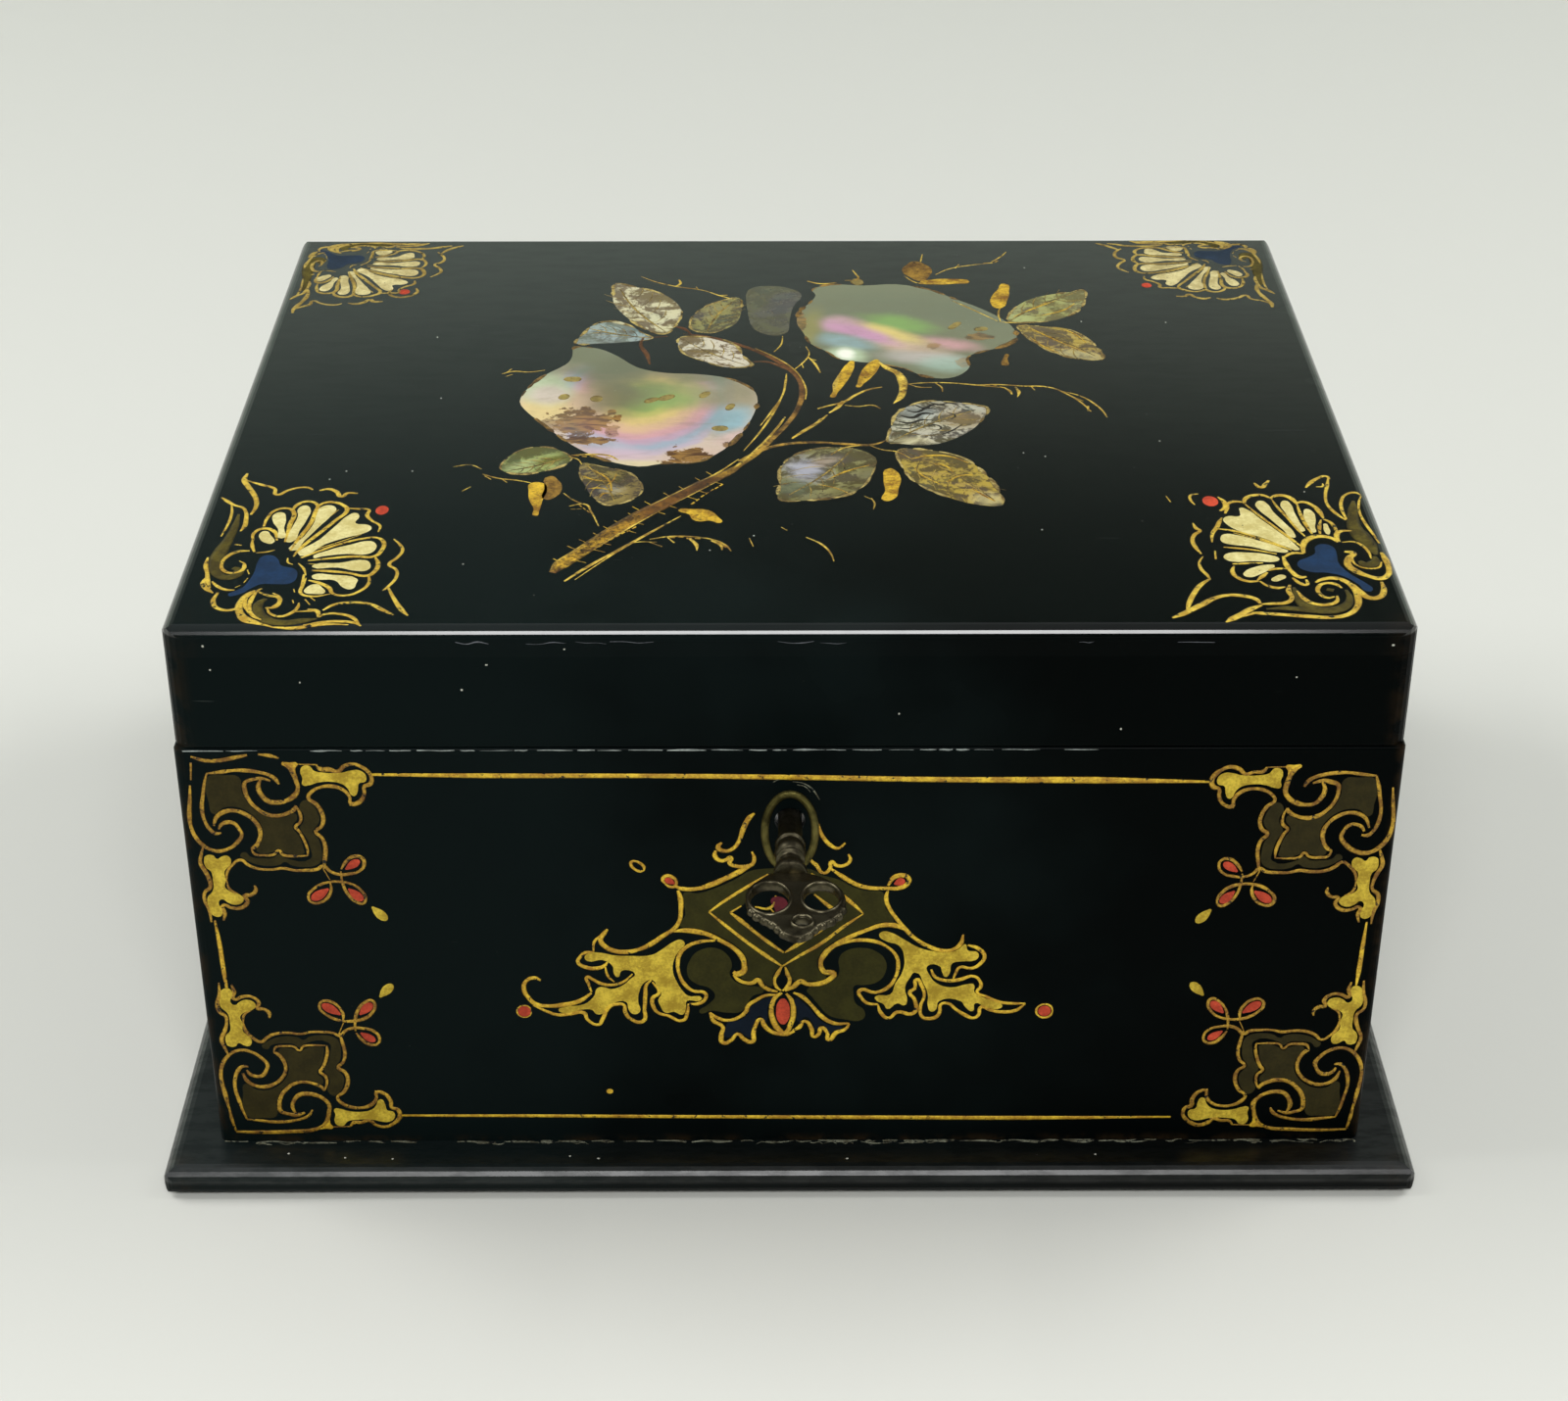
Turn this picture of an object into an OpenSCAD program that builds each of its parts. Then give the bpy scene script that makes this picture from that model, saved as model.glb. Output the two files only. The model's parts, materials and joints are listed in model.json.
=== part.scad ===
// Lacquered music box: wooden case with a hinged inlaid lid, a front box lock and key,
// and a key-wound cylinder movement. Millimetres, +Z up, origin at the middle of the base.

/* [Case] */
// Width of the case and lid
case_w = 240; // [230:1:260]
// Depth of the case and lid
case_d = 200; // [194:1:220]
// Height of the case walls above the base moulding
case_h = 96.8; // [92:0.2:110]
// Thickness of the case walls and lid rims
wall = 8; // [8:0.5:9]
// Radius of the upright corners of the case
corner_r = 2; // [1:0.5:3]
// Radius of the upright corners of the lid
lid_corner_r = 4.5; // [3:0.5:5]
// Rounding of the outer edges where the lid meets the case
joint_edge_r = 0.8; // [0.4:0.1:1.2]
// Thickness of the base board
board_t = 10; // [9:0.5:11]
// Thickness of the partition between storage and movement
partition_t = 6; // [5:0.5:7]
// Thickness of the divider beside the movement
divider_t = 4; // [3:0.5:5]
// Height of the partitions above the base board
partition_h = 74; // [72:1:78]
// Depth of the movement compartment
movement_d = 80; // [79:0.5:84]
// Thickness of the padded linings
lining_t = 2; // [1:0.5:2.5]

/* [Base moulding] */
// Height of the base moulding
plinth_h = 6.5; // [6:0.1:7]
// How far the base moulding stands out from the walls
plinth_over = 10.7; // [8:0.1:14]
// Plan radius of the moulding corners
plinth_corner_r = 3; // [2:0.5:5]

/* [Lid] */
// Height of the lid
lid_h = 26.4; // [24:0.2:32]
// Thickness of the lid top panel
lid_top_t = 6; // [5:0.5:7]
// Rounding of the lid top edges
lid_edge_r = 2.5; // [2:0.5:4.5]
// Thickness of the mother-of-pearl pieces
pearl_t = 1; // [0.6:0.1:1.5]

/* [Hinges] */
// Distance of each hinge from the middle of the back
hinge_x = 70; // [50:1:80]
// Length of each hinge
hinge_len = 36; // [32:1:44]
// Radius of the hinge knuckles
knuckle_r = 2.2; // [2:0.1:2.4]
// Radius of the hinge pins
hinge_pin_r = 1; // [0.8:0.1:1.1]
// Thickness of the hinge leaves
leaf_t = 1.1; // [0.9:0.1:1.3]

/* [Lock] */
// Height of the key axis below the joint of lid and case
key_drop = 16.8; // [16.6:0.1:17.2]
// Radius of the key shank
shank_r = 2.4; // [2.2:0.1:2.4]
// Radius that the key bit reaches
bit_r = 6.8; // [6:0.1:6.9]
// Travel of the lock bolt
bolt_throw = 6; // [5.6:0.1:6.2]
// Width of the escutcheon bead, outside
escutcheon_w = 11.6; // [10:0.2:13]
// Height of the escutcheon bead, outside
escutcheon_h = 19.4; // [17:0.2:21]

/* [Movement] */
// Distance of the spring barrel axis left of the middle
barrel_off = 62; // [60:0.5:64]
// Distance of the cylinder axis from the inside of the back wall
cyl_back = 38; // [37.5:0.5:38.5]
// Thickness of the bed plate
bed_t = 4; // [3:0.5:5]
// Radius of the musical cylinder
cyl_r = 9; // [8.6:0.1:9.2]
// Length of the musical cylinder
cyl_len = 70; // [66:1:72]
// Height that the pins stand out of the cylinder
pin_h = 0.8; // [0.5:0.05:0.9]
// Number of comb teeth
comb_teeth = 36; // [30:1:36]
// Height of the spring barrel
barrel_h = 14; // [12:0.5:15]
// Radius of the winding arbor
arbor_r = 2.5; // [2.2:0.1:2.6]

/* [Hidden] */

$fn = 48;
eps = 0.01;         // overlap where pieces of one solid join
cut = 1;            // how far a cutter runs past a face
run_gap = 0.05;     // radial clearance of a turning fit
seat_gap = 0.1;     // clearance of a seated piece
joint_z = plinth_h + case_h;
top_z = joint_z + lid_h;
in_w = case_w - 2 * wall;
in_d = case_d - 2 * wall;
board_top = board_t;

// ---------- general shapes ----------

function arc_pts(cx, cy, r, a0, a1, n) =
    [for (i = [0:n]) let (a = a0 + (a1 - a0) * i / n) [cx + r * cos(a), cy + r * sin(a)]];

// Rectangle about the origin with rounded corners, as straight facets
function round_rect(w, d, r, n = 5) = concat(
    arc_pts(w / 2 - r, d / 2 - r, r, 0, 90, n), arc_pts(-w / 2 + r, d / 2 - r, r, 90, 180, n),
    arc_pts(-w / 2 + r, -d / 2 + r, r, 180, 270, n), arc_pts(w / 2 - r, -d / 2 + r, r, 270, 360, n));

// One corner of a section, rounded where r is above 0
function corner_pts(cx, cy, r, a0) = r > 0 ? arc_pts(cx, cy, r, a0, a0 + 90, 6) : [[cx, cy]];

// Section w wide and h high about the middle, with corner radii [bottom, top] at its left and right
function section_pts(w, h, left, right) = concat(
    corner_pts(-w / 2 + left[0], left[0], left[0], 180), corner_pts(w / 2 - right[0], right[0], right[0], 270),
    corner_pts(w / 2 - right[1], h - right[1], right[1], 0), corner_pts(-w / 2 + left[1], h - left[1], left[1], 90));

function ellipse_pts(a, b, n) = [for (i = [0:n - 1]) [a * cos(360 * i / n), b * sin(360 * i / n)]];

// Closed smooth outline through the given points
function smooth(p, n = 3) = let (c = len(p)) [for (i = [0:c - 1], k = [0:n - 1])
    let (t = k / n, a = p[(i + c - 1) % c], b = p[i], d = p[(i + 1) % c], e = p[(i + 2) % c])
    0.5 * (2 * b + (d - a) * t + (2 * a - 5 * b + 4 * d - e) * t * t + (3 * b - a - 3 * d + e) * t * t * t)];

// Involute gear outline: n teeth of module m, teeth thinned by slack at the pitch line
function inv_deg(a) = tan(a) * 180 / PI - a;
function flank_half(r, rp, rb, half) =
    r <= rb ? half + inv_deg(20) : half + inv_deg(20) - inv_deg(acos(rb / r));
function gear_pts(n, m, add, ded, slack, phase = 0) =
    let (rp = n * m / 2, rb = rp * cos(20), ro = rp + add, rr = rp - ded, rs = max(rb, rr),
        half = 90 / n - slack / 2 / rp * 180 / PI,
        radii = concat(rr < rb ? [rr] : [], [for (k = [0:3]) rs + (ro - rs) * k / 3]), c = len(radii))
    [for (i = [0:n - 1], k = [0:2 * c - 1])
        let (r = k < c ? radii[k] : radii[2 * c - 1 - k], h = flank_half(r, rp, rb, half),
            a = 360 * i / n + phase + (k < c ? -h : h)) [r * cos(a), r * sin(a)]];

module along_x(x) { translate([x, 0, 0]) rotate([90, 0, 90]) children(); }
module box(lo, hi) { translate(lo) cube(hi - lo); }

// Slotted screw with its head's top at the origin, pointing down
module screw(r, len, head_r, head_h) {
    difference() {
        rotate_extrude() polygon([[0, 0], [head_r - 0.3, 0], [head_r, -0.3], [head_r, -head_h], [r, -head_h],
            [r, -len + r], [0.2, -len], [0, -len]]);
        box([-head_r - cut, -0.3, -0.5], [head_r + cut, 0.3, cut]);
    }
}
module screw_hole(r, len, head_r, head_h) {
    translate([0, 0, -len - seat_gap]) cylinder(r = r + run_gap, h = len + seat_gap + eps);
    translate([0, 0, -head_h]) cylinder(r = head_r + seat_gap, h = head_h + cut);
}
// Countersunk wood screw with its head's top at the origin, pointing down
module wood_screw(r, len) {
    difference() {
        rotate_extrude() polygon([[0, 0], [2 * r, 0], [r, -r], [r, -len + 2 * r], [0.1, -len], [0, -len]]);
        box([-3 * r, -0.2, -0.35], [3 * r, 0.2, cut]);
    }
}
module wood_screw_hole(r, len) {
    g = run_gap;
    rotate_extrude() polygon([[0, cut], [2 * r + g, cut], [2 * r + g, -g], [r + g, -r - g],
        [r + g, -len - g], [0, -len - g]]);
}

// ---------- base moulding and case ----------

nose_r = plinth_h / 2;
// Moulding section: distance out from the wall face, then height
plinth_section = concat([[-wall, 0]], arc_pts(plinth_over - nose_r, nose_r, nose_r, -90, 90, 10),
    [[-wall, plinth_h]]);

module plinth_run(length) {
    rotate([90, 0, 90]) linear_extrude(length, center = true) polygon(plinth_section);
}
module plinth_side(w, d) {
    intersection() {
        translate([0, -d / 2, 0]) mirror([0, 1, 0]) plinth_run(w + 2 * plinth_over);
        linear_extrude(plinth_h) polygon([[-w / 2 - plinth_over, -d / 2 - plinth_over],
            [w / 2 + plinth_over, -d / 2 - plinth_over], [w / 2 - wall, -d / 2 + wall],
            [-w / 2 + wall, -d / 2 + wall]]);
        linear_extrude(plinth_h)
            polygon(round_rect(w + 2 * plinth_over, d + 2 * plinth_over, plinth_corner_r));
    }
}
lacquer = [0.06, 0.09, 0.09];
module plinth_front() { color(lacquer) plinth_side(case_w, case_d); }
module plinth_back() { color(lacquer) rotate([0, 0, 180]) plinth_side(case_w, case_d); }
module plinth_left() { color(lacquer) rotate([0, 0, -90]) plinth_side(case_d, case_w); }
module plinth_right() { color(lacquer) rotate([0, 0, 90]) plinth_side(case_d, case_w); }

key_well_r = 18;    // recess in the base for the winding key
module base_board() {
    color([0.3, 0.22, 0.14]) difference() {
        box([-in_w / 2, -in_d / 2, 0], [in_w / 2, in_d / 2, board_top]);
        translate([barrel_x, cyl_y, -cut]) cylinder(r = key_well_r, h = board_t + 2 * cut);
        at_bed_screws() screw_hole(bed_screw_r, bed_screw_len, bed_screw_r, eps);
    }
}

// Block of the size of the case in plan, its upright corners of radius r_upright, with radii
// [bottom, top] for the edges along its sides, front and back
module edged_block(h, r_upright, r_side, r_front, r_back) {
    intersection() {
        linear_extrude(h) polygon(round_rect(case_w, case_d, r_upright));
        rotate([90, 0, 0]) linear_extrude(case_d + 2, center = true)
            polygon(section_pts(case_w, h, r_side, r_side));
        rotate([90, 0, 90]) linear_extrude(case_w + 2, center = true)
            polygon(section_pts(case_d, h, r_front, r_back));
    }
}
module case_block() {
    top = [0, joint_edge_r];
    translate([0, 0, plinth_h]) edged_block(case_h, corner_r, top, top, [0, 0]);
}
module case_front() {
    color(lacquer) difference() {
        intersection() {
            case_block();
            box([-case_w / 2, -case_d / 2, 0], [case_w / 2, -in_d / 2, top_z]);
        }
        lock_mortise();
    }
}
module case_back() {
    color(lacquer) difference() {
        intersection() {
            case_block();
            box([-case_w / 2, in_d / 2, 0], [case_w / 2, case_d / 2, top_z]);
        }
        hinge_mortises(-1);
    }
}
module case_end(side) {
    intersection() {
        case_block();
        box([side > 0 ? in_w / 2 : -case_w, -in_d / 2, 0], [side > 0 ? case_w : -in_w / 2, in_d / 2, top_z]);
    }
}
module case_left() { color(lacquer) case_end(-1); }
module case_right() { color(lacquer) case_end(1); }

// ---------- layout of the movement ----------

barrel_x = -barrel_off;
cyl_y = in_d / 2 - cyl_back;

contrate_m = 1.2;
contrate_n = 28;
pinion_n = 10;
contrate_r = contrate_n * contrate_m / 2;
contrate_w = 1.8;                 // radial width of the contrate teeth
contrate_add = 0.9;
contrate_ded = 1.2;
barrel_r = contrate_r + contrate_w / 2 + 0.3;

cyl_x0 = barrel_x + barrel_r + 2;
cyl_x1 = cyl_x0 + cyl_len;
great_n = 40;
great_m = 0.8;
great_t = 2;
great_x = cyl_x1 + 1;

gov_pinion_n = 8;
gov_y = cyl_y + (great_n + gov_pinion_n) * great_m / 2;
worm_wheel_n = 24;
worm_r = 2.8;                     // pitch radius of the endless screw
worm_x = great_x + 12.6;
worm_y = gov_y - worm_wheel_n * great_m / 2 - worm_r;
gov_right_x = worm_x + 4.9;       // right plate of the governor's frame
gov_t = 3;
lever_boss_r = 2.8;
lever_x = gov_right_x + gov_t + 3;
lever_y = worm_y + 10.2;

// ---------- inside of the case ----------

movement_y = in_d / 2 - movement_d;      // front of the movement compartment
partition_y = movement_y - partition_t;  // front face of the partition
divider_gap = 2.7;                       // from the lever's boss to the divider
divider_x = lever_x + lever_boss_r + divider_gap;
side_x = divider_x + divider_t;          // left of the small side compartment
partition_top = board_top + partition_h;
lever_slot_clear = 0.8;
inner_wood = [0.25, 0.14, 0.08];

module partition() {
    color(inner_wood) difference() {
        box([-in_w / 2, partition_y, board_top], [in_w / 2, movement_y, partition_top]);
        at_cover_screws() wood_screw_hole(cover_screw_r, cover_screw_len);
    }
}
module side_divider() {
    color(inner_wood) difference() {
        box([divider_x, movement_y, board_top], [side_x, in_d / 2, partition_top]);
        lever_slot();
        at_cover_screws() wood_screw_hole(cover_screw_r, cover_screw_len);
    }
}
velvet = [0.35, 0.05, 0.08];
// Floor and four walls of a lining; the front wall ends at its own height
module lined_box(x0, x1, y0, y1, z1, z_front) {
    t = lining_t;
    box([x0, y0, board_top], [x1, y1, board_top + t]);
    box([x0, y0, board_top + t], [x1, y0 + t, z_front]);
    box([x0, y1 - t, board_top + t], [x1, y1, z1]);
    box([x0, y0 + t, board_top + t], [x0 + t, y1 - t, z1]);
    box([x1 - t, y0 + t, board_top + t], [x1, y1 - t, z1]);
}
module compartment_lining() {
    color(velvet) lined_box(-in_w / 2, in_w / 2, -in_d / 2, partition_y, partition_top,
        lock_low_z - 2 - seat_gap);
}
module side_lining() {
    color(velvet) difference() {
        lined_box(side_x, in_w / 2, movement_y, in_d / 2, partition_top, partition_top);
        lever_slot();
    }
}

cover_t = 4;
cover_border = 14;      // width of the cover's frame at the left and the back
cover_front = 8;        // and behind the partition
cover_right = 10;       // and beside the divider
cover_screw_in = 22;    // the left screw's distance from the end wall
glass_t = 2;
glass_lap = 3;          // how far the glass sits into the frame
cover_screw_r = 1;
cover_screw_len = 11;
module at_cover_screws() {
    for (p = [[-in_w / 2 + cover_screw_in, partition_y + partition_t / 2], [0, partition_y + partition_t / 2],
        [divider_x + divider_t / 2, cyl_y - 4]])
        translate([p[0], p[1], partition_top + cover_t]) children();
}
module cover_frame() {
    color(inner_wood) difference() {
        box([-in_w / 2, partition_y, partition_top], [side_x, in_d / 2, partition_top + cover_t]);
        box([-in_w / 2 + cover_border, movement_y + cover_front, partition_top - cut],
            [divider_x - cover_right, in_d / 2 - cover_border, partition_top + cover_t + cut]);
        box([-in_w / 2 + cover_border - glass_lap, movement_y + cover_front - glass_lap,
            partition_top + cover_t - glass_t],
            [divider_x - cover_right + glass_lap, in_d / 2 - cover_border + glass_lap, partition_top + cover_t + cut]);
        at_cover_screws() wood_screw_hole(cover_screw_r, cover_screw_len);
    }
}
module cover_glass() {
    g = seat_gap;
    color([0.8, 0.9, 0.9, 0.4])
        box([-in_w / 2 + cover_border - glass_lap + g, movement_y + cover_front - glass_lap + g,
            partition_top + cover_t - glass_t],
            [divider_x - cover_right + glass_lap - g, in_d / 2 - cover_border + glass_lap - g,
                partition_top + cover_t]);
}
module cover_screws() { color("goldenrod") at_cover_screws() wood_screw(cover_screw_r, cover_screw_len); }

// ---------- lid ----------

module lid_block() {
    both = [joint_edge_r, lid_edge_r];
    translate([0, 0, joint_z]) edged_block(lid_h, lid_corner_r, both, both, [0, lid_edge_r]);
}
rim_top = top_z - lid_top_t;
module lid_top() {
    color(lacquer) difference() {
        intersection() {
            lid_block();
            box([-case_w, -case_d, rim_top], [case_w, case_d, top_z + cut]);
        }
        translate([0, 0, top_z - pearl_t]) linear_extrude(pearl_t + cut)
            for (p = concat(roses, leaves)) polygon(smooth(p));
    }
}
module lid_rim(lo, hi) {
    intersection() {
        lid_block();
        box([lo[0], lo[1], joint_z], [hi[0], hi[1], rim_top]);
    }
}
module lid_front() {
    color(lacquer) difference() {
        lid_rim([-case_w / 2, -case_d / 2], [case_w / 2, -in_d / 2]);
        link_mortise();
    }
}
module lid_back() {
    color(lacquer) difference() {
        lid_rim([-case_w / 2, in_d / 2], [case_w / 2, case_d / 2]);
        hinge_mortises(1);
    }
}
module lid_left() { color(lacquer) lid_rim([-case_w / 2, -in_d / 2], [-in_w / 2, in_d / 2]); }
module lid_right() { color(lacquer) lid_rim([in_w / 2, -in_d / 2], [case_w / 2, in_d / 2]); }
module lid_lining() {
    color(velvet) box([-in_w / 2, -in_d / 2, rim_top - lining_t], [in_w / 2, in_d / 2, rim_top]);
}

// Outlines of the mother-of-pearl pieces, about the middle of the lid
roses = [
    [[-48.5, 32.8], [-43.1, 32], [-38.5, 27.7], [-33.8, 21.5], [-27.7, 18.5], [-20, 17.7],
     [-13.1, 15.4], [-8, 10], [-6.6, 3.1], [-8, -6.2], [-10.5, -14.6], [-13.8, -21.5], [-19.2, -27.4],
     [-26.2, -28], [-31.5, -29.5], [-38.5, -26.5], [-44.6, -20.8], [-49.2, -14.6], [-53.5, -7.7],
     [-56.6, -2.8], [-58.9, 3.1], [-57.7, 10], [-54.6, 16.9], [-50, 23.1], [-48.8, 27.7]],
    [[6.2, 66.9], [10.8, 70], [18.5, 69.2], [26.2, 70], [33.8, 66.9], [40, 60.8], [45.4, 55.4],
     [50, 49.2], [52.6, 43.1], [52.6, 36.9], [48.5, 32.3], [43.1, 29.2], [40.8, 26.2], [41.1, 21.5],
     [38.5, 16.9], [34.6, 15.1], [30, 16.9], [26.2, 20.8], [20.8, 23.1], [15.4, 24.6], [11.5, 26.2],
     [9.2, 30], [5.4, 34.6], [3.8, 40.8], [2.3, 46.9], [3.1, 53.8], [5.4, 58.5], [6.9, 63.1]]];
leaves = [
    [[-41, 70.8], [-36, 68.5], [-30.8, 65.4], [-27, 60.8], [-24.6, 53.8], [-25.4, 46.9], [-27.7, 40.6],
     [-31.2, 41.4], [-35.4, 46.8], [-38.5, 52.3], [-40.8, 58.5], [-41.2, 64.6]],
    [[-48.5, 34.8], [-46.9, 40.8], [-44.6, 46.2], [-40, 48], [-36.6, 45.6], [-33.4, 41], [-30.8, 37.7],
     [-36.9, 35.7], [-43, 34.8]],
    [[-24.6, 38.4], [-20, 38.8], [-15.4, 37.5], [-11.5, 33.4], [-10, 27.7], [-8, 22.3], [-13.8, 21.5],
     [-18.5, 24.6], [-23.1, 28.5], [-24.9, 33.8]],
    [[-22, 42.8], [-22.3, 49.2], [-20, 55.4], [-15.4, 60], [-11.2, 61.8], [-10.6, 55.4], [-11.4, 47.7],
     [-13.8, 43.6], [-17.7, 40.8]],
    [[-9.2, 66.5], [-3.1, 69], [2, 66.5], [3.6, 62.6], [1.6, 56.5], [0.6, 47.7], [0.2, 41.5],
     [-3.1, 39.2], [-7.7, 43.1], [-9.2, 53.8]],
    [[51.6, 47], [52.6, 53], [56.2, 59.2], [61.5, 63], [67.5, 65], [71, 66.4], [70.8, 60.8],
     [68.5, 53.8], [63, 48.2], [56.9, 46.8]],
    [[53.4, 44.9], [58.5, 44.6], [64.6, 43.2], [68.5, 38.5], [70.8, 32.3], [71.5, 25.4], [65.4, 26.2],
     [60, 30], [55.8, 36.9]],
    [[21.2, -17.7], [22.3, -10], [23.8, -3.1], [28.5, 2.3], [33.8, 3.1], [43.4, 0], [42.3, -6.2],
     [39.2, -12.3], [33.8, -17.7], [28.5, -19.4], [23.8, -18.5]],
    [[-1.8, -37.7], [-1.8, -30.8], [0.8, -24.6], [6.2, -20.8], [13.8, -20.8], [18.5, -25.4],
     [17.7, -32.3], [15.4, -39.2], [10.8, -43.8], [1.5, -45.8], [-2.2, -44.6]],
    [[23.4, -21.4], [30.8, -22], [36.9, -25.4], [40.8, -32.3], [43.4, -40.8], [43.8, -48],
     [36.9, -46.9], [30.8, -42.3], [26.2, -36.9], [23.8, -29.2]],
    [[-60.5, -30.8], [-59.2, -24.6], [-55.4, -20.4], [-50.5, -20.2], [-46.2, -24.4], [-46.6, -28],
     [-50.8, -31.5], [-56.2, -33]],
    [[-43.5, -27.6], [-39.4, -29.4], [-33.8, -32], [-30.8, -36.9], [-30.8, -43.1], [-36.2, -47.7],
     [-40, -44.6], [-42.3, -38.5], [-43.8, -32.3]]];
module pearl(outlines) {
    translate([0, 0, top_z - pearl_t]) linear_extrude(pearl_t) for (p = outlines) polygon(smooth(p));
}
module pearl_roses() { color([0.85, 0.8, 0.8]) pearl(roses); }
module pearl_leaves() { color([0.75, 0.78, 0.68]) pearl(leaves); }

// ---------- hinges ----------

hinge_y = case_d / 2 + 1.2;      // hinge axis, just behind the back face
knuckle_gap = 0.2;
lid_knuckle_len = hinge_len * 0.38;
case_knuckle_len = (hinge_len - lid_knuckle_len) / 2 - knuckle_gap;
leaf_front = in_d / 2 + 1;
leaf_back = hinge_y - knuckle_r - 0.2;
leaf_gap = 0.05;                 // each leaf sits this far below its wood's face
brass_screw_r = 0.8;
brass_screw_len = 6;

// side -1 cuts the case, side 1 the lid
module hinge_mortises(side) {
    z0 = side < 0 ? joint_z - leaf_t - leaf_gap : joint_z - cut;
    z1 = side < 0 ? joint_z + cut : joint_z + leaf_t + leaf_gap;
    for (s = [-1, 1]) translate([s * hinge_x, 0, 0]) {
        box([-hinge_len / 2 - seat_gap, leaf_front, z0], [hinge_len / 2 + seat_gap, case_d / 2 + cut, z1]);
        translate([-hinge_len / 2 - seat_gap, hinge_y, joint_z]) rotate([0, 90, 0])
            cylinder(r = knuckle_r + 0.3, h = hinge_len + 2 * seat_gap);
        at_leaf_screws(side) wood_screw_hole(brass_screw_r, brass_screw_len);
    }
}
// Screws of one hinge leaf; their heads' tops are on the leaf's inner face
module at_leaf_screws(side) {
    for (x = [-12, 0, 12]) translate([x, (leaf_front + leaf_back) / 2, joint_z + side * leaf_gap])
        rotate([side < 0 ? 0 : 180, 0, 0]) children();
}
module knuckle(x0, length) {
    translate([x0, hinge_y, joint_z]) rotate([0, 90, 0]) cylinder(r = knuckle_r, h = length);
}
module leaf_tab(x0, length, side) {
    z0 = side < 0 ? joint_z - leaf_gap - leaf_t : joint_z + leaf_gap;
    box([x0, leaf_back - eps, z0], [x0 + length, hinge_y, z0 + leaf_t]);
}
module hinge_leaf(side) {
    z0 = side < 0 ? joint_z - leaf_gap - leaf_t : joint_z + leaf_gap;
    difference() {
        union() {
            box([-hinge_len / 2, leaf_front + seat_gap, z0], [hinge_len / 2, leaf_back, z0 + leaf_t]);
            if (side < 0) for (x = [-hinge_len / 2, hinge_len / 2 - case_knuckle_len]) {
                knuckle(x, case_knuckle_len);
                leaf_tab(x, case_knuckle_len, side);
            }
            if (side > 0) {
                knuckle(-lid_knuckle_len / 2, lid_knuckle_len);
                leaf_tab(-lid_knuckle_len / 2, lid_knuckle_len, side);
            }
        }
        translate([-hinge_len, hinge_y, joint_z]) rotate([0, 90, 0])
            cylinder(r = hinge_pin_r + run_gap, h = 2 * hinge_len);
        at_leaf_screws(side) wood_screw_hole(brass_screw_r, brass_screw_len);
    }
}
module both_hinges() { for (s = [-1, 1]) translate([s * hinge_x, 0, 0]) children(); }
module case_hinge_leaves() { color("darkgoldenrod") both_hinges() hinge_leaf(-1); }
module lid_hinge_leaves() { color("darkgoldenrod") both_hinges() hinge_leaf(1); }
module hinge_pins() {
    color("silver") both_hinges() translate([-hinge_len / 2, hinge_y, joint_z]) rotate([0, 90, 0])
        cylinder(r = hinge_pin_r, h = hinge_len);
}

// ---------- lock ----------

key_z = joint_z - key_drop;
front_y = -case_d / 2;
lock_front_y = front_y + 2;       // outside of the lock case
lock_back_y = -in_d / 2;          // inside face of the front wall
case_t = 0.8;                     // thickness of the lock case
plate_t = 1;                      // thickness of the back plate
lock_l = -17.5;                   // lock case, left and right of the key axis
lock_r = 23.5;
lock_low_z = key_z - 10.5;
selvedge_t = 1.2;
lock_high_z = joint_z - selvedge_t;
bolt_t = 1.6;
bolt_y0 = lock_front_y + case_t + 1.3;
loop_x = 11.2;                    // loops of the link plate, either side of the middle
loop_t = 1.6;
loop_drop = 6.6;
loop_y0 = bolt_y0 - 1;
loop_y1 = bolt_y0 + bolt_t + 1;
bar_low_z = key_z + 3.5;          // the bolt's bar
bar_high_z = key_z + 9.2;
stud_z = (bar_low_z + bar_high_z) / 2;
stud_r = 0.9;
stud_xs = [1, 11.5];
drill_pin_r = 1.2;
backplate_rim = 6;

module keyhole(r, slot_w, depth) {
    rotate([-90, 0, 0]) cylinder(r = r, h = depth);
    box([-slot_w / 2, 0, -bit_r - 0.6], [slot_w / 2, depth, 0]);
}
module lock_mortise() {
    g = seat_gap;
    box([lock_l - g, lock_front_y - g, lock_low_z - g], [lock_r + g, lock_back_y + cut, joint_z + cut]);
    box([lock_l - backplate_rim - g, lock_back_y - plate_t, lock_low_z - 2 - g],
        [lock_r + backplate_rim + g, lock_back_y + cut, lock_high_z]);
    box([lock_l - 4 - g, lock_front_y - 1 - g, lock_high_z],
        [lock_r + 4 + g, lock_back_y + cut, joint_z + cut]);
    translate([0, front_y - cut, key_z]) keyhole(shank_r + 0.6, 2.8, 2 * wall);
    at_lock_screws() wood_screw_hole(brass_screw_r, brass_screw_len);
}
module at_lock_screws() {
    for (x = [lock_l - 3, lock_r + 3], z = [lock_low_z + 2, lock_high_z - 4])
        translate([x, lock_back_y, z]) rotate([-90, 0, 0]) children();
}
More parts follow.
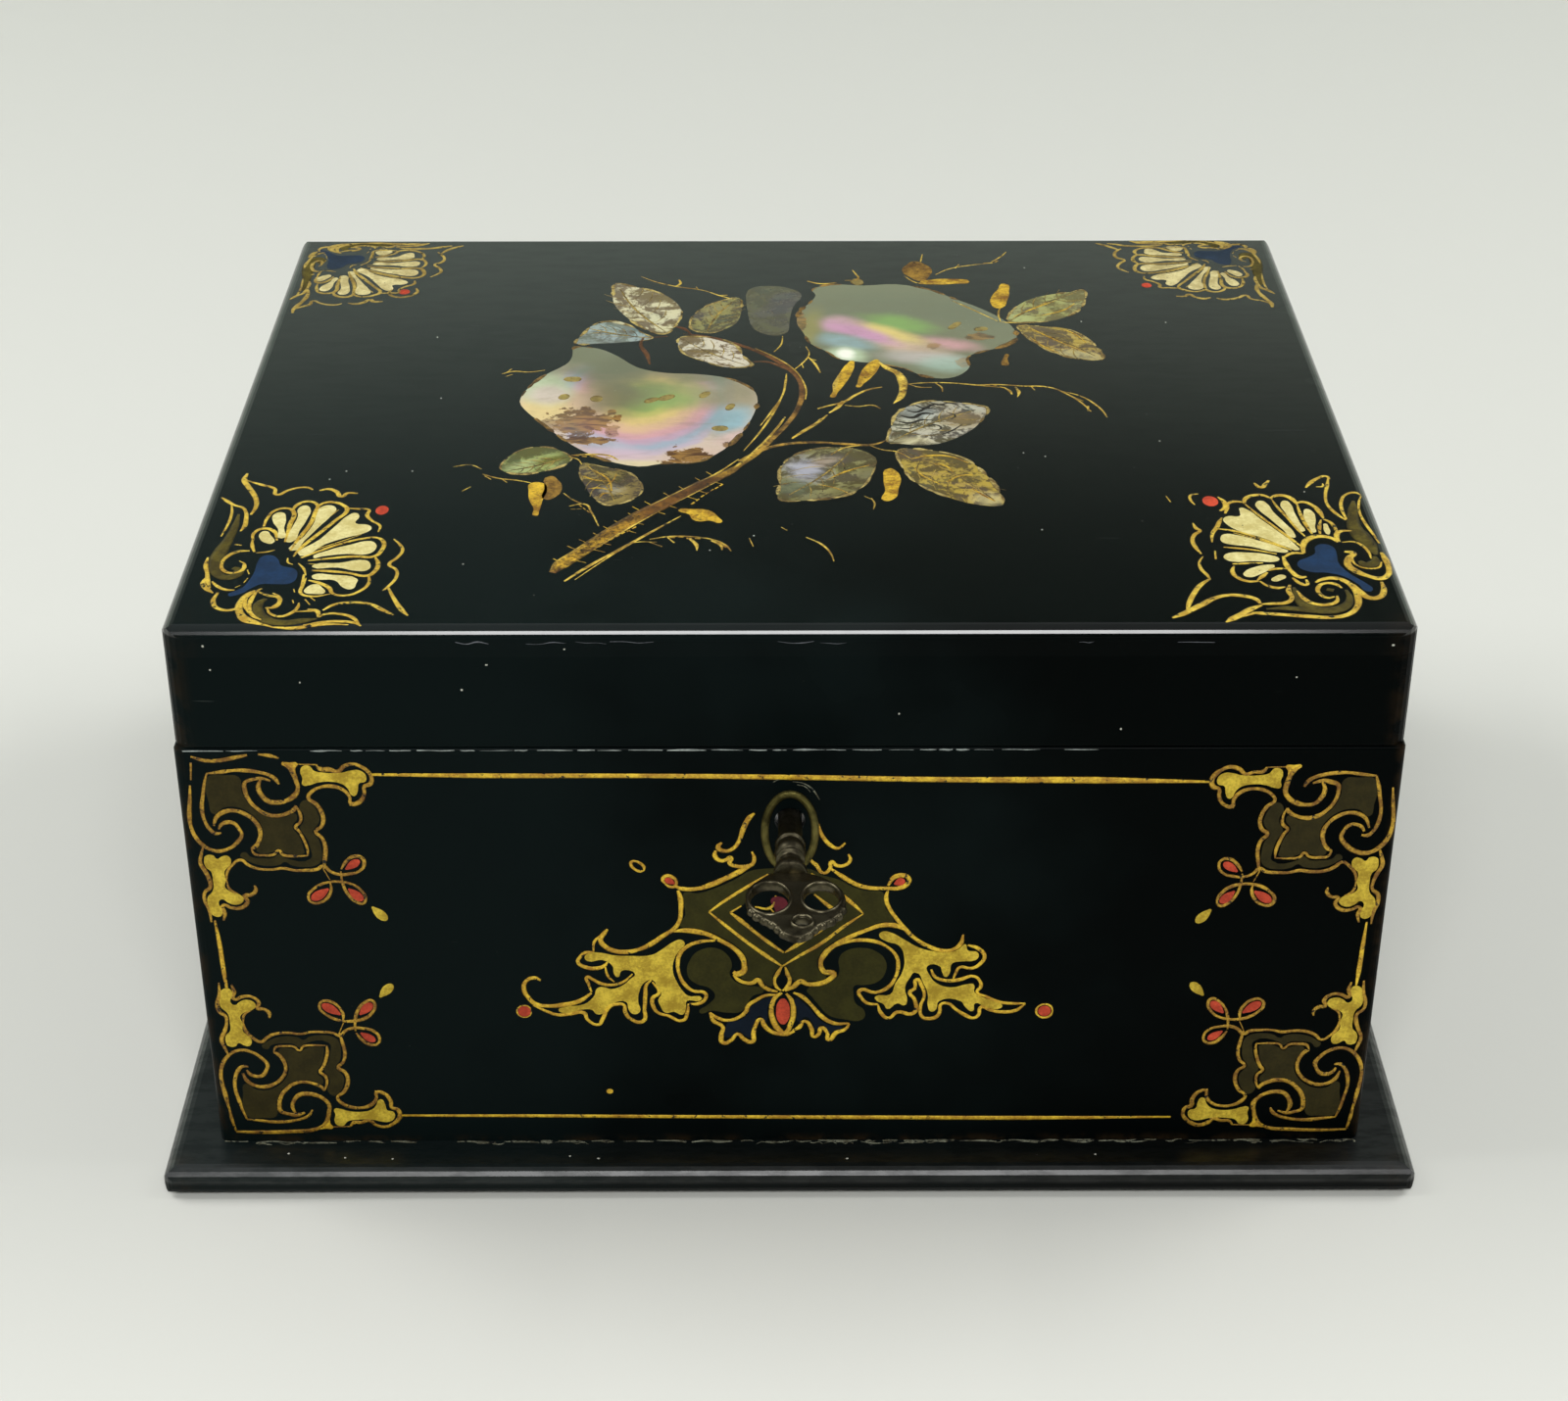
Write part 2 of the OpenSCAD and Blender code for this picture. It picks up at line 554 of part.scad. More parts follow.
module lock_case() {
    color("silver") difference() {
        union() {
            box([lock_l, lock_front_y, lock_low_z], [lock_r, lock_back_y - plate_t, lock_high_z + eps]);
            box([lock_l - 4, lock_front_y - 1, lock_high_z], [lock_r + 4, lock_back_y, joint_z - 0.05]);
        }
        box([lock_l + case_t, lock_front_y + case_t, lock_low_z + case_t],
            [lock_r - case_t, lock_back_y, lock_high_z - eps]);
        for (s = [-1, 1]) box([s * loop_x - loop_t / 2 - 0.5, loop_y0 - 0.6, lock_high_z - cut],
            [s * loop_x + loop_t / 2 + 0.5, loop_y1 + 0.6, joint_z + cut]);
        translate([0, lock_front_y - cut, key_z]) keyhole(shank_r + run_gap, 2.4, 2);
    }
}
module lock_backplate() {
    color("darkgoldenrod") difference() {
        union() {
            box([lock_l - backplate_rim, lock_back_y - plate_t, lock_low_z - 2],
                [lock_r + backplate_rim, lock_back_y, lock_high_z - seat_gap]);
            translate([0, lock_back_y - plate_t - 6, key_z]) rotate([-90, 0, 0])
                cylinder(r = drill_pin_r, h = 6 + eps);
            for (x = stud_xs) translate([x, bolt_y0 - 0.4, stud_z]) rotate([-90, 0, 0])
                cylinder(r = stud_r, h = lock_back_y - plate_t - bolt_y0 + 0.4 + eps);
        }
        at_lock_screws() wood_screw_hole(brass_screw_r, brass_screw_len);
    }
}
// The small brass screws of the hinges and the lock are all of one size
module case_screws() {
    color("goldenrod") {
        both_hinges() at_leaf_screws(-1) wood_screw(brass_screw_r, brass_screw_len);
        at_lock_screws() wood_screw(brass_screw_r, brass_screw_len);
    }
}
module lid_screws() {
    color("goldenrod") {
        both_hinges() at_leaf_screws(1) wood_screw(brass_screw_r, brass_screw_len);
        at_link_screws() wood_screw(brass_screw_r, brass_screw_len);
    }
}

// The fork hangs either side of the key bit, which pushes it across
fork_l = -shank_r - 0.3;
fork_r = bit_r + 2.2;
prong_w = 2.5;
finger_tip_gap = 1;               // from a finger's tip to its loop at rest
finger_w = 2.4;
module lock_bolt() {
    x0 = fork_l - prong_w;
    reach = bolt_throw + 1.2;
    post = [for (s = [-1, 1]) s * loop_x + loop_t / 2 + finger_tip_gap + reach - 1.2];
    color("lightsteelblue") difference() {
        union() {
            box([x0, bolt_y0, bar_low_z], [post[1] + finger_w, bolt_y0 + bolt_t, bar_high_z]);
            box([x0, bolt_y0, key_z - 5], [fork_l, bolt_y0 + bolt_t, bar_high_z]);
            box([fork_r, bolt_y0, key_z - 5], [fork_r + prong_w, bolt_y0 + bolt_t, bar_high_z]);
            for (p = post) {
                box([p, bolt_y0, bar_high_z - eps], [p + finger_w, bolt_y0 + bolt_t, finger_z + 1]);
                box([p - reach + 1.2, bolt_y0, finger_z - 1], [p + eps, bolt_y0 + bolt_t, finger_z + 1]);
            }
        }
        for (x = stud_xs) box([x - stud_r - 0.1, bolt_y0 - cut, stud_z - stud_r - 0.1],
            [x + stud_r + bolt_throw + 0.2, bolt_y0 + bolt_t + cut, stud_z + stud_r + 0.1]);
    }
}
finger_z = joint_z - 3.6;

// Link plate under the lid's front rim, with two loops that the bolt's fingers enter
link_l = -19;
link_r = 19;
link_t = 1.2;
module at_link_screws() {
    for (x = [-16, 0, 16]) translate([x, (loop_y0 + loop_y1) / 2, joint_z + 0.05])
        rotate([180, 0, 0]) children();
}
module link_mortise() {
    g = seat_gap;
    box([link_l - g, loop_y0 - g, joint_z - cut], [link_r + g, loop_y1 + g, joint_z + link_t + 0.05]);
    at_link_screws() wood_screw_hole(brass_screw_r, brass_screw_len);
}
module link_plate() {
    color("darkgoldenrod") difference() {
        union() {
            box([link_l, loop_y0, joint_z + 0.05], [link_r, loop_y1, joint_z + 0.05 + link_t]);
            for (s = [-1, 1]) box([s * loop_x - loop_t / 2, loop_y0, joint_z - loop_drop],
                [s * loop_x + loop_t / 2, loop_y1, joint_z + 0.05 + eps]);
        }
        for (s = [-1, 1]) box([s * loop_x - loop_t, bolt_y0 - 0.2, finger_z - 1.6],
            [s * loop_x + loop_t, bolt_y0 + bolt_t + 0.2, finger_z + 1.6]);
        at_link_screws() wood_screw_hole(brass_screw_r, brass_screw_len);
    }
}

// Oval half-round bead about the keyhole
bead_r = 0.8;
bead_z = key_z - 2.6;
module bead_ring(a, b, r, n, m) {
    pts = [for (i = [0:n - 1], k = [0:m - 1])
        let (t = 360 * i / n, u = 180 * k / (m - 1), nx = b * cos(t), nz = a * sin(t), l = norm([nx, nz]))
        [a * cos(t) + r * cos(u) * nx / l, -r * sin(u), b * sin(t) + r * cos(u) * nz / l]];
    tris = [for (i = [0:n - 1], k = [0:m - 1])
        [i * m + k, i * m + (k + 1) % m, ((i + 1) % n) * m + (k + 1) % m, ((i + 1) % n) * m + k]];
    polyhedron(pts, tris);
}
module escutcheon() {
    color("goldenrod") translate([0, front_y, bead_z])
        bead_ring(escutcheon_w / 2 - bead_r, escutcheon_h / 2 - bead_r, bead_r, 36, 7);
}

// Lock key, bow lying flat as when the key is part-turned; y runs out from the front wall
key_end_y = lock_back_y - plate_t - 0.3;
shoulder_y = front_y - 19;
bow_t = 2.6;
// Turned part of the key, from the lock to the bow: radius over the shank, distance past the shoulder
key_turning = [[0, shoulder_y - key_end_y], [0, -10.9], [0.6, -10.3], [0.6, -8.2], [0.1, -7.7],
    [0.1, -7.2], [0.8, -6.6], [0.8, -5.2], [-0.2, -4.4], [-0.2, -3.6], [0.5, -2.4], [0.9, -0.6],
    [0.9, 0.6]];
bow_outline = [[-3.4, -0.2], [-6.3, -2.6], [-8.6, -5.6], [-9, -9], [-8.1, -12.8], [-5.4, -15.9],
    [-2.9, -18.2], [-1.2, -21.2], [1.4, -22.2], [3.6, -20.6], [5, -18.6], [8.5, -16], [10.6, -12],
    [10.6, -7.6], [8.6, -3.8], [4.2, -0.8], [0.4, 0.6]];
// Each eye of the bow: middle, then half width and half length
bow_eyes = [[[-4, -9.1], [3.6, 5]], [[5.8, -8.8], [3.3, 4.5]]];
bow_ring = [1.7, -16.6];
bit_t = 2;
module lock_key() {
    color([0.35, 0.33, 0.3]) translate([0, 0, key_z]) {
        difference() {
            union() {
                // shank, two collar rings and domed shoulder
                translate([0, key_end_y, 0]) rotate([90, 0, 0]) rotate_extrude() polygon(concat([[0, 0]],
                    [for (q = key_turning) [shank_r + q[0], key_end_y - shoulder_y + q[1]]],
                    [[0, key_end_y - shoulder_y + 1.2]]));
                translate([0, shoulder_y, -bow_t / 2]) linear_extrude(bow_t) polygon(smooth(bow_outline));
                box([0, lock_front_y + case_t + 0.2, -bit_t / 2], [bit_r, key_end_y, bit_t / 2]);
            }
            for (e = bow_eyes) translate([e[0][0], shoulder_y + e[0][1], -bow_t]) linear_extrude(2 * bow_t)
                polygon(ellipse_pts(e[1][0], e[1][1], 20));
            translate([bow_ring[0], shoulder_y + bow_ring[1], -bow_t]) cylinder(r = 1.1, h = 2 * bow_t);
            translate([0, key_end_y + cut, 0]) rotate([90, 0, 0])
                cylinder(r = drill_pin_r + run_gap, h = 8 + cut);
        }
    }
}

// ---------- movement ----------

bed_left = 24;                    // the bed's left end from the barrel axis
bed_gap = 2;                      // from the bed to the divider
bed_top = board_top + bed_t;
bed_x0 = barrel_x - bed_left;
bed_x1 = divider_x - bed_gap;
bed_y0 = movement_y + 1;
bed_y1 = in_d / 2 - 4;

barrel_z = bed_top + 1;
barrel_top = barrel_z + barrel_h;
pitch_z = barrel_top + contrate_ded;
cyl_z = pitch_z + pinion_n * contrate_m / 2;    // height of the cylinder axis
pinion_w = 3.2;
pinion_x = barrel_x + contrate_r - pinion_w / 2;

cyl_arbor_r = 1.5;
cock_x = great_x + great_t + 2;
cock_t = 3;
gov_arbor_r = 1;
worm_starts = 2;
worm_wheel_t = 0.8;
worm_pitch = PI * great_m;
worm_half = 7;                    // half length of the endless screw

module bed_plate() {
    color("goldenrod") difference() {
        box([bed_x0, bed_y0, board_top], [bed_x1, bed_y1, bed_top]);
        translate([barrel_x, cyl_y, board_top - cut]) cylinder(r = arbor_r + run_gap, h = bed_t + 2 * cut);
        at_bed_screws() screw_hole(bed_screw_r, bed_screw_len, bed_screw_head, bed_screw_head_h);
        at_bridge_screws() screw_hole(long_screw_r, long_screw_len, long_screw_r, eps);
        at_frame_screws() screw_hole(short_screw_r, short_screw_len, short_screw_r, eps);
    }
}
bed_screw_r = 1.6;
bed_screw_head = 3;
bed_screw_head_h = 2;
bed_screw_len = 11;
module at_bed_screws() {
    for (x = [bed_x0 + 4.5, bed_x1 - 4.5], y = [bed_y0 + 4.5, bed_y1 - 4.5])
        translate([x, y, bed_top + bed_screw_head_h - 1]) children();
}
module bed_screws() {
    color("silver") at_bed_screws() screw(bed_screw_r, bed_screw_len, bed_screw_head, bed_screw_head_h - 0.5);
}

// Comb and its base; the tips stand just clear of the pins
comb_t = 1;
tip_gap = 0.2;
comb_tip_y = cyl_y - cyl_r - pin_h - tip_gap;
comb_heel_y = bed_y0 + 1;
comb_base_d = 11;
tooth_pitch = (cyl_len - 4) / comb_teeth;
tooth_gap = tooth_pitch * 0.28;
comb_x0 = cyl_x0 + 2;
comb_z = cyl_z - comb_t / 2;
comb_base_top = comb_z;
bass_root_y = comb_heel_y + comb_base_d + 1;
treble_root_y = comb_heel_y + comb_base_d + 8;
comb_screw_in = 7;                // the end screws from the ends of the comb
comb_screw_r = 1.3;
comb_screw_head = 2.6;
comb_screw_head_h = 1.8;
comb_screw_len = 16;
module comb_base() {
    color("darkgoldenrod") difference() {
        box([comb_x0 - 1, comb_heel_y, bed_top],
            [comb_x0 + comb_teeth * tooth_pitch + 1, comb_heel_y + comb_base_d, comb_base_top]);
        at_comb_screws() screw_hole(comb_screw_r, comb_screw_len, comb_screw_r, eps);
    }
}
module comb() {
    function root_y(i) = bass_root_y + (treble_root_y - bass_root_y) * i / (comb_teeth - 1);
    teeth = [for (i = [0:comb_teeth - 1]) let (x = comb_x0 + i * tooth_pitch)
        each [[x + tooth_gap / 2, root_y(i)], [x + tooth_gap / 2, comb_tip_y],
            [x + tooth_pitch - tooth_gap / 2, comb_tip_y], [x + tooth_pitch - tooth_gap / 2, root_y(i)]]];
    x1 = comb_x0 + comb_teeth * tooth_pitch;
    color("lightsteelblue") difference() {
        translate([0, 0, comb_z]) linear_extrude(comb_t)
            polygon(concat([[comb_x0, comb_heel_y]], [[comb_x0, root_y(0)]], teeth,
                [[x1, root_y(comb_teeth - 1)], [x1, comb_heel_y]]));
        at_comb_screws() screw_hole(comb_screw_r, comb_screw_len, comb_screw_r, eps);
    }
}
module at_comb_screws() {
    for (i = [0:3]) translate([comb_x0 + comb_screw_in + i * (comb_teeth * tooth_pitch - 2 * comb_screw_in) / 3,
        comb_heel_y + comb_base_d / 2, comb_z + comb_t + comb_screw_head_h]) children();
}
module comb_screws() {
    color("steelblue") at_comb_screws()
        screw(comb_screw_r, comb_screw_len, comb_screw_head, comb_screw_head_h);
}

// Bridge over the barrel: it holds the winding arbor, the click and the cylinder's left pivot
bridge_gap = 0.8;
bridge_z = pitch_z + contrate_add + bridge_gap;
bridge_t = 3;
bridge_x0 = barrel_x - 9;
bridge_x1 = barrel_x + 13;
bridge_half = barrel_r + 6;
post_in = barrel_r + 1.5;
bridge_top = bridge_z + bridge_t;
block_x0 = bridge_x1 - 4;
arbor_pivot_r = 1.8;
click_pin_r = 1.2;
click_pos = [barrel_x, cyl_y + 13.5];
long_screw_r = 1.3;
long_screw_head = 2.3;
long_screw_head_h = 1.6;
long_screw_len = bridge_top + long_screw_head_h - board_top - 1;
module at_bridge_screws() {
    for (s = [-1, 1])
        translate([barrel_x + 2, cyl_y + s * (post_in + bridge_half) / 2,
            bridge_top + long_screw_head_h]) children();
}
module barrel_bridge() {
    color("goldenrod") difference() {
        union() {
            box([bridge_x0, cyl_y - bridge_half, bridge_z], [bridge_x1, cyl_y + bridge_half, bridge_top]);
            for (s = [-1, 1]) box([bridge_x0, cyl_y + (s > 0 ? post_in : -bridge_half), bed_top],
                [bridge_x1, cyl_y + (s > 0 ? bridge_half : -post_in), bridge_z + eps]);
            box([block_x0, cyl_y - 4, bridge_top - eps], [bridge_x1, cyl_y + 4, cyl_z + 4]);
            translate([click_pos[0], click_pos[1], bridge_top - eps]) cylinder(r = click_pin_r, h = 2.4);
        }
        translate([barrel_x, cyl_y, bridge_z - cut])
            cylinder(r = arbor_pivot_r + run_gap, h = bridge_t + 2 * cut);
        translate([block_x0 - cut, cyl_y, cyl_z]) rotate([0, 90, 0])
            cylinder(r = cyl_arbor_r + run_gap, h = 4 + 2 * cut);
        at_bridge_screws() screw_hole(long_screw_r, long_screw_len, long_screw_r, eps);
    }
}
module bridge_screws() {
    color("steelblue") at_bridge_screws()
        screw(long_screw_r, long_screw_len, long_screw_head, long_screw_head_h);
}

foot_t = 3;
short_screw_r = 1.1;
short_screw_head = 2;
short_screw_head_h = 1.4;
short_screw_len = 7;
module at_frame_screws() {
    for (p = [[cock_x + 8, cyl_y - 5], [great_x - 1, gov_y + 2], [worm_x - 1, gov_y + 3]])
        translate([p[0], p[1], bed_top + foot_t + short_screw_head_h]) children();
}
module frame_screws() {
    color("steelblue") at_frame_screws()
        screw(short_screw_r, short_screw_len, short_screw_head, short_screw_head_h);
}

module cylinder_cock() {
    color("goldenrod") difference() {
        union() {
            box([cock_x, cyl_y - 9, bed_top], [cock_x + cock_t, cyl_y + 4, cyl_z + 5]);
            box([cock_x, cyl_y - 9, bed_top], [cock_x + 12, cyl_y - 1, bed_top + foot_t]);
        }
        translate([cock_x - cut, cyl_y, cyl_z]) rotate([0, 90, 0])
            cylinder(r = cyl_arbor_r + run_gap, h = cock_t + 2 * cut);
        at_frame_screws() screw_hole(short_screw_r, short_screw_len, short_screw_r, eps);
    }
}

gov_x0 = great_x - 7;
arm_z = cyl_z + worm_wheel_n * great_m / 2 + 1.4;
arm_t = 2.5;
spindle_r = 1;
spindle_foot_r = 0.8;
module governor_frame() {
    color("goldenrod") difference() {
        union() {
            box([gov_x0, gov_y - 5.2, bed_top], [gov_right_x + gov_t, gov_y + 6, bed_top + foot_t]);
            box([worm_x - 3.6, worm_y - 3.4, bed_top], [gov_right_x + gov_t, gov_y - 5, bed_top + foot_t]);
            box([gov_x0, gov_y - 5, bed_top], [gov_x0 + gov_t, gov_y + 5, cyl_z + 5]);
            box([gov_right_x, worm_y - 3.4, bed_top], [gov_right_x + gov_t, gov_y + 5, cyl_z + 5]);
            box([gov_right_x, worm_y - 3.4, bed_top], [gov_right_x + gov_t, worm_y + 3.4, arm_z + arm_t]);
            box([worm_x - 3.2, worm_y - 3.4, arm_z], [gov_right_x + eps, worm_y + 3.4, arm_z + arm_t]);
            translate([lever_x, lever_y, bed_top]) cylinder(r = 2, h = lever_z - bed_top);
            translate([lever_x, lever_y, bed_top])
                cylinder(r = lever_pin_r, h = lever_z - bed_top + lever_t + 1);
            box([gov_right_x + gov_t - eps, lever_y - 2.5, bed_top],
                [lever_x + 2.5, lever_y + 2.5, bed_top + foot_t]);
        }
        translate([gov_x0 - cut, gov_y, cyl_z]) rotate([0, 90, 0])
            cylinder(r = gov_arbor_r + run_gap, h = gov_right_x - gov_x0 + gov_t + 2 * cut);
        translate([worm_x, worm_y, bed_top - cut])
            cylinder(r = spindle_foot_r + run_gap, h = foot_t + 2 * cut);
        translate([worm_x, worm_y, arm_z - cut]) cylinder(r = spindle_r + run_gap, h = arm_t + 2 * cut);
        at_frame_screws() screw_hole(short_screw_r, short_screw_len, short_screw_r, eps);
    }
}

// Winding: arbor, ratchet, click and the key under the base
arbor_low_z = 3;
ratchet_n = 16;
ratchet_r = 7.5;
ratchet_depth = 1.1;
ratchet_t = 1.5;
module winding_arbor() {
    color("silver") translate([barrel_x, cyl_y, 0]) {
        translate([0, 0, arbor_low_z]) cylinder(r = arbor_r, h = bridge_z - seat_gap - arbor_low_z);
        translate([0, 0, bridge_z - 1]) cylinder(r = arbor_pivot_r, h = bridge_t + ratchet_t + 2.4);
    }
}
ratchet_phase = 18.8;             // angle of the first tooth tip
module ratchet_wheel() {
    step = 360 / ratchet_n;
    // Each tooth is steep on its clockwise side, so the wheel turns anticlockwise only
    pts = [for (i = [0:ratchet_n - 1]) let (a = ratchet_phase + i * step, root = ratchet_r - ratchet_depth)
        each [[root * cos(a - 1.5), root * sin(a - 1.5)], [ratchet_r * cos(a), ratchet_r * sin(a)]]];
    color("silver") translate([barrel_x, cyl_y, bridge_top + 0.05]) difference() {
        linear_extrude(ratchet_t) polygon(pts);
        translate([0, 0, -cut]) cylinder(r = arbor_pivot_r + 0.02, h = ratchet_t + 2 * cut);
    }
}
click_t = 1.4;
click_angle = 238;                // direction of the click's arm from its pivot, riding on the tooth tips
click_len = 9.1;
module click() {
    color("silver") translate([click_pos[0], click_pos[1], bridge_top + 0.1]) difference() {
        union() {
            cylinder(r = 2.4, h = click_t);
            rotate([0, 0, click_angle]) linear_extrude(click_t)
                polygon([[0, -1.3], [click_len - 1, -1.3], [click_len, -0.5], [click_len, 0],
                    [click_len - 1.6, 0.3], [0, 0.6]]);
        }
        translate([0, 0, -cut]) cylinder(r = click_pin_r + run_gap, h = click_t + 2 * cut);
    }
}
wing_half = 12;
wing_t = 1.6;
wing_z0 = 1.2;
wing_z1 = 7.6;
module winding_key() {
    color("goldenrod") translate([barrel_x, cyl_y, 0]) difference() {
        union() {
            translate([0, 0, arbor_low_z - 1]) cylinder(r = 4, h = board_top - arbor_low_z);
            for (s = [-1, 1]) intersection() {
                box([s > 0 ? 0 : -wing_half, -wing_t / 2, wing_z0],
                    [s > 0 ? wing_half : 0, wing_t / 2, wing_z1]);
                translate([s * 6.4, 0, (wing_z0 + wing_z1) / 2]) rotate([90, 0, 0])
                    cylinder(r = 5.6, h = 4, center = true);
            }
        }
        translate([0, 0, arbor_low_z - 2]) cylinder(r = arbor_r + 0.02, h = board_top);
        for (s = [-1, 1]) translate([s * 8, 0, (wing_z0 + wing_z1) / 2]) rotate([90, 0, 0])
            cylinder(r = 1.4, h = 4, center = true);
    }
}

// Spring barrel with contrate teeth on its rim
barrel_wall = 1.2;
module spring_barrel() {
    half_root = 0.62 + contrate_ded * tan(20);
    half_tip = 0.62 - contrate_add * tan(20);
    color("goldenrod") translate([barrel_x, cyl_y, 0]) {
        difference() {
            translate([0, 0, barrel_z]) cylinder(r = barrel_r, h = barrel_h);
            translate([0, 0, barrel_z + barrel_wall]) cylinder(r = spring_r, h = barrel_h);
            translate([0, 0, barrel_top - cap_t - seat_gap]) cylinder(r = cap_r, h = barrel_h);
            translate([0, 0, barrel_z - cut]) cylinder(r = arbor_r + run_gap, h = barrel_h);
        }
        for (i = [0:contrate_n - 1]) rotate([0, 0, (i + 0.5) * 360 / contrate_n])
            translate([contrate_r - contrate_w / 2, 0, barrel_top]) rotate([90, 0, 90])
                linear_extrude(contrate_w) polygon([[-half_root, -0.2], [half_root, -0.2], [half_root, 0],
                    [half_tip, contrate_ded + contrate_add], [-half_tip, contrate_ded + contrate_add],
                    [-half_root, 0]]);
    }
}
cap_t = 1;
spring_r = contrate_r - contrate_w / 2 - 1.4;
cap_r = spring_r + 0.6;
module barrel_cap() {
    color("goldenrod") translate([barrel_x, cyl_y, barrel_top - cap_t]) difference() {
        cylinder(r = cap_r - 0.02, h = cap_t - seat_gap);
        translate([0, 0, -cut]) cylinder(r = arbor_r + run_gap, h = cap_t + 2 * cut);
    }
}
spring_turns = 7;
spring_steps = 18;                // points in each turn
spring_t = 0.35;
module mainspring() {
    n = spring_turns * spring_steps;
    r0 = arbor_r + 0.5;
    r1 = spring_r - spring_t - 0.05;
    function spiral(r_add) = [for (i = [0:n])
        let (r = r0 + (r1 - r0) * i / n + r_add, a = 360 * i / spring_steps) [r * cos(a), r * sin(a)]];
    inner = spiral(0);
    outer = spiral(spring_t);
    color("slategray") translate([barrel_x, cyl_y, barrel_z + barrel_wall + 0.1])
        linear_extrude(barrel_h - barrel_wall - cap_t - 0.6)
            polygon(concat(outer, [for (i = [n:-1:0]) inner[i]]));
}

// Cylinder train
module cylinder_body_profile() {
    polygon([[cyl_arbor_r + 0.02, 1.5], [cyl_r - 1, 1.5], [cyl_r - 1, 0], [cyl_r, 0],
        [cyl_r, cyl_len], [cyl_r - 1, cyl_len], [cyl_r - 1, cyl_len - 1.5],
        [cyl_arbor_r + 0.02, cyl_len - 1.5]]);
}
module music_cylinder() {
    color("gold") translate([cyl_x0, cyl_y, cyl_z]) rotate([0, 90, 0])
        rotate_extrude() cylinder_body_profile();
}

// Three pins for each comb tooth, turned a little further round from tooth to tooth
pin_r = 0.25;
pins_per_tooth = 3;
module cylinder_pins() {
    color("silver") translate([0, cyl_y, cyl_z]) for (i = [0:comb_teeth - 1], j = [0:pins_per_tooth - 1])
        translate([comb_x0 + (i + 0.5) * tooth_pitch, 0, 0]) rotate([i * 137 + j * 121 + 40, 0, 0])
            translate([0, 0, cyl_r + eps]) cylinder(r = pin_r, h = pin_h - eps, $fn = 6);
}
module cylinder_arbor() {
    color("silver") {
        translate([block_x0 - 0.5, cyl_y, cyl_z]) rotate([0, 90, 0])
            cylinder(r = cyl_arbor_r, h = cock_x + cock_t - block_x0 + 1);
        translate([0, cyl_y, cyl_z]) along_x(pinion_x) linear_extrude(pinion_w)
            polygon(gear_pts(pinion_n, contrate_m, 0.75, 1.3, 0.45, -90));
    }
}
module great_wheel() {
    color("gold") translate([0, cyl_y, cyl_z]) along_x(great_x) difference() {
        linear_extrude(great_t) polygon(gear_pts(great_n, great_m, 0.5, 0.75, 0.2, 0));
        translate([0, 0, -cut]) cylinder(r = cyl_arbor_r + 0.02, h = great_t + 2 * cut);
        for (a = [45:90:315]) rotate([0, 0, a]) translate([9.5, 0, -cut])
            cylinder(r = 3.2, h = great_t + 2 * cut);
    }
}
module governor_arbor() {
    color("silver") translate([0, gov_y, cyl_z]) {
        translate([gov_x0 + 0.2, 0, 0]) rotate([0, 90, 0])
            cylinder(r = gov_arbor_r, h = gov_right_x + gov_t - gov_x0 - 0.4);
        along_x(great_x - 0.6) linear_extrude(great_t + 1.2)
            polygon(gear_pts(gov_pinion_n, great_m, 0.55, 0.85, 0.25, 180 / gov_pinion_n));
        along_x(worm_x - worm_wheel_t / 2) linear_extrude(worm_wheel_t)
            polygon(gear_pts(worm_wheel_n, great_m, 0.5, 0.8, 0.35, 180 / worm_wheel_n));
        along_x(worm_x - 2) cylinder(r = 2.4, h = 4);
    }
}
// Endless screw with two starts, its thread's crest facing the wheel, and the two-winged fly above it
worm_add = 0.5;
worm_ded = 0.7;
worm_lead = worm_starts * worm_pitch;
fly_r = 7;
fly_h = 8;
fly_t = 0.6;
fly_z = arm_z + arm_t + 1.3;
module fly_spindle() {
    half = worm_pitch / 4 - 0.2;
    tip_a = (half - worm_add * tan(20)) / worm_lead * 360;
    root_a = (half + worm_ded * tan(20)) / worm_lead * 360;
    // One thread as angle and height over the pitch radius
    thread = [[-root_a, -worm_ded], [-tip_a, worm_add], [0, worm_add], [tip_a, worm_add], [root_a, -worm_ded],
        [180 / worm_starts, -worm_ded]];
    section = [for (start = [0:worm_starts - 1], q = thread)
        let (a = 360 * start / worm_starts + q[0], r = worm_r + q[1]) [r * cos(a), r * sin(a)]];
    color("silver") translate([worm_x, worm_y, 0]) {
        translate([0, 0, bed_top + 0.2]) cylinder(r = spindle_foot_r, h = foot_t + 1);
        translate([0, 0, bed_top + foot_t + 0.2])
            cylinder(r = spindle_r, h = fly_z + fly_h - bed_top - foot_t);
        translate([0, 0, cyl_z - worm_half]) rotate([0, 0, 90 - 360 * worm_half / worm_lead])
            mirror([0, 1, 0])
                linear_extrude(2 * worm_half, twist = 360 * 2 * worm_half / worm_lead, slices = 45, $fn = 12)
                polygon(section);
        box([-fly_t / 2, -fly_r, fly_z], [fly_t / 2, fly_r, fly_z + fly_h]);
    }
}

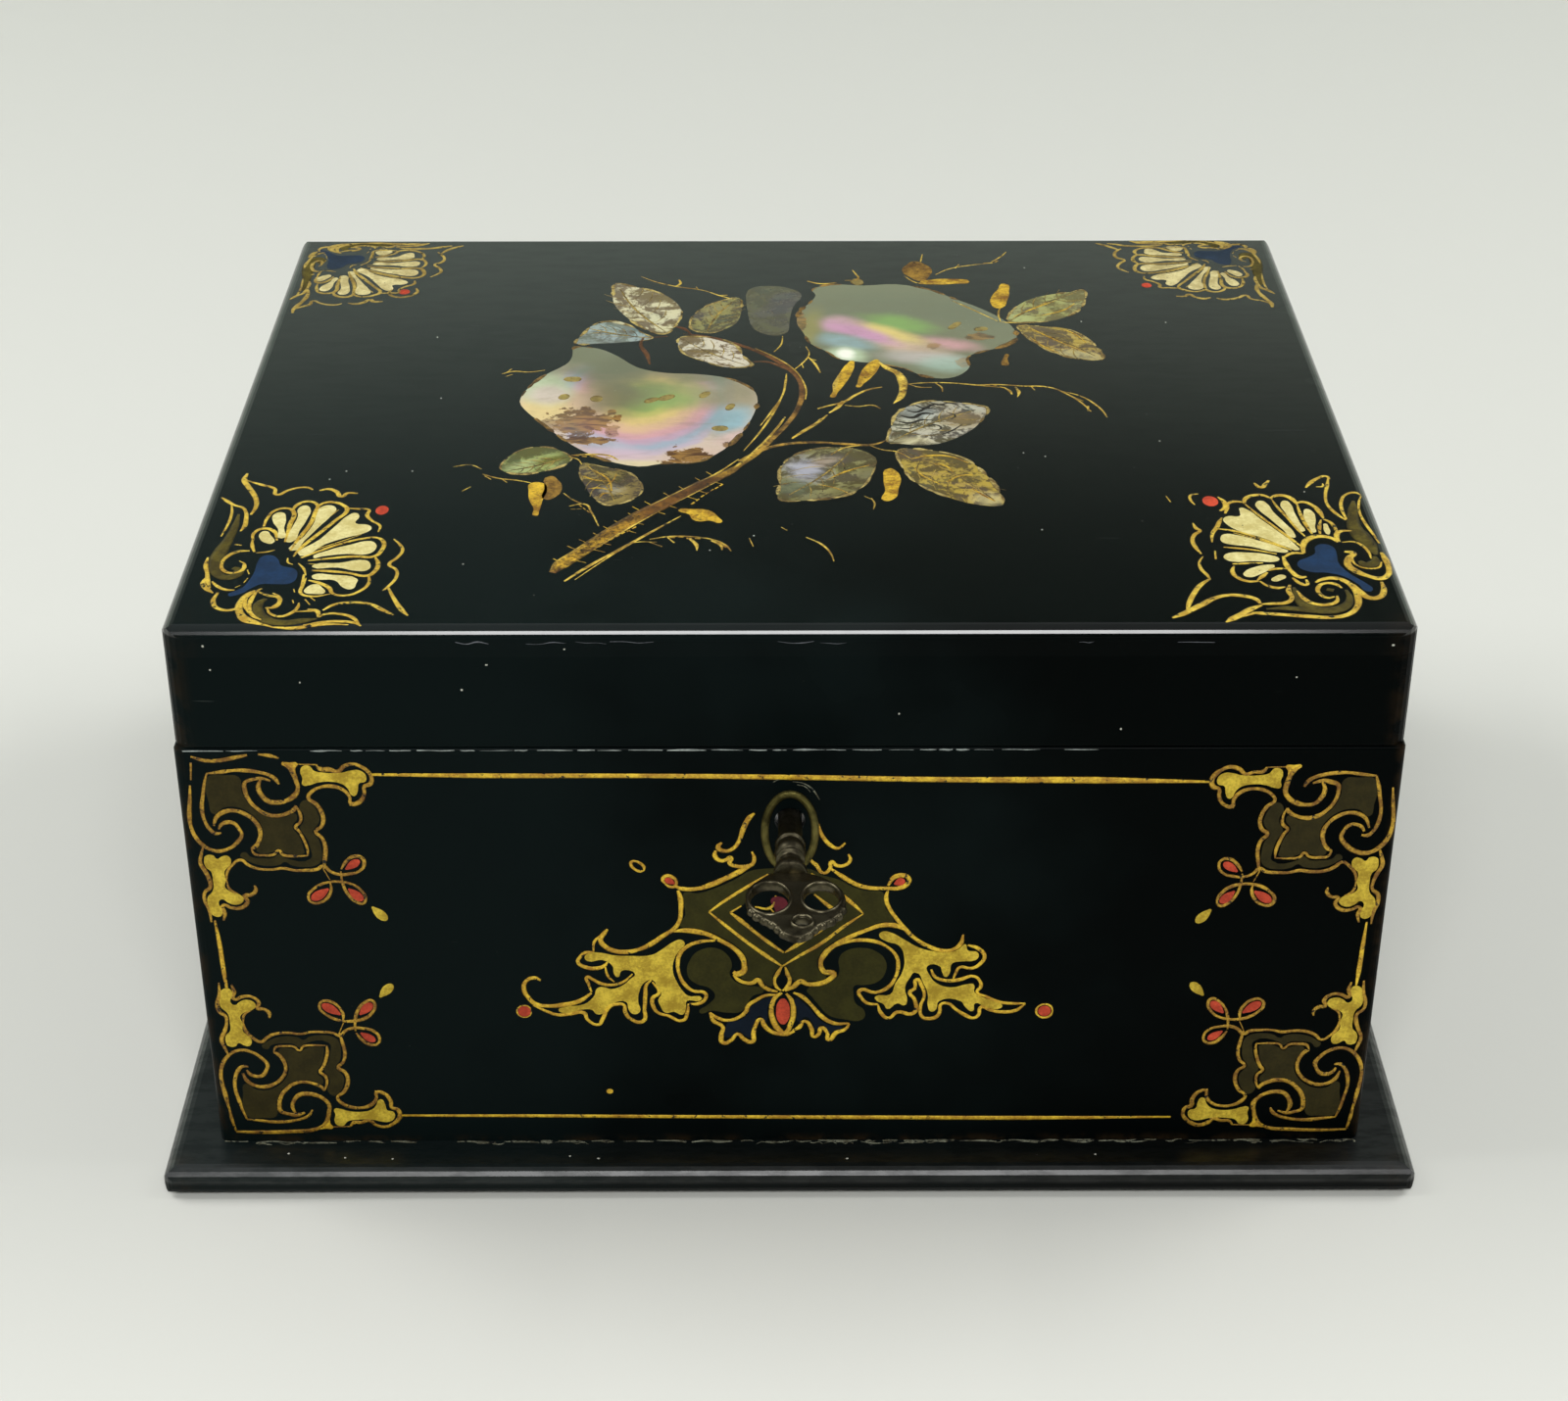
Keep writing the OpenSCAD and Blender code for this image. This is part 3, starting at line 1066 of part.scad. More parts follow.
// Bell-crank lever that stops the fly; its handle reaches into the side compartment
lever_z = fly_z + 2;
lever_t = 1.2;
lever_pin_r = 1.2;
lever_w = 2;
lever_tip = [worm_x + fly_r + 0.9 + lever_w / 2, worm_y] - [lever_x, lever_y];
lever_handle = 20;
lever_knob_r = 2.5;
lever_swing = 16;                 // degrees from free to stopped
module bar(p, q, w) {
    v = (q - p) / norm(q - p) * w / 2;
    n = [-v[1], v[0]];
    polygon([p + n, p - n, q - n, q + n]);
}
module stop_lever() {
    color("steelblue") translate([lever_x, lever_y, lever_z + 0.05]) difference() {
        union() {
                cylinder(r = lever_boss_r, h = lever_t);
            linear_extrude(lever_t) bar([0, 0], lever_tip, lever_w);
            linear_extrude(lever_t) bar([0, 0], [lever_handle, 0], lever_w);
            translate([lever_handle, 0, 0]) cylinder(r = lever_knob_r, h = 6);
        }
        translate([0, 0, -cut]) cylinder(r = lever_pin_r + run_gap, h = lever_t + 2 * cut);
    }
}
module lever_slot() {
    drop = (side_x + lining_t - lever_x) * sin(lever_swing);
    box([divider_x - cut, lever_y - lever_w / 2 - drop - lever_slot_clear, lever_z - lever_slot_clear],
        [side_x + lining_t + cut, lever_y + lever_w / 2 + lever_slot_clear,
            lever_z + lever_t + lever_slot_clear]);
}

base_board();
plinth_front();
plinth_back();
plinth_left();
plinth_right();
case_front();
case_back();
case_left();
case_right();
partition();
side_divider();
compartment_lining();
side_lining();
cover_frame();
cover_glass();
cover_screws();
lock_case();
lock_backplate();
escutcheon();
case_hinge_leaves();
hinge_pins();
case_screws();
lid_top();
lid_front();
lid_back();
lid_left();
lid_right();
lid_lining();
pearl_roses();
pearl_leaves();
link_plate();
lid_hinge_leaves();
lid_screws();
lock_key();
lock_bolt();
bed_plate();
bed_screws();
comb_base();
comb();
comb_screws();
barrel_bridge();
bridge_screws();
cylinder_cock();
governor_frame();
frame_screws();
winding_arbor();
ratchet_wheel();
winding_key();
click();
spring_barrel();
barrel_cap();
mainspring();
music_cylinder();
cylinder_pins();
cylinder_arbor();
great_wheel();
governor_arbor();
fly_spindle();
stop_lever();
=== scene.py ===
"""A lacquered wind up music box: finishes, painted ornament, mother-of-pearl and the lock key."""

import json
import math
import random

import bmesh
import bpy
from mathutils import Matrix, Vector


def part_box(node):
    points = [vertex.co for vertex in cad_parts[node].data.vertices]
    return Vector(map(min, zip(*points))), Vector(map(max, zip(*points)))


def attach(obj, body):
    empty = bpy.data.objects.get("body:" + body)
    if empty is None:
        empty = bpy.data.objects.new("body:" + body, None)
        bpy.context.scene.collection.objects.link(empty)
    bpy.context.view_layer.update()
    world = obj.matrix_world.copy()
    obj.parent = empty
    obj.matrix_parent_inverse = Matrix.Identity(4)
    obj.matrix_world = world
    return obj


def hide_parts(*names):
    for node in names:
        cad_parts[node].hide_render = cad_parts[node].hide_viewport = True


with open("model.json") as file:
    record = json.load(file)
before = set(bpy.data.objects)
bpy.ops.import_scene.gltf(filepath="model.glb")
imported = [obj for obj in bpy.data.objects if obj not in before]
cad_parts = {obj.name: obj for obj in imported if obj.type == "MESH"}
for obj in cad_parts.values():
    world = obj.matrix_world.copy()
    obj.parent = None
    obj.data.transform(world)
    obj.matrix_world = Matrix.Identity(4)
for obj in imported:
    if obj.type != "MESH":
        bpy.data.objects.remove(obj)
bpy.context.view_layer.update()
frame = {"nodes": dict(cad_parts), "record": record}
nodes = frame["nodes"]

MM = 0.001
# The case in mm, from its own pieces
LID_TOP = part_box("lid_top")[1].z / MM
LID_HALF_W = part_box("lid_top")[1].x / MM
LID_HALF_D = -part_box("lid_top")[0].y / MM
LID_EDGE = 2.5  # radius of the lid's upper edges
PLINTH_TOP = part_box("plinth_front")[1].z / MM
FRONT_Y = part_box("case_front")[0].y / MM
CASE_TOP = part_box("case_front")[1].z / MM

# The camera and the room, in metres and degrees
CAMERA_PLACE = (-0.002914, -0.585685, 0.399774)
CAMERA_DIP, CAMERA_TURN = 30.471, -0.2042
CAMERA_LENS, CAMERA_SENSOR = 67.285, 36
FLOOR_Z = -0.0002
ROOM_R, ROOM_H, WALL_CURVE = 1.5, 1.4, 0.3
CURVE_STEPS, ROUND_STEPS = 12, 64  # of the wall's curve, and round the room
ROOM_WELD = 1e-5
# Name, place, target, size and watts of each lamp
LAMPS = [
    ("window", (0, -0.95, 0.98), (0, -0.1, 0.12), (0.56, 0.3), 9),
    ("left_window", (-1.05, 0.2, 1.2), (0, 0.2, 0.05), (0.9, 0.9), 12.8),
    ("right_window", (1.05, 0.25, 1.2), (0, 0.2, 0.05), (0.9, 0.9), 11.2),
]
SKY_COLOR, SKY_STRENGTH = (0.9, 0.95, 0.93, 1), 0.36

# ---------- camera, light and room ----------


def add_camera():
    """Camera in front of the case, looking down on it."""
    data = bpy.data.cameras.new("camera")
    data.sensor_width = CAMERA_SENSOR
    data.lens = CAMERA_LENS
    data.clip_start = 0.05
    camera = bpy.data.objects.new("camera", data)
    bpy.context.scene.collection.objects.link(camera)
    camera.location = CAMERA_PLACE
    camera.rotation_euler = (math.radians(90 - CAMERA_DIP), 0, math.radians(CAMERA_TURN))
    bpy.context.scene.camera = camera


def add_lamp(name, place, target, size, watts):
    """Rectangular lamp at a place, turned towards its target."""
    data = bpy.data.lights.new(name, "AREA")
    data.shape = "RECTANGLE"
    data.size, data.size_y = size
    data.energy = watts
    lamp = bpy.data.objects.new(name, data)
    bpy.context.scene.collection.objects.link(lamp)
    lamp.location = place
    lamp.rotation_euler = (Vector(target) - Vector(place)).to_track_quat("-Z", "Y").to_euler()


def add_bowl():
    """Floor that curves up into a wall all round, dark towards its top."""
    bm = bmesh.new()
    profile = [(0, FLOOR_Z), (0.5, FLOOR_Z), (ROOM_R - WALL_CURVE, FLOOR_Z)]
    for k in range(1, CURVE_STEPS + 1):
        a = math.radians(90 * k / CURVE_STEPS)
        profile.append((ROOM_R - WALL_CURVE * (1 - math.sin(a)), FLOOR_Z + WALL_CURVE * (1 - math.cos(a))))
    profile.append((ROOM_R, ROOM_H))
    verts = [bm.verts.new((r, 0, z)) for r, z in profile]
    edges = [bm.edges.new(pair) for pair in zip(verts, verts[1:])]
    bmesh.ops.spin(bm, geom=verts + edges, cent=(0, 0, 0), axis=(0, 0, 1), angle=math.tau, steps=ROUND_STEPS)
    bmesh.ops.remove_doubles(bm, verts=bm.verts, dist=ROOM_WELD)
    bmesh.ops.recalc_face_normals(bm, faces=bm.faces)
    if max(bm.faces, key=lambda f: f.calc_area()).normal.z < 0:
        bmesh.ops.reverse_faces(bm, faces=bm.faces)
    return object_from(bm, "bowl", True)


def object_from(bm, name, smooth=False):
    """Mesh object made from bm; smooth rounds the shading of all its faces."""
    mesh = bpy.data.meshes.new(name)
    bm.to_mesh(mesh)
    bm.free()
    if smooth:
        for face in mesh.polygons:
            face.use_smooth = True
    obj = bpy.data.objects.new(name, mesh)
    bpy.context.scene.collection.objects.link(obj)
    return obj


# ---------- node helpers ----------


class Tree:
    """Short words for making and joining shader nodes."""

    def __init__(self, tree):
        self.tree = tree

    def add(self, kind, inputs=None, **settings):
        """New node with its settings and inputs."""
        node = self.tree.nodes.new(kind)
        for key, value in settings.items():
            setattr(node, key, value)
        for key, value in (inputs or {}).items():
            self.put(node.inputs[key], value)
        return node

    def put(self, socket, value):
        """Joins a socket to another one, or gives it a plain value."""
        if isinstance(value, bpy.types.NodeSocket):
            self.tree.links.new(value, socket)
        elif isinstance(value, tuple) and len(value) == 3 and socket.type == "RGBA":
            socket.default_value = (*value, 1)
        else:
            socket.default_value = value

    def math(self, operation, a, b=0.0):
        """Result of a math node; b is not used by one-sided operations."""
        return self.add("ShaderNodeMath", {0: a, 1: b}, operation=operation).outputs[0]

    def mix(self, factor, a, b):
        """Colour a where factor is 0, b where it is 1."""
        node = self.add("ShaderNodeMix", data_type="RGBA")
        self.put(node.inputs[0], factor)
        self.put(node.inputs[6], a)
        self.put(node.inputs[7], b)
        return node.outputs[2]

    def ramp(self, factor, stops, interpolation="LINEAR"):
        """Colour that follows stops: (position, eye colour)."""
        node = self.add("ShaderNodeValToRGB", {0: factor})
        ramp = node.color_ramp
        ramp.interpolation = interpolation
        while len(ramp.elements) < len(stops):
            ramp.elements.new(0.5)
        for element, (position, color) in zip(ramp.elements, stops):
            element.position = position
            element.color = (*srgb(*color), 1)
        return node.outputs[0]

    def step(self, value, low, high):
        """0 below low, 1 above high; falls instead where low is above high."""
        node = self.add("ShaderNodeMapRange", {0: value, 1: low, 2: high}, interpolation_type="SMOOTHSTEP")
        if low > high:
            node.inputs[1].default_value, node.inputs[2].default_value = high, low
            node.inputs[3].default_value, node.inputs[4].default_value = 1, 0
        return node.outputs[0]

    def noise(self, vector, scale, detail=3.0, roughness=0.55, distortion=0.0):
        """Noise with its scale in waves per millimetre."""
        inputs = {"Vector": vector, "Scale": scale / MM, "Detail": detail, "Roughness": roughness}
        return self.add("ShaderNodeTexNoise", {**inputs, "Distortion": distortion}).outputs[0]

    def place(self):
        """Place in metres in the part's own frame."""
        return self.add("ShaderNodeTexCoord").outputs["Object"]

    def axes(self, vector):
        """The X, Y and Z of a vector."""
        return self.add("ShaderNodeSeparateXYZ", {0: vector}).outputs

    def stretched(self, vector, scale):
        """Vector scaled per axis; a small scale draws a pattern out."""
        return self.add("ShaderNodeMapping", {"Vector": vector, "Scale": scale}).outputs[0]

    def bump(self, height, distance, strength=1.0):
        """Relief whose full height is distance in mm."""
        return self.add(
            "ShaderNodeBump", {"Height": height, "Distance": distance * MM, "Strength": strength}
        ).outputs[0]


def new_group(name, inputs, outputs):
    """Node group from (name, kind) pairs: its tree, and the sockets to read and to fill."""
    tree = bpy.data.node_groups.new(name, "ShaderNodeTree")
    kinds = {"value": "NodeSocketFloat", "color": "NodeSocketColor"}
    for key, kind in inputs:
        tree.interface.new_socket(name=key, in_out="INPUT", socket_type=kinds[kind])
    for key, kind in outputs:
        tree.interface.new_socket(name=key, in_out="OUTPUT", socket_type=kinds[kind])
    t = Tree(tree)
    return t, t.add("NodeGroupInput").outputs, t.add("NodeGroupOutput").inputs


def new_material(name, finish):
    """Material with a Principled shader; finish sets its plain values."""
    material = bpy.data.materials.new(name)
    material.use_nodes = True
    t = Tree(material.node_tree)
    shader = material.node_tree.nodes["Principled BSDF"]
    for key, value in finish.items():
        t.put(shader.inputs[key], value)
    return material, t, shader


def use_group(t, group, **values):
    """Places a node group with these inputs; returns its outputs."""
    node = t.add("ShaderNodeGroup", node_tree=group.tree)
    for key, value in values.items():
        t.put(node.inputs[key], value)
    return node.outputs


def srgb(r, g, b):
    """Linear colour of an eye colour from 0 to 255."""
    return tuple(((c / 255 + 0.055) / 1.055) ** 2.4 if c > 10 else c / 255 / 12.92 for c in (r, g, b))


# ---------- finishes ----------

LACQUER = (0.0008, 0.0016, 0.0015)
LACQUER_CLOUD = srgb(12, 20, 20)
OLD_BROWN = srgb(52, 38, 22)
DUST = srgb(150, 150, 140)
SCRATCH = srgb(90, 96, 92)
# Painted shade: the lacquer darkens towards the right, the side further from the light.
PAINTED_SHADE_SPAN = 320  # mm over which the lacquer darkens towards the right
VELVET_DARK, VELVET_LIGHT, VELVET_SHADE = srgb(94, 12, 20), srgb(120, 20, 30), srgb(52, 4, 10)
VELVET_SHEEN = (0.9, 0.35, 0.38, 1)
ROSE_DULL, ROSE_CLOUD = srgb(120, 124, 97), srgb(112, 110, 84)
ROSE_GRAIN, ROSE_SPECK = srgb(124, 120, 94), srgb(176, 172, 150)
ROSE_ROT_DARK, ROSE_ROT_LIGHT = srgb(80, 50, 24), srgb(148, 110, 52)
LEAF_EDGE, LEAF_ROT = srgb(70, 56, 28), srgb(86, 64, 30)
# The left rose: its middle and half sizes in mm, and its colours from there outwards
LEFT_RINGS_MIDDLE, LEFT_RINGS_REACH = (-32, 5), (21, 30)
LEFT_RINGS = [
    (0.0, (138, 160, 96)), (0.22, (146, 168, 92)), (0.32, (186, 184, 104)), (0.43, (218, 192, 124)),
    (0.55, (220, 182, 146)), (0.68, (212, 162, 166)), (0.76, (194, 162, 180)), (0.85, (162, 174, 188)),
    (0.93, (192, 178, 190)), (1.0, (210, 190, 172)),
]
# Soft places of colour on the roses, one of them a painted highlight: middle, half sizes in mm, turn, colour,
# strength
ROSE_SPOTS = [
    ((-24, 7), (14, 10), 0, (136, 150, 98), 0.8), ((-26, 3), (7, 5), 0, (140, 172, 96), 0.5),
    ((-11, 6), (9, 12), 0, (150, 142, 112), 0.85), ((-12.5, -7), (6, 10), -15, (142, 182, 194), 0.9),
    ((-11, -15), (7, 4), 40, (218, 188, 178), 0.85), ((-20, -25), (10, 5), 20, (216, 186, 168), 0.7),
    ((-36, -24), (11, 6), -25, (208, 182, 194), 0.75), ((-41, -17), (9, 4), -30, (184, 186, 198), 0.7),
    ((-30, -28.5), (14, 2.6), -5, (226, 212, 158), 0.7), ((-47, 2), (10, 12), 0, (204, 176, 146), 1.0),
    ((-54, -2), (9, 9), -40, (232, 208, 144), 0.9), ((-54, 12), (8, 12), 20, (190, 204, 166), 0.95),
    ((-52.5, 7), (5, 6), 0, (218, 198, 186), 0.8), ((-38, 7), (10, 15), 0, (114, 108, 82), 0.9),
    ((-38, 22), (18, 17), 0, (112, 116, 92), 1.0), ((-47, 29), (11, 13), 0, (120, 124, 98), 1.0),
    ((-20, 18), (17, 7), -8, (120, 124, 92), 0.85),
    ((34, 54), (36, 12), -8, (112, 118, 94), 0.85), ((26, 45.5), (13, 7), -28, (130, 166, 92), 0.95),
    ((27, 34), (15, 6.5), -28, (208, 180, 156), 0.95), ((37, 34.5), (12, 5), -22, (210, 160, 162), 0.95),
    ((24, 40), (17, 4.6), -33, (220, 198, 122), 1.0), ((12.5, 46), (7, 6), 0, (200, 160, 172), 0.9),
    ((18, 40), (14, 4.2), -36, (202, 150, 182), 0.95),
    ((14, 35.5), (10, 5), -25, (146, 172, 174), 0.9), ((31, 27), (13, 5), -10, (188, 180, 172), 0.85),
    ((36, 23.5), (8, 6), 0, (164, 188, 172), 0.75), ((13, 28), (6, 6), 0, (194, 212, 176), 0.95),
    # The near-white spot at (13.4, 29) on the right rose is a painted highlight.
    ((13.4, 29), (2.4, 3.8), 6, (252, 254, 236), 1.0), ((4.5, 42), (4, 16), -10, (144, 138, 82), 0.9),
]
# Worn places of the roses: middle, half sizes in mm, strength
ROSE_WEAR = [
    ((-45, -8), (6, 7.5), 0.85), ((-21.5, -24.5), (4.4, 4), 1.0), ((-43, -17), (6, 2), 0.95),
    ((-50, -9), (3.4, 4), 0.6), ((-37, -5.4), (0.9, 2), 1.0), ((-38.4, -2.4), (1, 1.4), 0.8),
    ((-12, -19), (3, 1.6), 0.9), ((-38, -12), (1.6, 3), 0.6), ((44, 38.5), (2.6, 2), 0.7),
    ((33.5, 33.5), (1.4, 1.8), 0.6), ((40, 24), (2, 3), 0.5), ((2.6, 46), (1.5, 7), 0.7),
]
# Faint play of colour over all leaves
LEAF_SHEEN = [
    (0.3, (150, 168, 150)), (0.45, (176, 160, 110)), (0.6, (170, 150, 160)), (0.7, (120, 150, 160)),
]
# Light and dark of each leaf, in the order of LEAF_RIBS
LEAF_TINTS = [
    ((216, 210, 166), (104, 88, 46)), ((150, 168, 164), (104, 118, 110)),
    ((216, 208, 184), (108, 86, 54)), ((136, 130, 68), (62, 54, 24)),
    ((66, 70, 50), (46, 50, 38)), ((156, 158, 88), (92, 84, 26)),
    ((178, 152, 56), (76, 60, 16)), ((190, 186, 162), (70, 66, 48)),
    ((132, 130, 80), (64, 60, 26)), ((178, 152, 54), (76, 62, 18)),
    ((156, 168, 96), (84, 92, 40)), ((140, 122, 56), (50, 44, 20)),
]
# Soft places of colour on the leaves, as ROSE_SPOTS
LEAF_SPOTS = [
    ((3.5, -31), (5, 7), 20, (178, 178, 190), 0.85), ((8, -27), (5, 3), 30, (190, 170, 150), 0.6),
    ((1, -40), (5, 5), 0, (96, 104, 84), 0.7), ((28, -3), (6, 5), 0, (170, 180, 176), 0.6),
    ((26, -17), (5, 3), 0, (206, 196, 150), 0.7), ((38, -6), (6, 5), 0, (150, 124, 80), 0.6),
    ((41, -45), (4, 4), 0, (200, 186, 130), 0.7), ((66, 28), (7, 3), -20, (186, 178, 130), 0.6),
    ((54, 49.5), (4, 3), 0, (178, 186, 120), 0.6), ((-56, -29), (5, 3), 30, (176, 186, 132), 0.6),
    ((-50, -26.5), (5, 2), 30, (108, 104, 34), 0.7), ((-37, -40), (3, 3), 0, (176, 170, 150), 0.5),
]
STEM_FOOT, STEM_SPAN = -80, 120  # mm along Y
STEM_GOLD = [
    (0.0, (120, 70, 26)), (0.04, (230, 184, 52)), (0.17, (216, 168, 44)), (0.26, (126, 84, 28)),
    (0.35, (98, 62, 22)), (0.43, (190, 150, 50)), (0.55, (184, 144, 56)), (0.75, (138, 94, 46)),
    (1.0, (112, 68, 40)),
]


def make_worn_paint():
    """Brush paint that thins to dark lacquer in chips: colour, roughness, height."""
    t, i, o = new_group(
        "worn_paint",
        [("color", "color"), ("deep", "color"), ("mottle", "value"), ("chips", "value"),
         ("roughness", "value")],
        [("color", "color"), ("roughness", "value"), ("height", "value")],
    )
    where = t.place()
    broad = t.noise(where, 0.28, 3)
    fine = t.noise(where, 1.6, 4, 0.65)
    both = t.math("ADD", t.math("MULTIPLY", broad, 0.55), t.math("MULTIPLY", fine, 0.45))
    shade = t.step(both, 0.34, 0.62)
    paint = t.mix(t.math("MULTIPLY", shade, i["mottle"]), i["color"], i["deep"])
    chip = t.noise(where, 0.75, 5, 0.72, 0.4)
    edge = t.math("SUBTRACT", 1.0, i["chips"])
    chipped = t.add(
        "ShaderNodeMapRange", {0: chip, 1: edge, 2: t.math("ADD", edge, 0.035)},
        interpolation_type="SMOOTHSTEP",
    ).outputs[0]
    t.put(o["color"], t.mix(chipped, paint, LACQUER))
    t.put(o["roughness"], t.math("ADD", i["roughness"], t.math("MULTIPLY", fine, 0.12)))
    t.put(o["height"], t.math("SUBTRACT", fine, chipped))
    return t


def make_lacquer_wear_and_shade():
    """Brush lines, specks, scratches and rubbed places of old lacquer, and painted shade that darkens it
    towards the right.
    """
    t, i, o = new_group(
        "lacquer_wear_and_shade",
        [("dust", "value"), ("rub", "value"), ("roughness", "value")],
        [("color", "color"), ("roughness", "value"), ("height", "value")],
    )
    where = t.place()
    clouds = t.noise(where, 0.012, 4, 0.6)
    streaks = t.noise(t.stretched(where, (0.06, 1, 1)), 0.5, 4, 0.6)
    # Painted shade: the clouds are shifted so that the lacquer darkens towards the right, away from the
    # light.
    painted_shade_across = t.math("DIVIDE", t.axes(where)["X"], PAINTED_SHADE_SPAN * MM)
    clouds_and_painted_shade = t.mix(t.step(t.math("SUBTRACT", clouds, painted_shade_across), 0.3, 0.7), LACQUER, LACQUER_CLOUD)
    specks = t.step(t.noise(where, 0.9, 2, 0.5), 0.79, 0.82)
    dusted = t.mix(t.math("MULTIPLY", specks, i["dust"]), clouds_and_painted_shade, DUST)
    scratch = t.step(t.noise(t.stretched(where, (0.035, 1, 1)), 1.1, 2, 0.5), 0.77, 0.8)
    scratched = t.mix(t.math("MULTIPLY", scratch, 0.25), dusted, SCRATCH)
    rubbed = t.math("MULTIPLY", t.step(t.noise(where, 0.11, 5, 0.7), 0.42, 0.62), i["rub"])
    t.put(o["color"], t.mix(rubbed, scratched, OLD_BROWN))
    rough = t.math("ADD", i["roughness"], t.math("MULTIPLY", t.math("SUBTRACT", clouds, 0.5), 0.16))
    t.put(o["roughness"], t.math("ADD", rough, t.math("MULTIPLY", rubbed, 0.2)))
    t.put(o["height"], t.math("ADD", streaks, t.math("MULTIPLY", specks, 0.6)))
    return t


def make_old_metal():
    """Tarnish clouds, fine turning lines and grime of old metal."""
    t, i, o = new_group(
        "old_metal",
        [("color", "color"), ("tarnish", "color"), ("amount", "value"), ("roughness", "value")],
        [("color", "color"), ("roughness", "value"), ("height", "value")],
    )
    where = t.place()
    clouds = t.noise(where, 0.18, 5, 0.65)
    fine = t.noise(where, 2.2, 3, 0.6)
    stain = t.math("MULTIPLY", t.step(clouds, 0.38, 0.66), i["amount"])
    grime = t.step(fine, 0.6, 0.75)
    color = t.mix(stain, i["color"], i["tarnish"])
    t.put(o["color"], t.mix(t.math("MULTIPLY", grime, 0.35), color, i["tarnish"]))
    rough = t.math("ADD", i["roughness"], t.math("MULTIPLY", stain, 0.22))
    t.put(o["roughness"], t.math("ADD", rough, t.math("MULTIPLY", fine, 0.08)))
    t.put(o["height"], t.math("ADD", fine, t.math("MULTIPLY", clouds, 0.5)))
    return t


worn_paint = make_worn_paint()
lacquer_wear_and_shade = make_lacquer_wear_and_shade()
old_metal = make_old_metal()


def paint(name, color, deep, mottle, chips, roughness=0.45, metal=0.0, level=0.3):
    """Brush paint; its colour may be a function that makes it from the place."""
    material, t, shader = new_material(name, {"Metallic": metal, "Specular IOR Level": level})
    color, deep = color(t) if callable(color) else srgb(*color), srgb(*deep)
    out = use_group(t, worn_paint, color=color, deep=deep, mottle=mottle, chips=chips, roughness=roughness)
    t.put(shader.inputs["Base Color"], out["color"])
    t.put(shader.inputs["Roughness"], out["roughness"])
    t.put(shader.inputs["Normal"], t.bump(out["height"], 0.02, 0.5))
    return material


def stem_color(t):
    """Gold at the cut end of the stem, dark brown in its middle, dull gold above."""
    y = t.axes(t.place())["Y"]
    along = t.math("DIVIDE", t.math("SUBTRACT", y, STEM_FOOT * MM), STEM_SPAN * MM)
    stray = t.math("MULTIPLY", t.math("SUBTRACT", t.noise(t.place(), 0.12, 3), 0.5), 0.25)
    return t.ramp(t.math("ADD", along, stray), STEM_GOLD)


def rub_mask(t, where, edges):
    """Nearness to worn arrises: each edge is two (axis, place, reach) distances in mm."""
    axes = t.axes(where)
    total = None
    for first, second in edges:
        near = None
        for axis, place, reach in (first, second):
            out = t.math("ABSOLUTE", axes["XYZ".index(axis)])
            away = t.math("ABSOLUTE", t.math("SUBTRACT", out, place * MM))
            close = t.step(away, reach * MM, 0.0)
            near = close if near is None else t.math("MULTIPLY", near, close)
        total = near if total is None else t.math("MAXIMUM", total, near)
    return total


def lacquer(name, edges, dust, roughness, level, rub=1.0, coat=None):
    """Old lacquer; coat is its gloss: weight, roughness, streaks, and the heights in mm where it comes in."""
    material, t, shader = new_material(name, {"Specular IOR Level": level})
    where = t.place()
    mask = t.math("MULTIPLY", rub_mask(t, where, edges), rub)
    out = use_group(t, lacquer_wear_and_shade, dust=dust, rub=mask, roughness=roughness)
    t.put(shader.inputs["Base Color"], out["color"])
    t.put(shader.inputs["Roughness"], out["roughness"])
    t.put(shader.inputs["Normal"], t.bump(out["height"], 0.03, 0.35))
    if coat:
        weight, coat_roughness, streaks, low, high = coat
        shader.inputs["Coat Roughness"].default_value = coat_roughness
        z = t.axes(where)["Z"]
        gloss = t.math("MULTIPLY", t.step(z, low * MM, high * MM), weight)
        dull = t.step(t.noise(t.stretched(where, (0.3, 1, 1)), 0.3, 5, 0.7), 0.42, 0.62)
        dull = t.math("SUBTRACT", 1.0, t.math("MULTIPLY", dull, streaks))
        t.put(shader.inputs["Coat Weight"], t.math("MULTIPLY", gloss, dull))
    return material


def metal(name, color, tarnish, amount, roughness, metallic=1.0, depth=0.02):
    """Old metal; amount is its share of tarnish, depth its relief in mm."""
    material, t, shader = new_material(name, {"Metallic": metallic})
    color, tarnish = srgb(*color), srgb(*tarnish)
    out = use_group(t, old_metal, color=color, tarnish=tarnish, amount=amount, roughness=roughness)
    t.put(shader.inputs["Base Color"], out["color"])
    t.put(shader.inputs["Roughness"], out["roughness"])
    t.put(shader.inputs["Normal"], t.bump(out["height"], depth, 0.4))
    return material


def wood(name, dark, light, axis_scale, roughness):
    """Wood whose grain runs along the axis with the small scale."""
    material, t, shader = new_material(name, {"Specular IOR Level": 0.4})
    where = t.stretched(t.place(), axis_scale)
    grain = t.noise(where, 0.35, 5, 0.62, 0.6)
    pores = t.noise(where, 1.8, 3, 0.7)
    dark, light = srgb(*dark), srgb(*light)
    color = t.mix(t.step(grain, 0.3, 0.7), dark, light)
    t.put(shader.inputs["Base Color"], t.mix(t.math("MULTIPLY", t.step(pores, 0.55, 0.7), 0.5), color, dark))
    t.put(shader.inputs["Roughness"], t.math("ADD", roughness, t.math("MULTIPLY", pores, 0.15)))
    t.put(shader.inputs["Normal"], t.bump(pores, 0.04, 0.4))
    return material


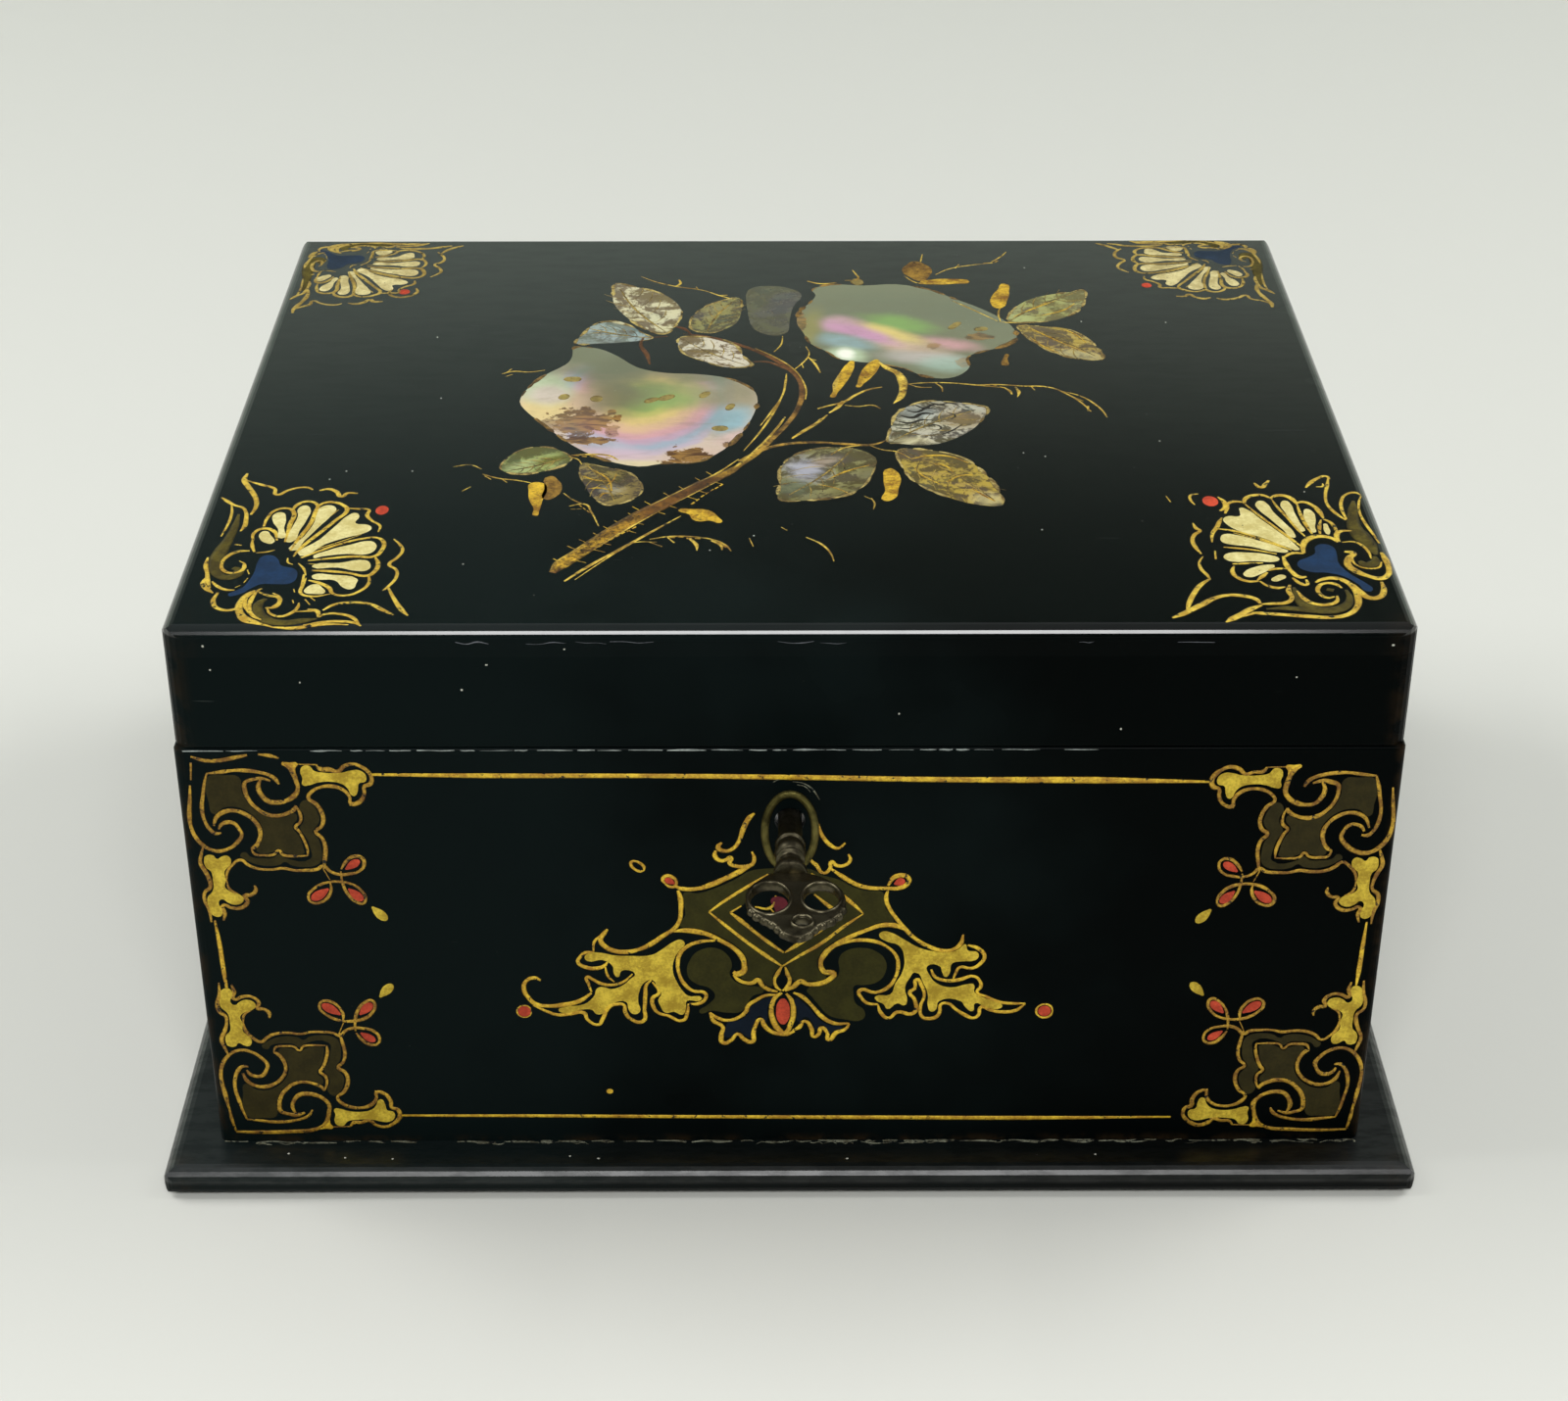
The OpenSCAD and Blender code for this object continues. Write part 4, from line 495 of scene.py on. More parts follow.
def velvet():
    """Red pile, stroked lighter and darker."""
    plain = {"Roughness": 0.95, "Sheen Weight": 0.6, "Sheen Roughness": 0.35, "Specular IOR Level": 0.1}
    material, t, shader = new_material("red_velvet", plain)
    shader.inputs["Sheen Tint"].default_value = VELVET_SHEEN
    where = t.place()
    pile = t.noise(where, 2.4, 3, 0.7)
    stroke = t.noise(t.stretched(where, (1, 0.6, 0.8)), 0.045, 4, 0.6, 0.3)
    color = t.mix(t.step(stroke, 0.3, 0.7), VELVET_DARK, VELVET_LIGHT)
    t.put(shader.inputs["Base Color"], t.mix(t.math("MULTIPLY", pile, 0.45), color, VELVET_SHADE))
    t.put(shader.inputs["Normal"], t.bump(pile, 0.18, 0.7))
    return material


def clear_glass():
    """Thin old pane: mostly see-through, with a faint green tint and its own gloss."""
    material, t, shader = new_material(
        "old_glass", {"Base Color": (0.1, 0.13, 0.11), "Specular IOR Level": 0.5, "Roughness": 0.03}
    )
    waves = t.noise(t.place(), 0.02, 2, 0.5)
    grime = t.step(t.noise(t.place(), 0.06, 4, 0.6), 0.45, 0.8)
    t.put(shader.inputs["Alpha"], t.math("ADD", 0.04, t.math("MULTIPLY", grime, 0.05)))
    t.put(shader.inputs["Normal"], t.bump(waves, 0.3, 0.15))
    return material


def begin_pearl(name):
    """Mother-of-pearl, with its place and its growth lines."""
    material, t, shader = new_material(
        name, {"Specular IOR Level": 0.35, "Coat Weight": 0.3, "Coat Roughness": 0.12, "Metallic": 0.1}
    )
    where = t.place()
    grain = t.noise(t.stretched(where, (0.35, 1, 1)), 0.35, 5, 0.6, 1.2)
    return material, t, shader, where, grain


def end_pearl(t, shader, color, grain, rot):
    """Gives mother-of-pearl its colour, and the roughness and relief of its rotten places."""
    t.put(shader.inputs["Base Color"], color)
    t.put(shader.inputs["Roughness"], t.math("ADD", 0.22, t.math("MULTIPLY", rot, 0.35)))
    t.put(shader.inputs["Normal"], t.bump(t.math("SUBTRACT", grain, rot), 0.05, 0.3))


def reach_from(t, where, center, radii, turn=0.0):
    """Distance from a centre, 1 on the ellipse with these radii (mm) turned by some degrees."""
    local = t.add(
        "ShaderNodeMapping",
        {
            "Vector": where,
            "Location": (center[0] * MM, center[1] * MM, 0),
            "Rotation": (0, 0, math.radians(turn)),
            "Scale": (radii[0] * MM, radii[1] * MM, 1000),
        },
        vector_type="TEXTURE",
    ).outputs[0]
    return t.add("ShaderNodeVectorMath", {0: local}, operation="LENGTH").outputs["Value"]


def soft_spots(t, where, color, spots, stray):
    """Lays soft places of colour over a colour, one after another."""
    for center, radii, turn, tint, strength in spots:
        near = t.math("ADD", reach_from(t, where, center, radii, turn), stray)
        color = t.mix(t.math("MULTIPLY", t.step(near, 1.15, 0.3), strength), color, srgb(*tint))
    return color


def rose_pearl():
    """Both roses: rings and spots of colour, one spot a painted highlight, clouds, and places worn to the
    brown ground.
    """
    material, t, shader, where, grain = begin_pearl("rose_pearl")
    x = t.math("DIVIDE", t.axes(where)["X"], MM)
    stray = t.math("SUBTRACT", t.noise(where, 0.05, 3, 0.55), 0.5)
    ripple = t.math("SUBTRACT", grain, 0.5)
    ragged = t.math("SUBTRACT", t.noise(where, 0.32, 4, 0.7), 0.5)
    reach = reach_from(t, where, LEFT_RINGS_MIDDLE, LEFT_RINGS_REACH)
    blur = t.math("ADD", t.math("MULTIPLY", stray, 0.3), t.math("MULTIPLY", ripple, 0.06))
    reach = t.math("ADD", reach, blur)
    left = t.ramp(reach, LEFT_RINGS, "EASE")
    color = t.mix(t.step(x, -6, -4), left, ROSE_DULL)
    waver = t.math("ADD", t.math("MULTIPLY", stray, 0.9), t.math("MULTIPLY", ripple, 0.16))
    color = soft_spots(t, where, color, ROSE_SPOTS, waver)
    clouded = t.step(t.noise(where, 0.09, 5, 0.7), 0.42, 0.72)
    color = t.mix(t.math("MULTIPLY", clouded, 0.25), color, ROSE_CLOUD)
    color = t.mix(t.math("MULTIPLY", t.step(grain, 0.5, 0.8), 0.25), color, ROSE_GRAIN)
    specks = t.step(t.noise(where, 1.5, 2, 0.5), 0.74, 0.78)
    color = t.mix(t.math("MULTIPLY", specks, 0.5), color, ROSE_SPECK)
    rot = None
    for center, radii, strength in ROSE_WEAR:
        near = t.math("ADD", reach_from(t, where, center, radii), t.math("MULTIPLY", ragged, 3.4))
        one = t.math("MULTIPLY", t.step(near, 1.05, 0.98), strength)
        rot = one if rot is None else t.math("MAXIMUM", rot, one)
    brown = t.mix(t.step(grain, 0.42, 0.58), ROSE_ROT_DARK, ROSE_ROT_LIGHT)
    end_pearl(t, shader, t.mix(rot, color, brown), grain, rot)
    return material


def leaf_pearl():
    """The leaves: each place takes the light and dark of the nearest leaf."""
    material, t, shader, where, grain = begin_pearl("leaf_pearl")
    light = dark = best = None
    for ((x0, y0), (x1, y1)), (pale, deep) in zip(LEAF_RIBS, LEAF_TINTS):
        length = math.hypot(x1 - x0, y1 - y0)
        turn = math.degrees(math.atan2(y1 - y0, x1 - x0))
        pale, deep = srgb(*pale), srgb(*deep)
        near = reach_from(t, where, ((x0 + x1) / 2, (y0 + y1) / 2), (length * 0.55, length * 0.3), turn)
        if best is None:
            light, dark, best = pale, deep, near
            continue
        closer = t.math("LESS_THAN", near, best)
        light, dark = t.mix(closer, light, pale), t.mix(closer, dark, deep)
        best = t.math("MINIMUM", best, near)
    streaks = t.noise(where, 0.13, 5, 0.66, 1.2)
    fine = t.noise(where, 1.1, 3, 0.6)
    both = t.math("ADD", t.math("MULTIPLY", streaks, 0.75), t.math("MULTIPLY", fine, 0.25))
    color = t.mix(t.step(both, 0.45, 0.54), light, dark)
    sheen = t.ramp(t.noise(where, 0.07, 3, 0.5, 0.8), LEAF_SHEEN)
    color = t.mix(0.12, color, sheen)
    color = soft_spots(t, where, color, LEAF_SPOTS, t.math("MULTIPLY", t.math("SUBTRACT", streaks, 0.5), 2.0))
    edge = t.math("MULTIPLY", t.step(best, 0.82, 1.0), 0.3)
    color = t.mix(edge, color, LEAF_EDGE)
    rot = t.math("MULTIPLY", t.step(t.noise(where, 0.2, 5, 0.7), 0.6, 0.66), 0.6)
    end_pearl(t, shader, t.mix(rot, color, LEAF_ROT), grain, rot)
    return material


# ---------- brushwork ----------
# A stroke is its width in mm and then its points; a point may add a factor on the width.

EDGE_LIMIT = 0.98  # share of the lid's rounded edge that paint may cover
EDGE_PULL = 0.66  # share that paint keeps of its way on to the rounded front edge
STROKE_STEPS, PATCH_STEPS = 5, 4  # curve steps between two drawn points
# Points nearer than this are one: in mm on drawn lines, in m on the part's pieces
LINE_WELD, PIECE_WELD = 1e-5, 1e-6
LEVEL = 1e-5  # m below a piece's top that still counts as its top
# Heights of the paint patches in mm, so that faces of colours that overlap never fall together
OLIVE_HIGH, BLUE_HIGH, SPECK_HIGH, PALE_HIGH, RED_HIGH, GOLD_HIGH = 0.012, 0.016, 0.02, 0.022, 0.026, 0.03

brush = random.Random(7)


def on_front(v):
    """Drawing place and height in mm to the case front, whose outward side is -Y."""
    return Vector((v.x, FRONT_Y - v.z, v.y)) * MM


def fall(distance, half):
    """How far the lid's rounded edge has dropped at a distance from the middle."""
    over = min(max(abs(distance) - (half - LID_EDGE), 0), LID_EDGE * EDGE_LIMIT)
    return LID_EDGE - math.sqrt(LID_EDGE**2 - over**2)


def on_lid(v):
    """Drawing place and height in mm to the lid's top, down over its rounded edges."""
    x, y = v.x, v.y
    rim = LID_HALF_D - LID_EDGE
    if y < -rim:
        y = -rim + (y + rim) * EDGE_PULL
    drop = max(fall(x, LID_HALF_W), fall(y, LID_HALF_D))
    return Vector((x, y, LID_TOP - drop + v.z)) * MM


def on_lid_front(v):
    """Drawing place and height in mm to the lid's front face."""
    return Vector((v.x, -LID_HALF_D - v.z, v.y)) * MM


def on_plinth(v):
    """Drawing place and height in mm to the plinth's top."""
    return Vector((v.x, v.y, PLINTH_TOP + v.z)) * MM


# Painted faces, and the body that each rides
FRONT, LID = (on_front, "case"), (on_lid, "lid")
LID_FRONT, PLINTH = (on_lid_front, "lid"), (on_plinth, "case")


def new_curve(name, outlines, closed, **settings):
    """Curve with a smooth spline through each row of drawn points."""
    curve = bpy.data.curves.new(name, "CURVE")
    for key, value in settings.items():
        setattr(curve, key, value)
    for points in outlines:
        spline = curve.splines.new("BEZIER")
        spline.use_cyclic_u = closed
        spline.bezier_points.add(len(points) - 1)
        for bezier, point in zip(spline.bezier_points, points):
            bezier.co = (point[0], point[1], 0)
            bezier.handle_left_type = bezier.handle_right_type = "AUTO"
    return curve


def add_curve(bm, curve, place, flatten, weld=0):
    """Adds a curve to bm as a mesh on its face; flatten scales its height."""
    source = bpy.data.objects.new(curve.name + "_lines", curve)
    bpy.context.scene.collection.objects.link(source)
    graph = bpy.context.evaluated_depsgraph_get()
    mesh = bpy.data.meshes.new_from_object(source.evaluated_get(graph))
    bpy.data.objects.remove(source)
    bpy.data.curves.remove(curve)
    first = len(bm.verts)
    bm.from_mesh(mesh)
    bpy.data.meshes.remove(mesh)
    if weld:
        bmesh.ops.remove_doubles(bm, verts=bm.verts, dist=weld)
    bm.verts.ensure_lookup_table()
    for v in bm.verts[first:]:
        v.co = place(Vector((v.co.x, v.co.y, v.co.z * flatten)))


def curve_object(curve, place, flatten, smooth):
    """Mesh object from a curve in drawing millimetres."""
    name = curve.name
    bm = bmesh.new()
    add_curve(bm, curve, place, flatten, LINE_WELD)
    bmesh.ops.recalc_face_normals(bm, faces=bm.faces)
    return object_from(bm, name, smooth)


def draw(name, strokes, place, body, material, flatten=0.12, wobble=0.12, slot="lacquer"):
    """Paint lines: round strokes pressed flat, half sunk in the face."""
    curve = new_curve(name, [points for _, *points in strokes], False, dimensions="3D", twist_mode="Z_UP",
                      bevel_depth=0.5, bevel_resolution=1, resolution_u=STROKE_STEPS, use_fill_caps=True)
    for spline, (width, *points) in zip(curve.splines, strokes):
        for index, (bezier, point) in enumerate(zip(spline.bezier_points, points)):
            end = 0.5 if index in (0, len(points) - 1) else 1
            factor = point[2] if len(point) > 2 else 1
            bezier.radius = width * end * factor * brush.uniform(1 - wobble, 1 + wobble)
    return dress(curve_object(curve, place, flatten, True), body, material)


def fill(name, outlines, place, body, material, height, slot="lacquer"):
    """Paint patches: smooth closed outlines standing height mm proud."""
    curve = new_curve(name, outlines, True, dimensions="2D", fill_mode="BOTH", extrude=height,
                      resolution_u=PATCH_STEPS)
    return dress(curve_object(curve, place, 1, False), body, material)


def dress(obj, body, material):
    """Gives a piece its material, and tells which body it rides."""
    obj.data.materials.clear()
    obj.data.materials.append(material)
    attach(obj, body)
    return obj


def direction(start, end):
    """Length from start to end in mm, and its direction."""
    (x0, y0), (x1, y1) = start, end
    length = math.hypot(x1 - x0, y1 - y0)
    return length, (x1 - x0) / length, (y1 - y0) / length


def turned(shapes, sx, sy, dx, dy, squeeze=None):
    """Shapes scaled by (sx, sy) and moved by (dx, dy); squeeze bends a point near an edge."""
    out = []
    for shape in shapes:
        head = [] if isinstance(shape[0], tuple) else [shape[0]]
        points = [(p[0] * sx + dx, p[1] * sy + dy, *p[2:]) for p in shape[len(head):]]
        out.append(head + [squeeze(p) if squeeze else p for p in points])
    return out


def oval(x, y, a, b, turn=0.0, n=8):
    """Closed row of n points round (x, y), with half sizes a and b."""
    c, s = math.cos(math.radians(turn)), math.sin(math.radians(turn))
    around = [(a * math.cos(math.tau * k / n), b * math.sin(math.tau * k / n)) for k in range(n)]
    return [(x + u * c - v * s, y + u * s + v * c) for u, v in around]


def ring(width, *args):
    """Stroke round an oval."""
    points = oval(*args)
    return [width, *points, points[0]]


def drop(start, end, width):
    """Seed-shaped patch between two points, widest past the middle."""
    a, b = Vector(start), Vector(end)
    along, side = b - a, Vector((start[1] - end[1], end[0] - start[0])).normalized() * width / 2
    left = [a + along * t + side * w for t, w in ((0.15, 0.45), (0.45, 0.95), (0.7, 1), (0.92, 0.6))]
    right = [a + along * t - side * w for t, w in ((0.92, 0.6), (0.7, 1), (0.45, 0.95), (0.15, 0.45))]
    return [tuple(p) for p in [a, *left, b, *right]]


def rim_loops(node):
    """Upper outlines of a node's pieces, as closed rows of (x, y) in mm."""
    bm = bmesh.new()
    bm.from_mesh(nodes[node].data)
    bmesh.ops.remove_doubles(bm, verts=bm.verts, dist=PIECE_WELD)
    bm.normal_update()
    bm.verts.ensure_lookup_table()
    top = max(v.co.z for v in bm.verts) - LEVEL
    links = {}
    for edge in bm.edges:
        if all(v.co.z > top for v in edge.verts) and any(f.normal.z < 0.5 for f in edge.link_faces):
            a, b = (v.index for v in edge.verts)
            links.setdefault(a, []).append(b)
            links.setdefault(b, []).append(a)
    loops, seen = [], set()
    for start in sorted(links):
        at, loop = start, []
        while at is not None and at not in seen:
            seen.add(at)
            loop.append((bm.verts[at].co.x / MM, bm.verts[at].co.y / MM))
            at = next((k for k in links[at] if k not in seen), None)
        if len(loop) > 2:
            loops.append(loop)
    bm.free()
    return loops


def rim_strokes(node, width, share, pace=1.4):
    """Broken brush lines along the outlines of a node's pieces; share of the edge is painted."""
    strokes = []
    for loop in rim_loops(node):
        if min(math.dist(p, FADED_LEAF) for p in loop) < 2:
            continue
        points, far = [], 0
        for (x0, y0), (x1, y1) in zip(loop, loop[1:] + loop[:1]):
            length = math.hypot(x1 - x0, y1 - y0)
            while far < length:
                points.append((x0 + (x1 - x0) * far / length, y0 + (y1 - y0) * far / length))
                far += pace
            far -= length
        at = 0
        while at < len(points):
            count = brush.randint(3, 9)
            if brush.random() < share:
                wide = width * brush.uniform(0.6, 1.5)
                strokes.append([wide, *[(x, y, brush.uniform(0.6, 1.3)) for x, y in points[at:at + count]]])
            at += count
    return [s for s in strokes if len(s) > 2]


# ---------- the case front ----------
# Upper left corner; the other three are turned copies of it.

CORNER_OUTER = [
    [0.9, (-116.5, 101.6), (-114.4, 100.8), (-112.7, 100.6), (-110.7, 100.75), (-108.2, 101.3),
     (-105.5, 101.9)],
    [0.9, (-103.4, 102.1), (-101.1, 101.75), (-99.4, 101.2)],
    [0.8, (-116.6, 100.2), (-117, 96.2)],
]
LOWER_OUTER = [
    [0.9, (-117.3, 16), (-117, 12.5), (-116.4, 9.2)],
    [0.9, (-116.4, 9), (-111.4, 8.8), (-104.5, 9), (-99.8, 9.5), (-98, 10.6)],
]
CORNER_LINES = [
    [0.9, (-117.3, 95), (-117.7, 91.4), (-118.1, 88.1), (-118.1, 85.6), (-117.3, 82.7), (-116.1, 81),
     (-114.8, 80), (-113.2, 79.6), (-111.1, 80.2), (-109.2, 81.8), (-108.25, 83.5), (-108.6, 84.75),
     (-109.6, 86.2), (-110.9, 86.4), (-112.1, 85.8), (-112.7, 84.75)],
    [0.8, (-99.9, 95.2), (-100.5, 96.4), (-101.5, 97.25), (-103.6, 98), (-106.1, 98.4), (-108.6, 98.4),
     (-110.7, 98.1), (-113.8, 97.7)],
    [0.8, (-113.8, 97.7), (-114.5, 95.2), (-115, 92.7), (-115.5, 89.75), (-115.25, 86.8), (-114.4, 84.75),
     (-113.4, 83.8), (-112.25, 83.9)],
    [0.9, (-101.5, 96), (-103.4, 96.6), (-105, 96.3), (-106.5, 95.6), (-106.7, 94.1), (-106.1, 91.6),
     (-104.6, 89.5), (-103, 88.3), (-101.1, 87.9), (-99.2, 88.3), (-97.5, 89.3), (-97, 90.25)],
    [1, (-103.4, 96.4), (-104, 94.5), (-103.5, 92.7), (-102.3, 91.3), (-100.7, 91), (-98.8, 91.4),
     (-97.1, 92.6), (-96.3, 94.1), (-96.5, 96), (-96.9, 97.7), (-97.5, 98.9), (-98.8, 100.1)],
    [0.6, (-96.2, 99.8), (-92.3, 99.7)],
    [0.9, (-113.6, 85.6), (-112.75, 87.7), (-111.1, 88.9), (-109, 89.1), (-107.1, 88.3), (-105.5, 86.8),
     (-104.6, 84.75), (-104.8, 82.5), (-105.9, 80.6), (-106.7, 80.2)],
    [0.6, (-106.7, 80.2), (-106.1, 78.9), (-104.4, 78.6), (-102.3, 78.8), (-101.3, 79.75), (-100.5, 78.7),
     (-98.6, 78.4), (-95.5, 78.5)],
    [0.7, (-97, 90.25), (-96.3, 88.1), (-96.5, 86.4), (-97.5, 85.25), (-96.9, 84.3), (-96.1, 82.25),
     (-95.6, 80.2), (-95.6, 78.5)],
    [0.8, (-86.3, 90.2), (-86.4, 92.5), (-87.75, 94.1), (-89.8, 94.75), (-91.9, 94.5), (-93.6, 93.5),
     (-94.4, 92), (-93, 90.6), (-92.1, 88.7), (-91.9, 86.8), (-92.5, 85.2), (-93.6, 84.25), (-92.5, 82.7),
     (-92, 80.6), (-92.3, 77.7), (-92.75, 75.2)],
    [0.7, (-112.3, 72.7), (-111.9, 74.75), (-110.7, 76.4), (-109, 77.5), (-107.75, 76.4), (-106.1, 75.5),
     (-103.2, 75.2), (-100.7, 75.5), (-98.6, 75), (-96.5, 75), (-94, 75.25), (-92.75, 76), (-91.5, 74.75),
     (-89.8, 74), (-87.75, 74.1), (-85.7, 74.75), (-84.6, 76.4), (-85, 78), (-86.5, 78.3), (-88.2, 77),
     (-89.3, 75.2)],
    [0.7, (-91.7, 72), (-91.6, 70.6), (-92.3, 68.7), (-94, 67.25), (-95.7, 67.25), (-96.3, 68.9),
     (-95.25, 70.4), (-93.6, 71.6), (-91.7, 72.2), (-89.8, 72.25), (-87.3, 71.6), (-85.7, 70.2),
     (-84.9, 68.3), (-85.5, 67), (-86.9, 67.5), (-88.4, 69.3), (-89.2, 71.8), (-89.4, 74.75)],
    [0.5, (-92.75, 75.2), (-91.7, 72.7)],
    [0.9, (-92.3, 99.7), (-91.5, 98.7), (-89.8, 98.6), (-88.2, 98.1), (-86.9, 99.3), (-85, 99.8),
     (-83.4, 99.1), (-82.3, 98.1), (-81.7, 96.8), (-82.1, 95.2), (-83.2, 94.75), (-83.4, 92.9), (-84.6, 91),
     (-86.1, 90.7), (-86.3, 92.25)],
    [0.8, (-116.1, 80.8), (-116.7, 78.9), (-117.1, 76.8), (-116.3, 74.75), (-115.7, 72.7), (-115.7, 71),
     (-116.9, 69.75), (-117.1, 67.7), (-116.5, 65.6), (-116.3, 62.5)],
    [0.8, (-113.8, 62.9), (-113.4, 64.75), (-113.6, 66.6), (-111.9, 66), (-110, 66), (-108.6, 67.5),
     (-109, 68.9), (-107.75, 69.1), (-106.7, 70.2), (-106.8, 71.4)],
    [0.6, (-112.3, 72.7), (-111.9, 70.6), (-110.25, 69.3)],
]
CORNER_BLOB = [(-99, 100.1), (-97.5, 100.2), (-95.9, 100), (-96.4, 98.9), (-96.7, 97.7), (-97.6, 98.9)]
CORNER_SEED = drop((-83.8, 66.2), (-81, 62.9), 2)
CORNER_DROPS = [drop((-88.4, 75.2), (-85.5, 77.4), 1.7), drop((-92.1, 70.6), (-95.7, 67.9), 2),
                drop((-88.2, 70.6), (-85.5, 67.7), 1.9)]
CORNER_OLIVE = [
    [(-113.7, 96.9), (-110.5, 97.3), (-107.6, 96.9), (-107.3, 93.5), (-106.2, 90.6), (-104.4, 88.6),
     (-102, 87.5), (-99.3, 87.6), (-97.4, 88.5), (-97, 87.3), (-98.1, 85.4), (-97, 83.2), (-96.3, 80),
     (-96.3, 79), (-100.2, 79.3), (-101.3, 80.3), (-102.5, 79.4), (-105.6, 79.5), (-104.2, 82.5), (-104, 85),
     (-105, 87.3), (-107, 89.2), (-109, 90), (-111.3, 89.8), (-113.3, 88.3), (-114, 91)],
    [(-96.4, 89.8), (-94.9, 91.6), (-93.7, 90.4), (-92.8, 88.3), (-92.7, 86.6), (-93.7, 85), (-94.2, 84.2),
     (-93.2, 82.4), (-92.8, 80.3), (-93.1, 77.2), (-94.2, 76.2), (-97, 75.8), (-99, 76.2), (-100.3, 77),
     (-101.5, 76.3), (-105.8, 76.4), (-108.3, 77.8), (-109, 78.5), (-108, 79.4), (-107, 78.3), (-104.6, 77.9),
     (-102.5, 78), (-101.2, 78.9), (-100.2, 78), (-95.1, 77.8), (-95, 80.3), (-95.6, 82.8), (-96.6, 85),
     (-95.8, 86.6), (-95.7, 88.3)],
]
CORNER_BONES = [
    [(-95.5, 98.1), (-95, 99.3), (-93.8, 99.5), (-92.75, 98.3), (-91.1, 97.9), (-87.3, 97.9), (-85.9, 98.3),
     (-84, 98.4), (-82.8, 97.25), (-83, 95.8), (-84.2, 95.4), (-84.6, 93.7), (-85.25, 92.5), (-85.9, 92.7),
     (-86.5, 94.1), (-87.5, 95.2), (-89.8, 95.8), (-92.3, 95.6), (-94, 95), (-95.25, 95), (-95.2, 96.6)],
    [(-116.3, 77.5), (-115.9, 78.5), (-114.4, 78.6), (-113.7, 77.75), (-112.75, 78.3), (-111.5, 78.5),
     (-111, 76.8), (-111.9, 75.6), (-112.5, 74.75), (-112.4, 72.7), (-112.75, 71), (-111.5, 69.8),
     (-109.6, 68.9), (-109.4, 67.7), (-110.9, 66.75), (-112.5, 67.25), (-113.6, 68.1), (-114.4, 67.25),
     (-113.8, 65.4), (-114.4, 63.9), (-115.9, 64.3), (-116.5, 66.4), (-116.5, 68.5), (-115.25, 70.2),
     (-115, 72.7), (-115.2, 74.75), (-116.1, 75.8)],
]
BORDERS = [
    [1.3, (-81.7, 97.4), (-60, 97.1), (-30, 97), (0, 96.6), (30, 96), (60, 95.8), (82, 95.4)],
    [0.95, (-82, 13.2), (-50, 13), (-20, 12.7), (20, 12.4), (50, 12.2), (80, 12.4)],
    [1, (-115.6, 63), (-115.2, 57), (-115, 50), (-114.8, 46)],
    [0.9, (116.2, 62), (116, 57), (115.8, 50), (115.6, 46)],
]

# The painted shield about the keyhole

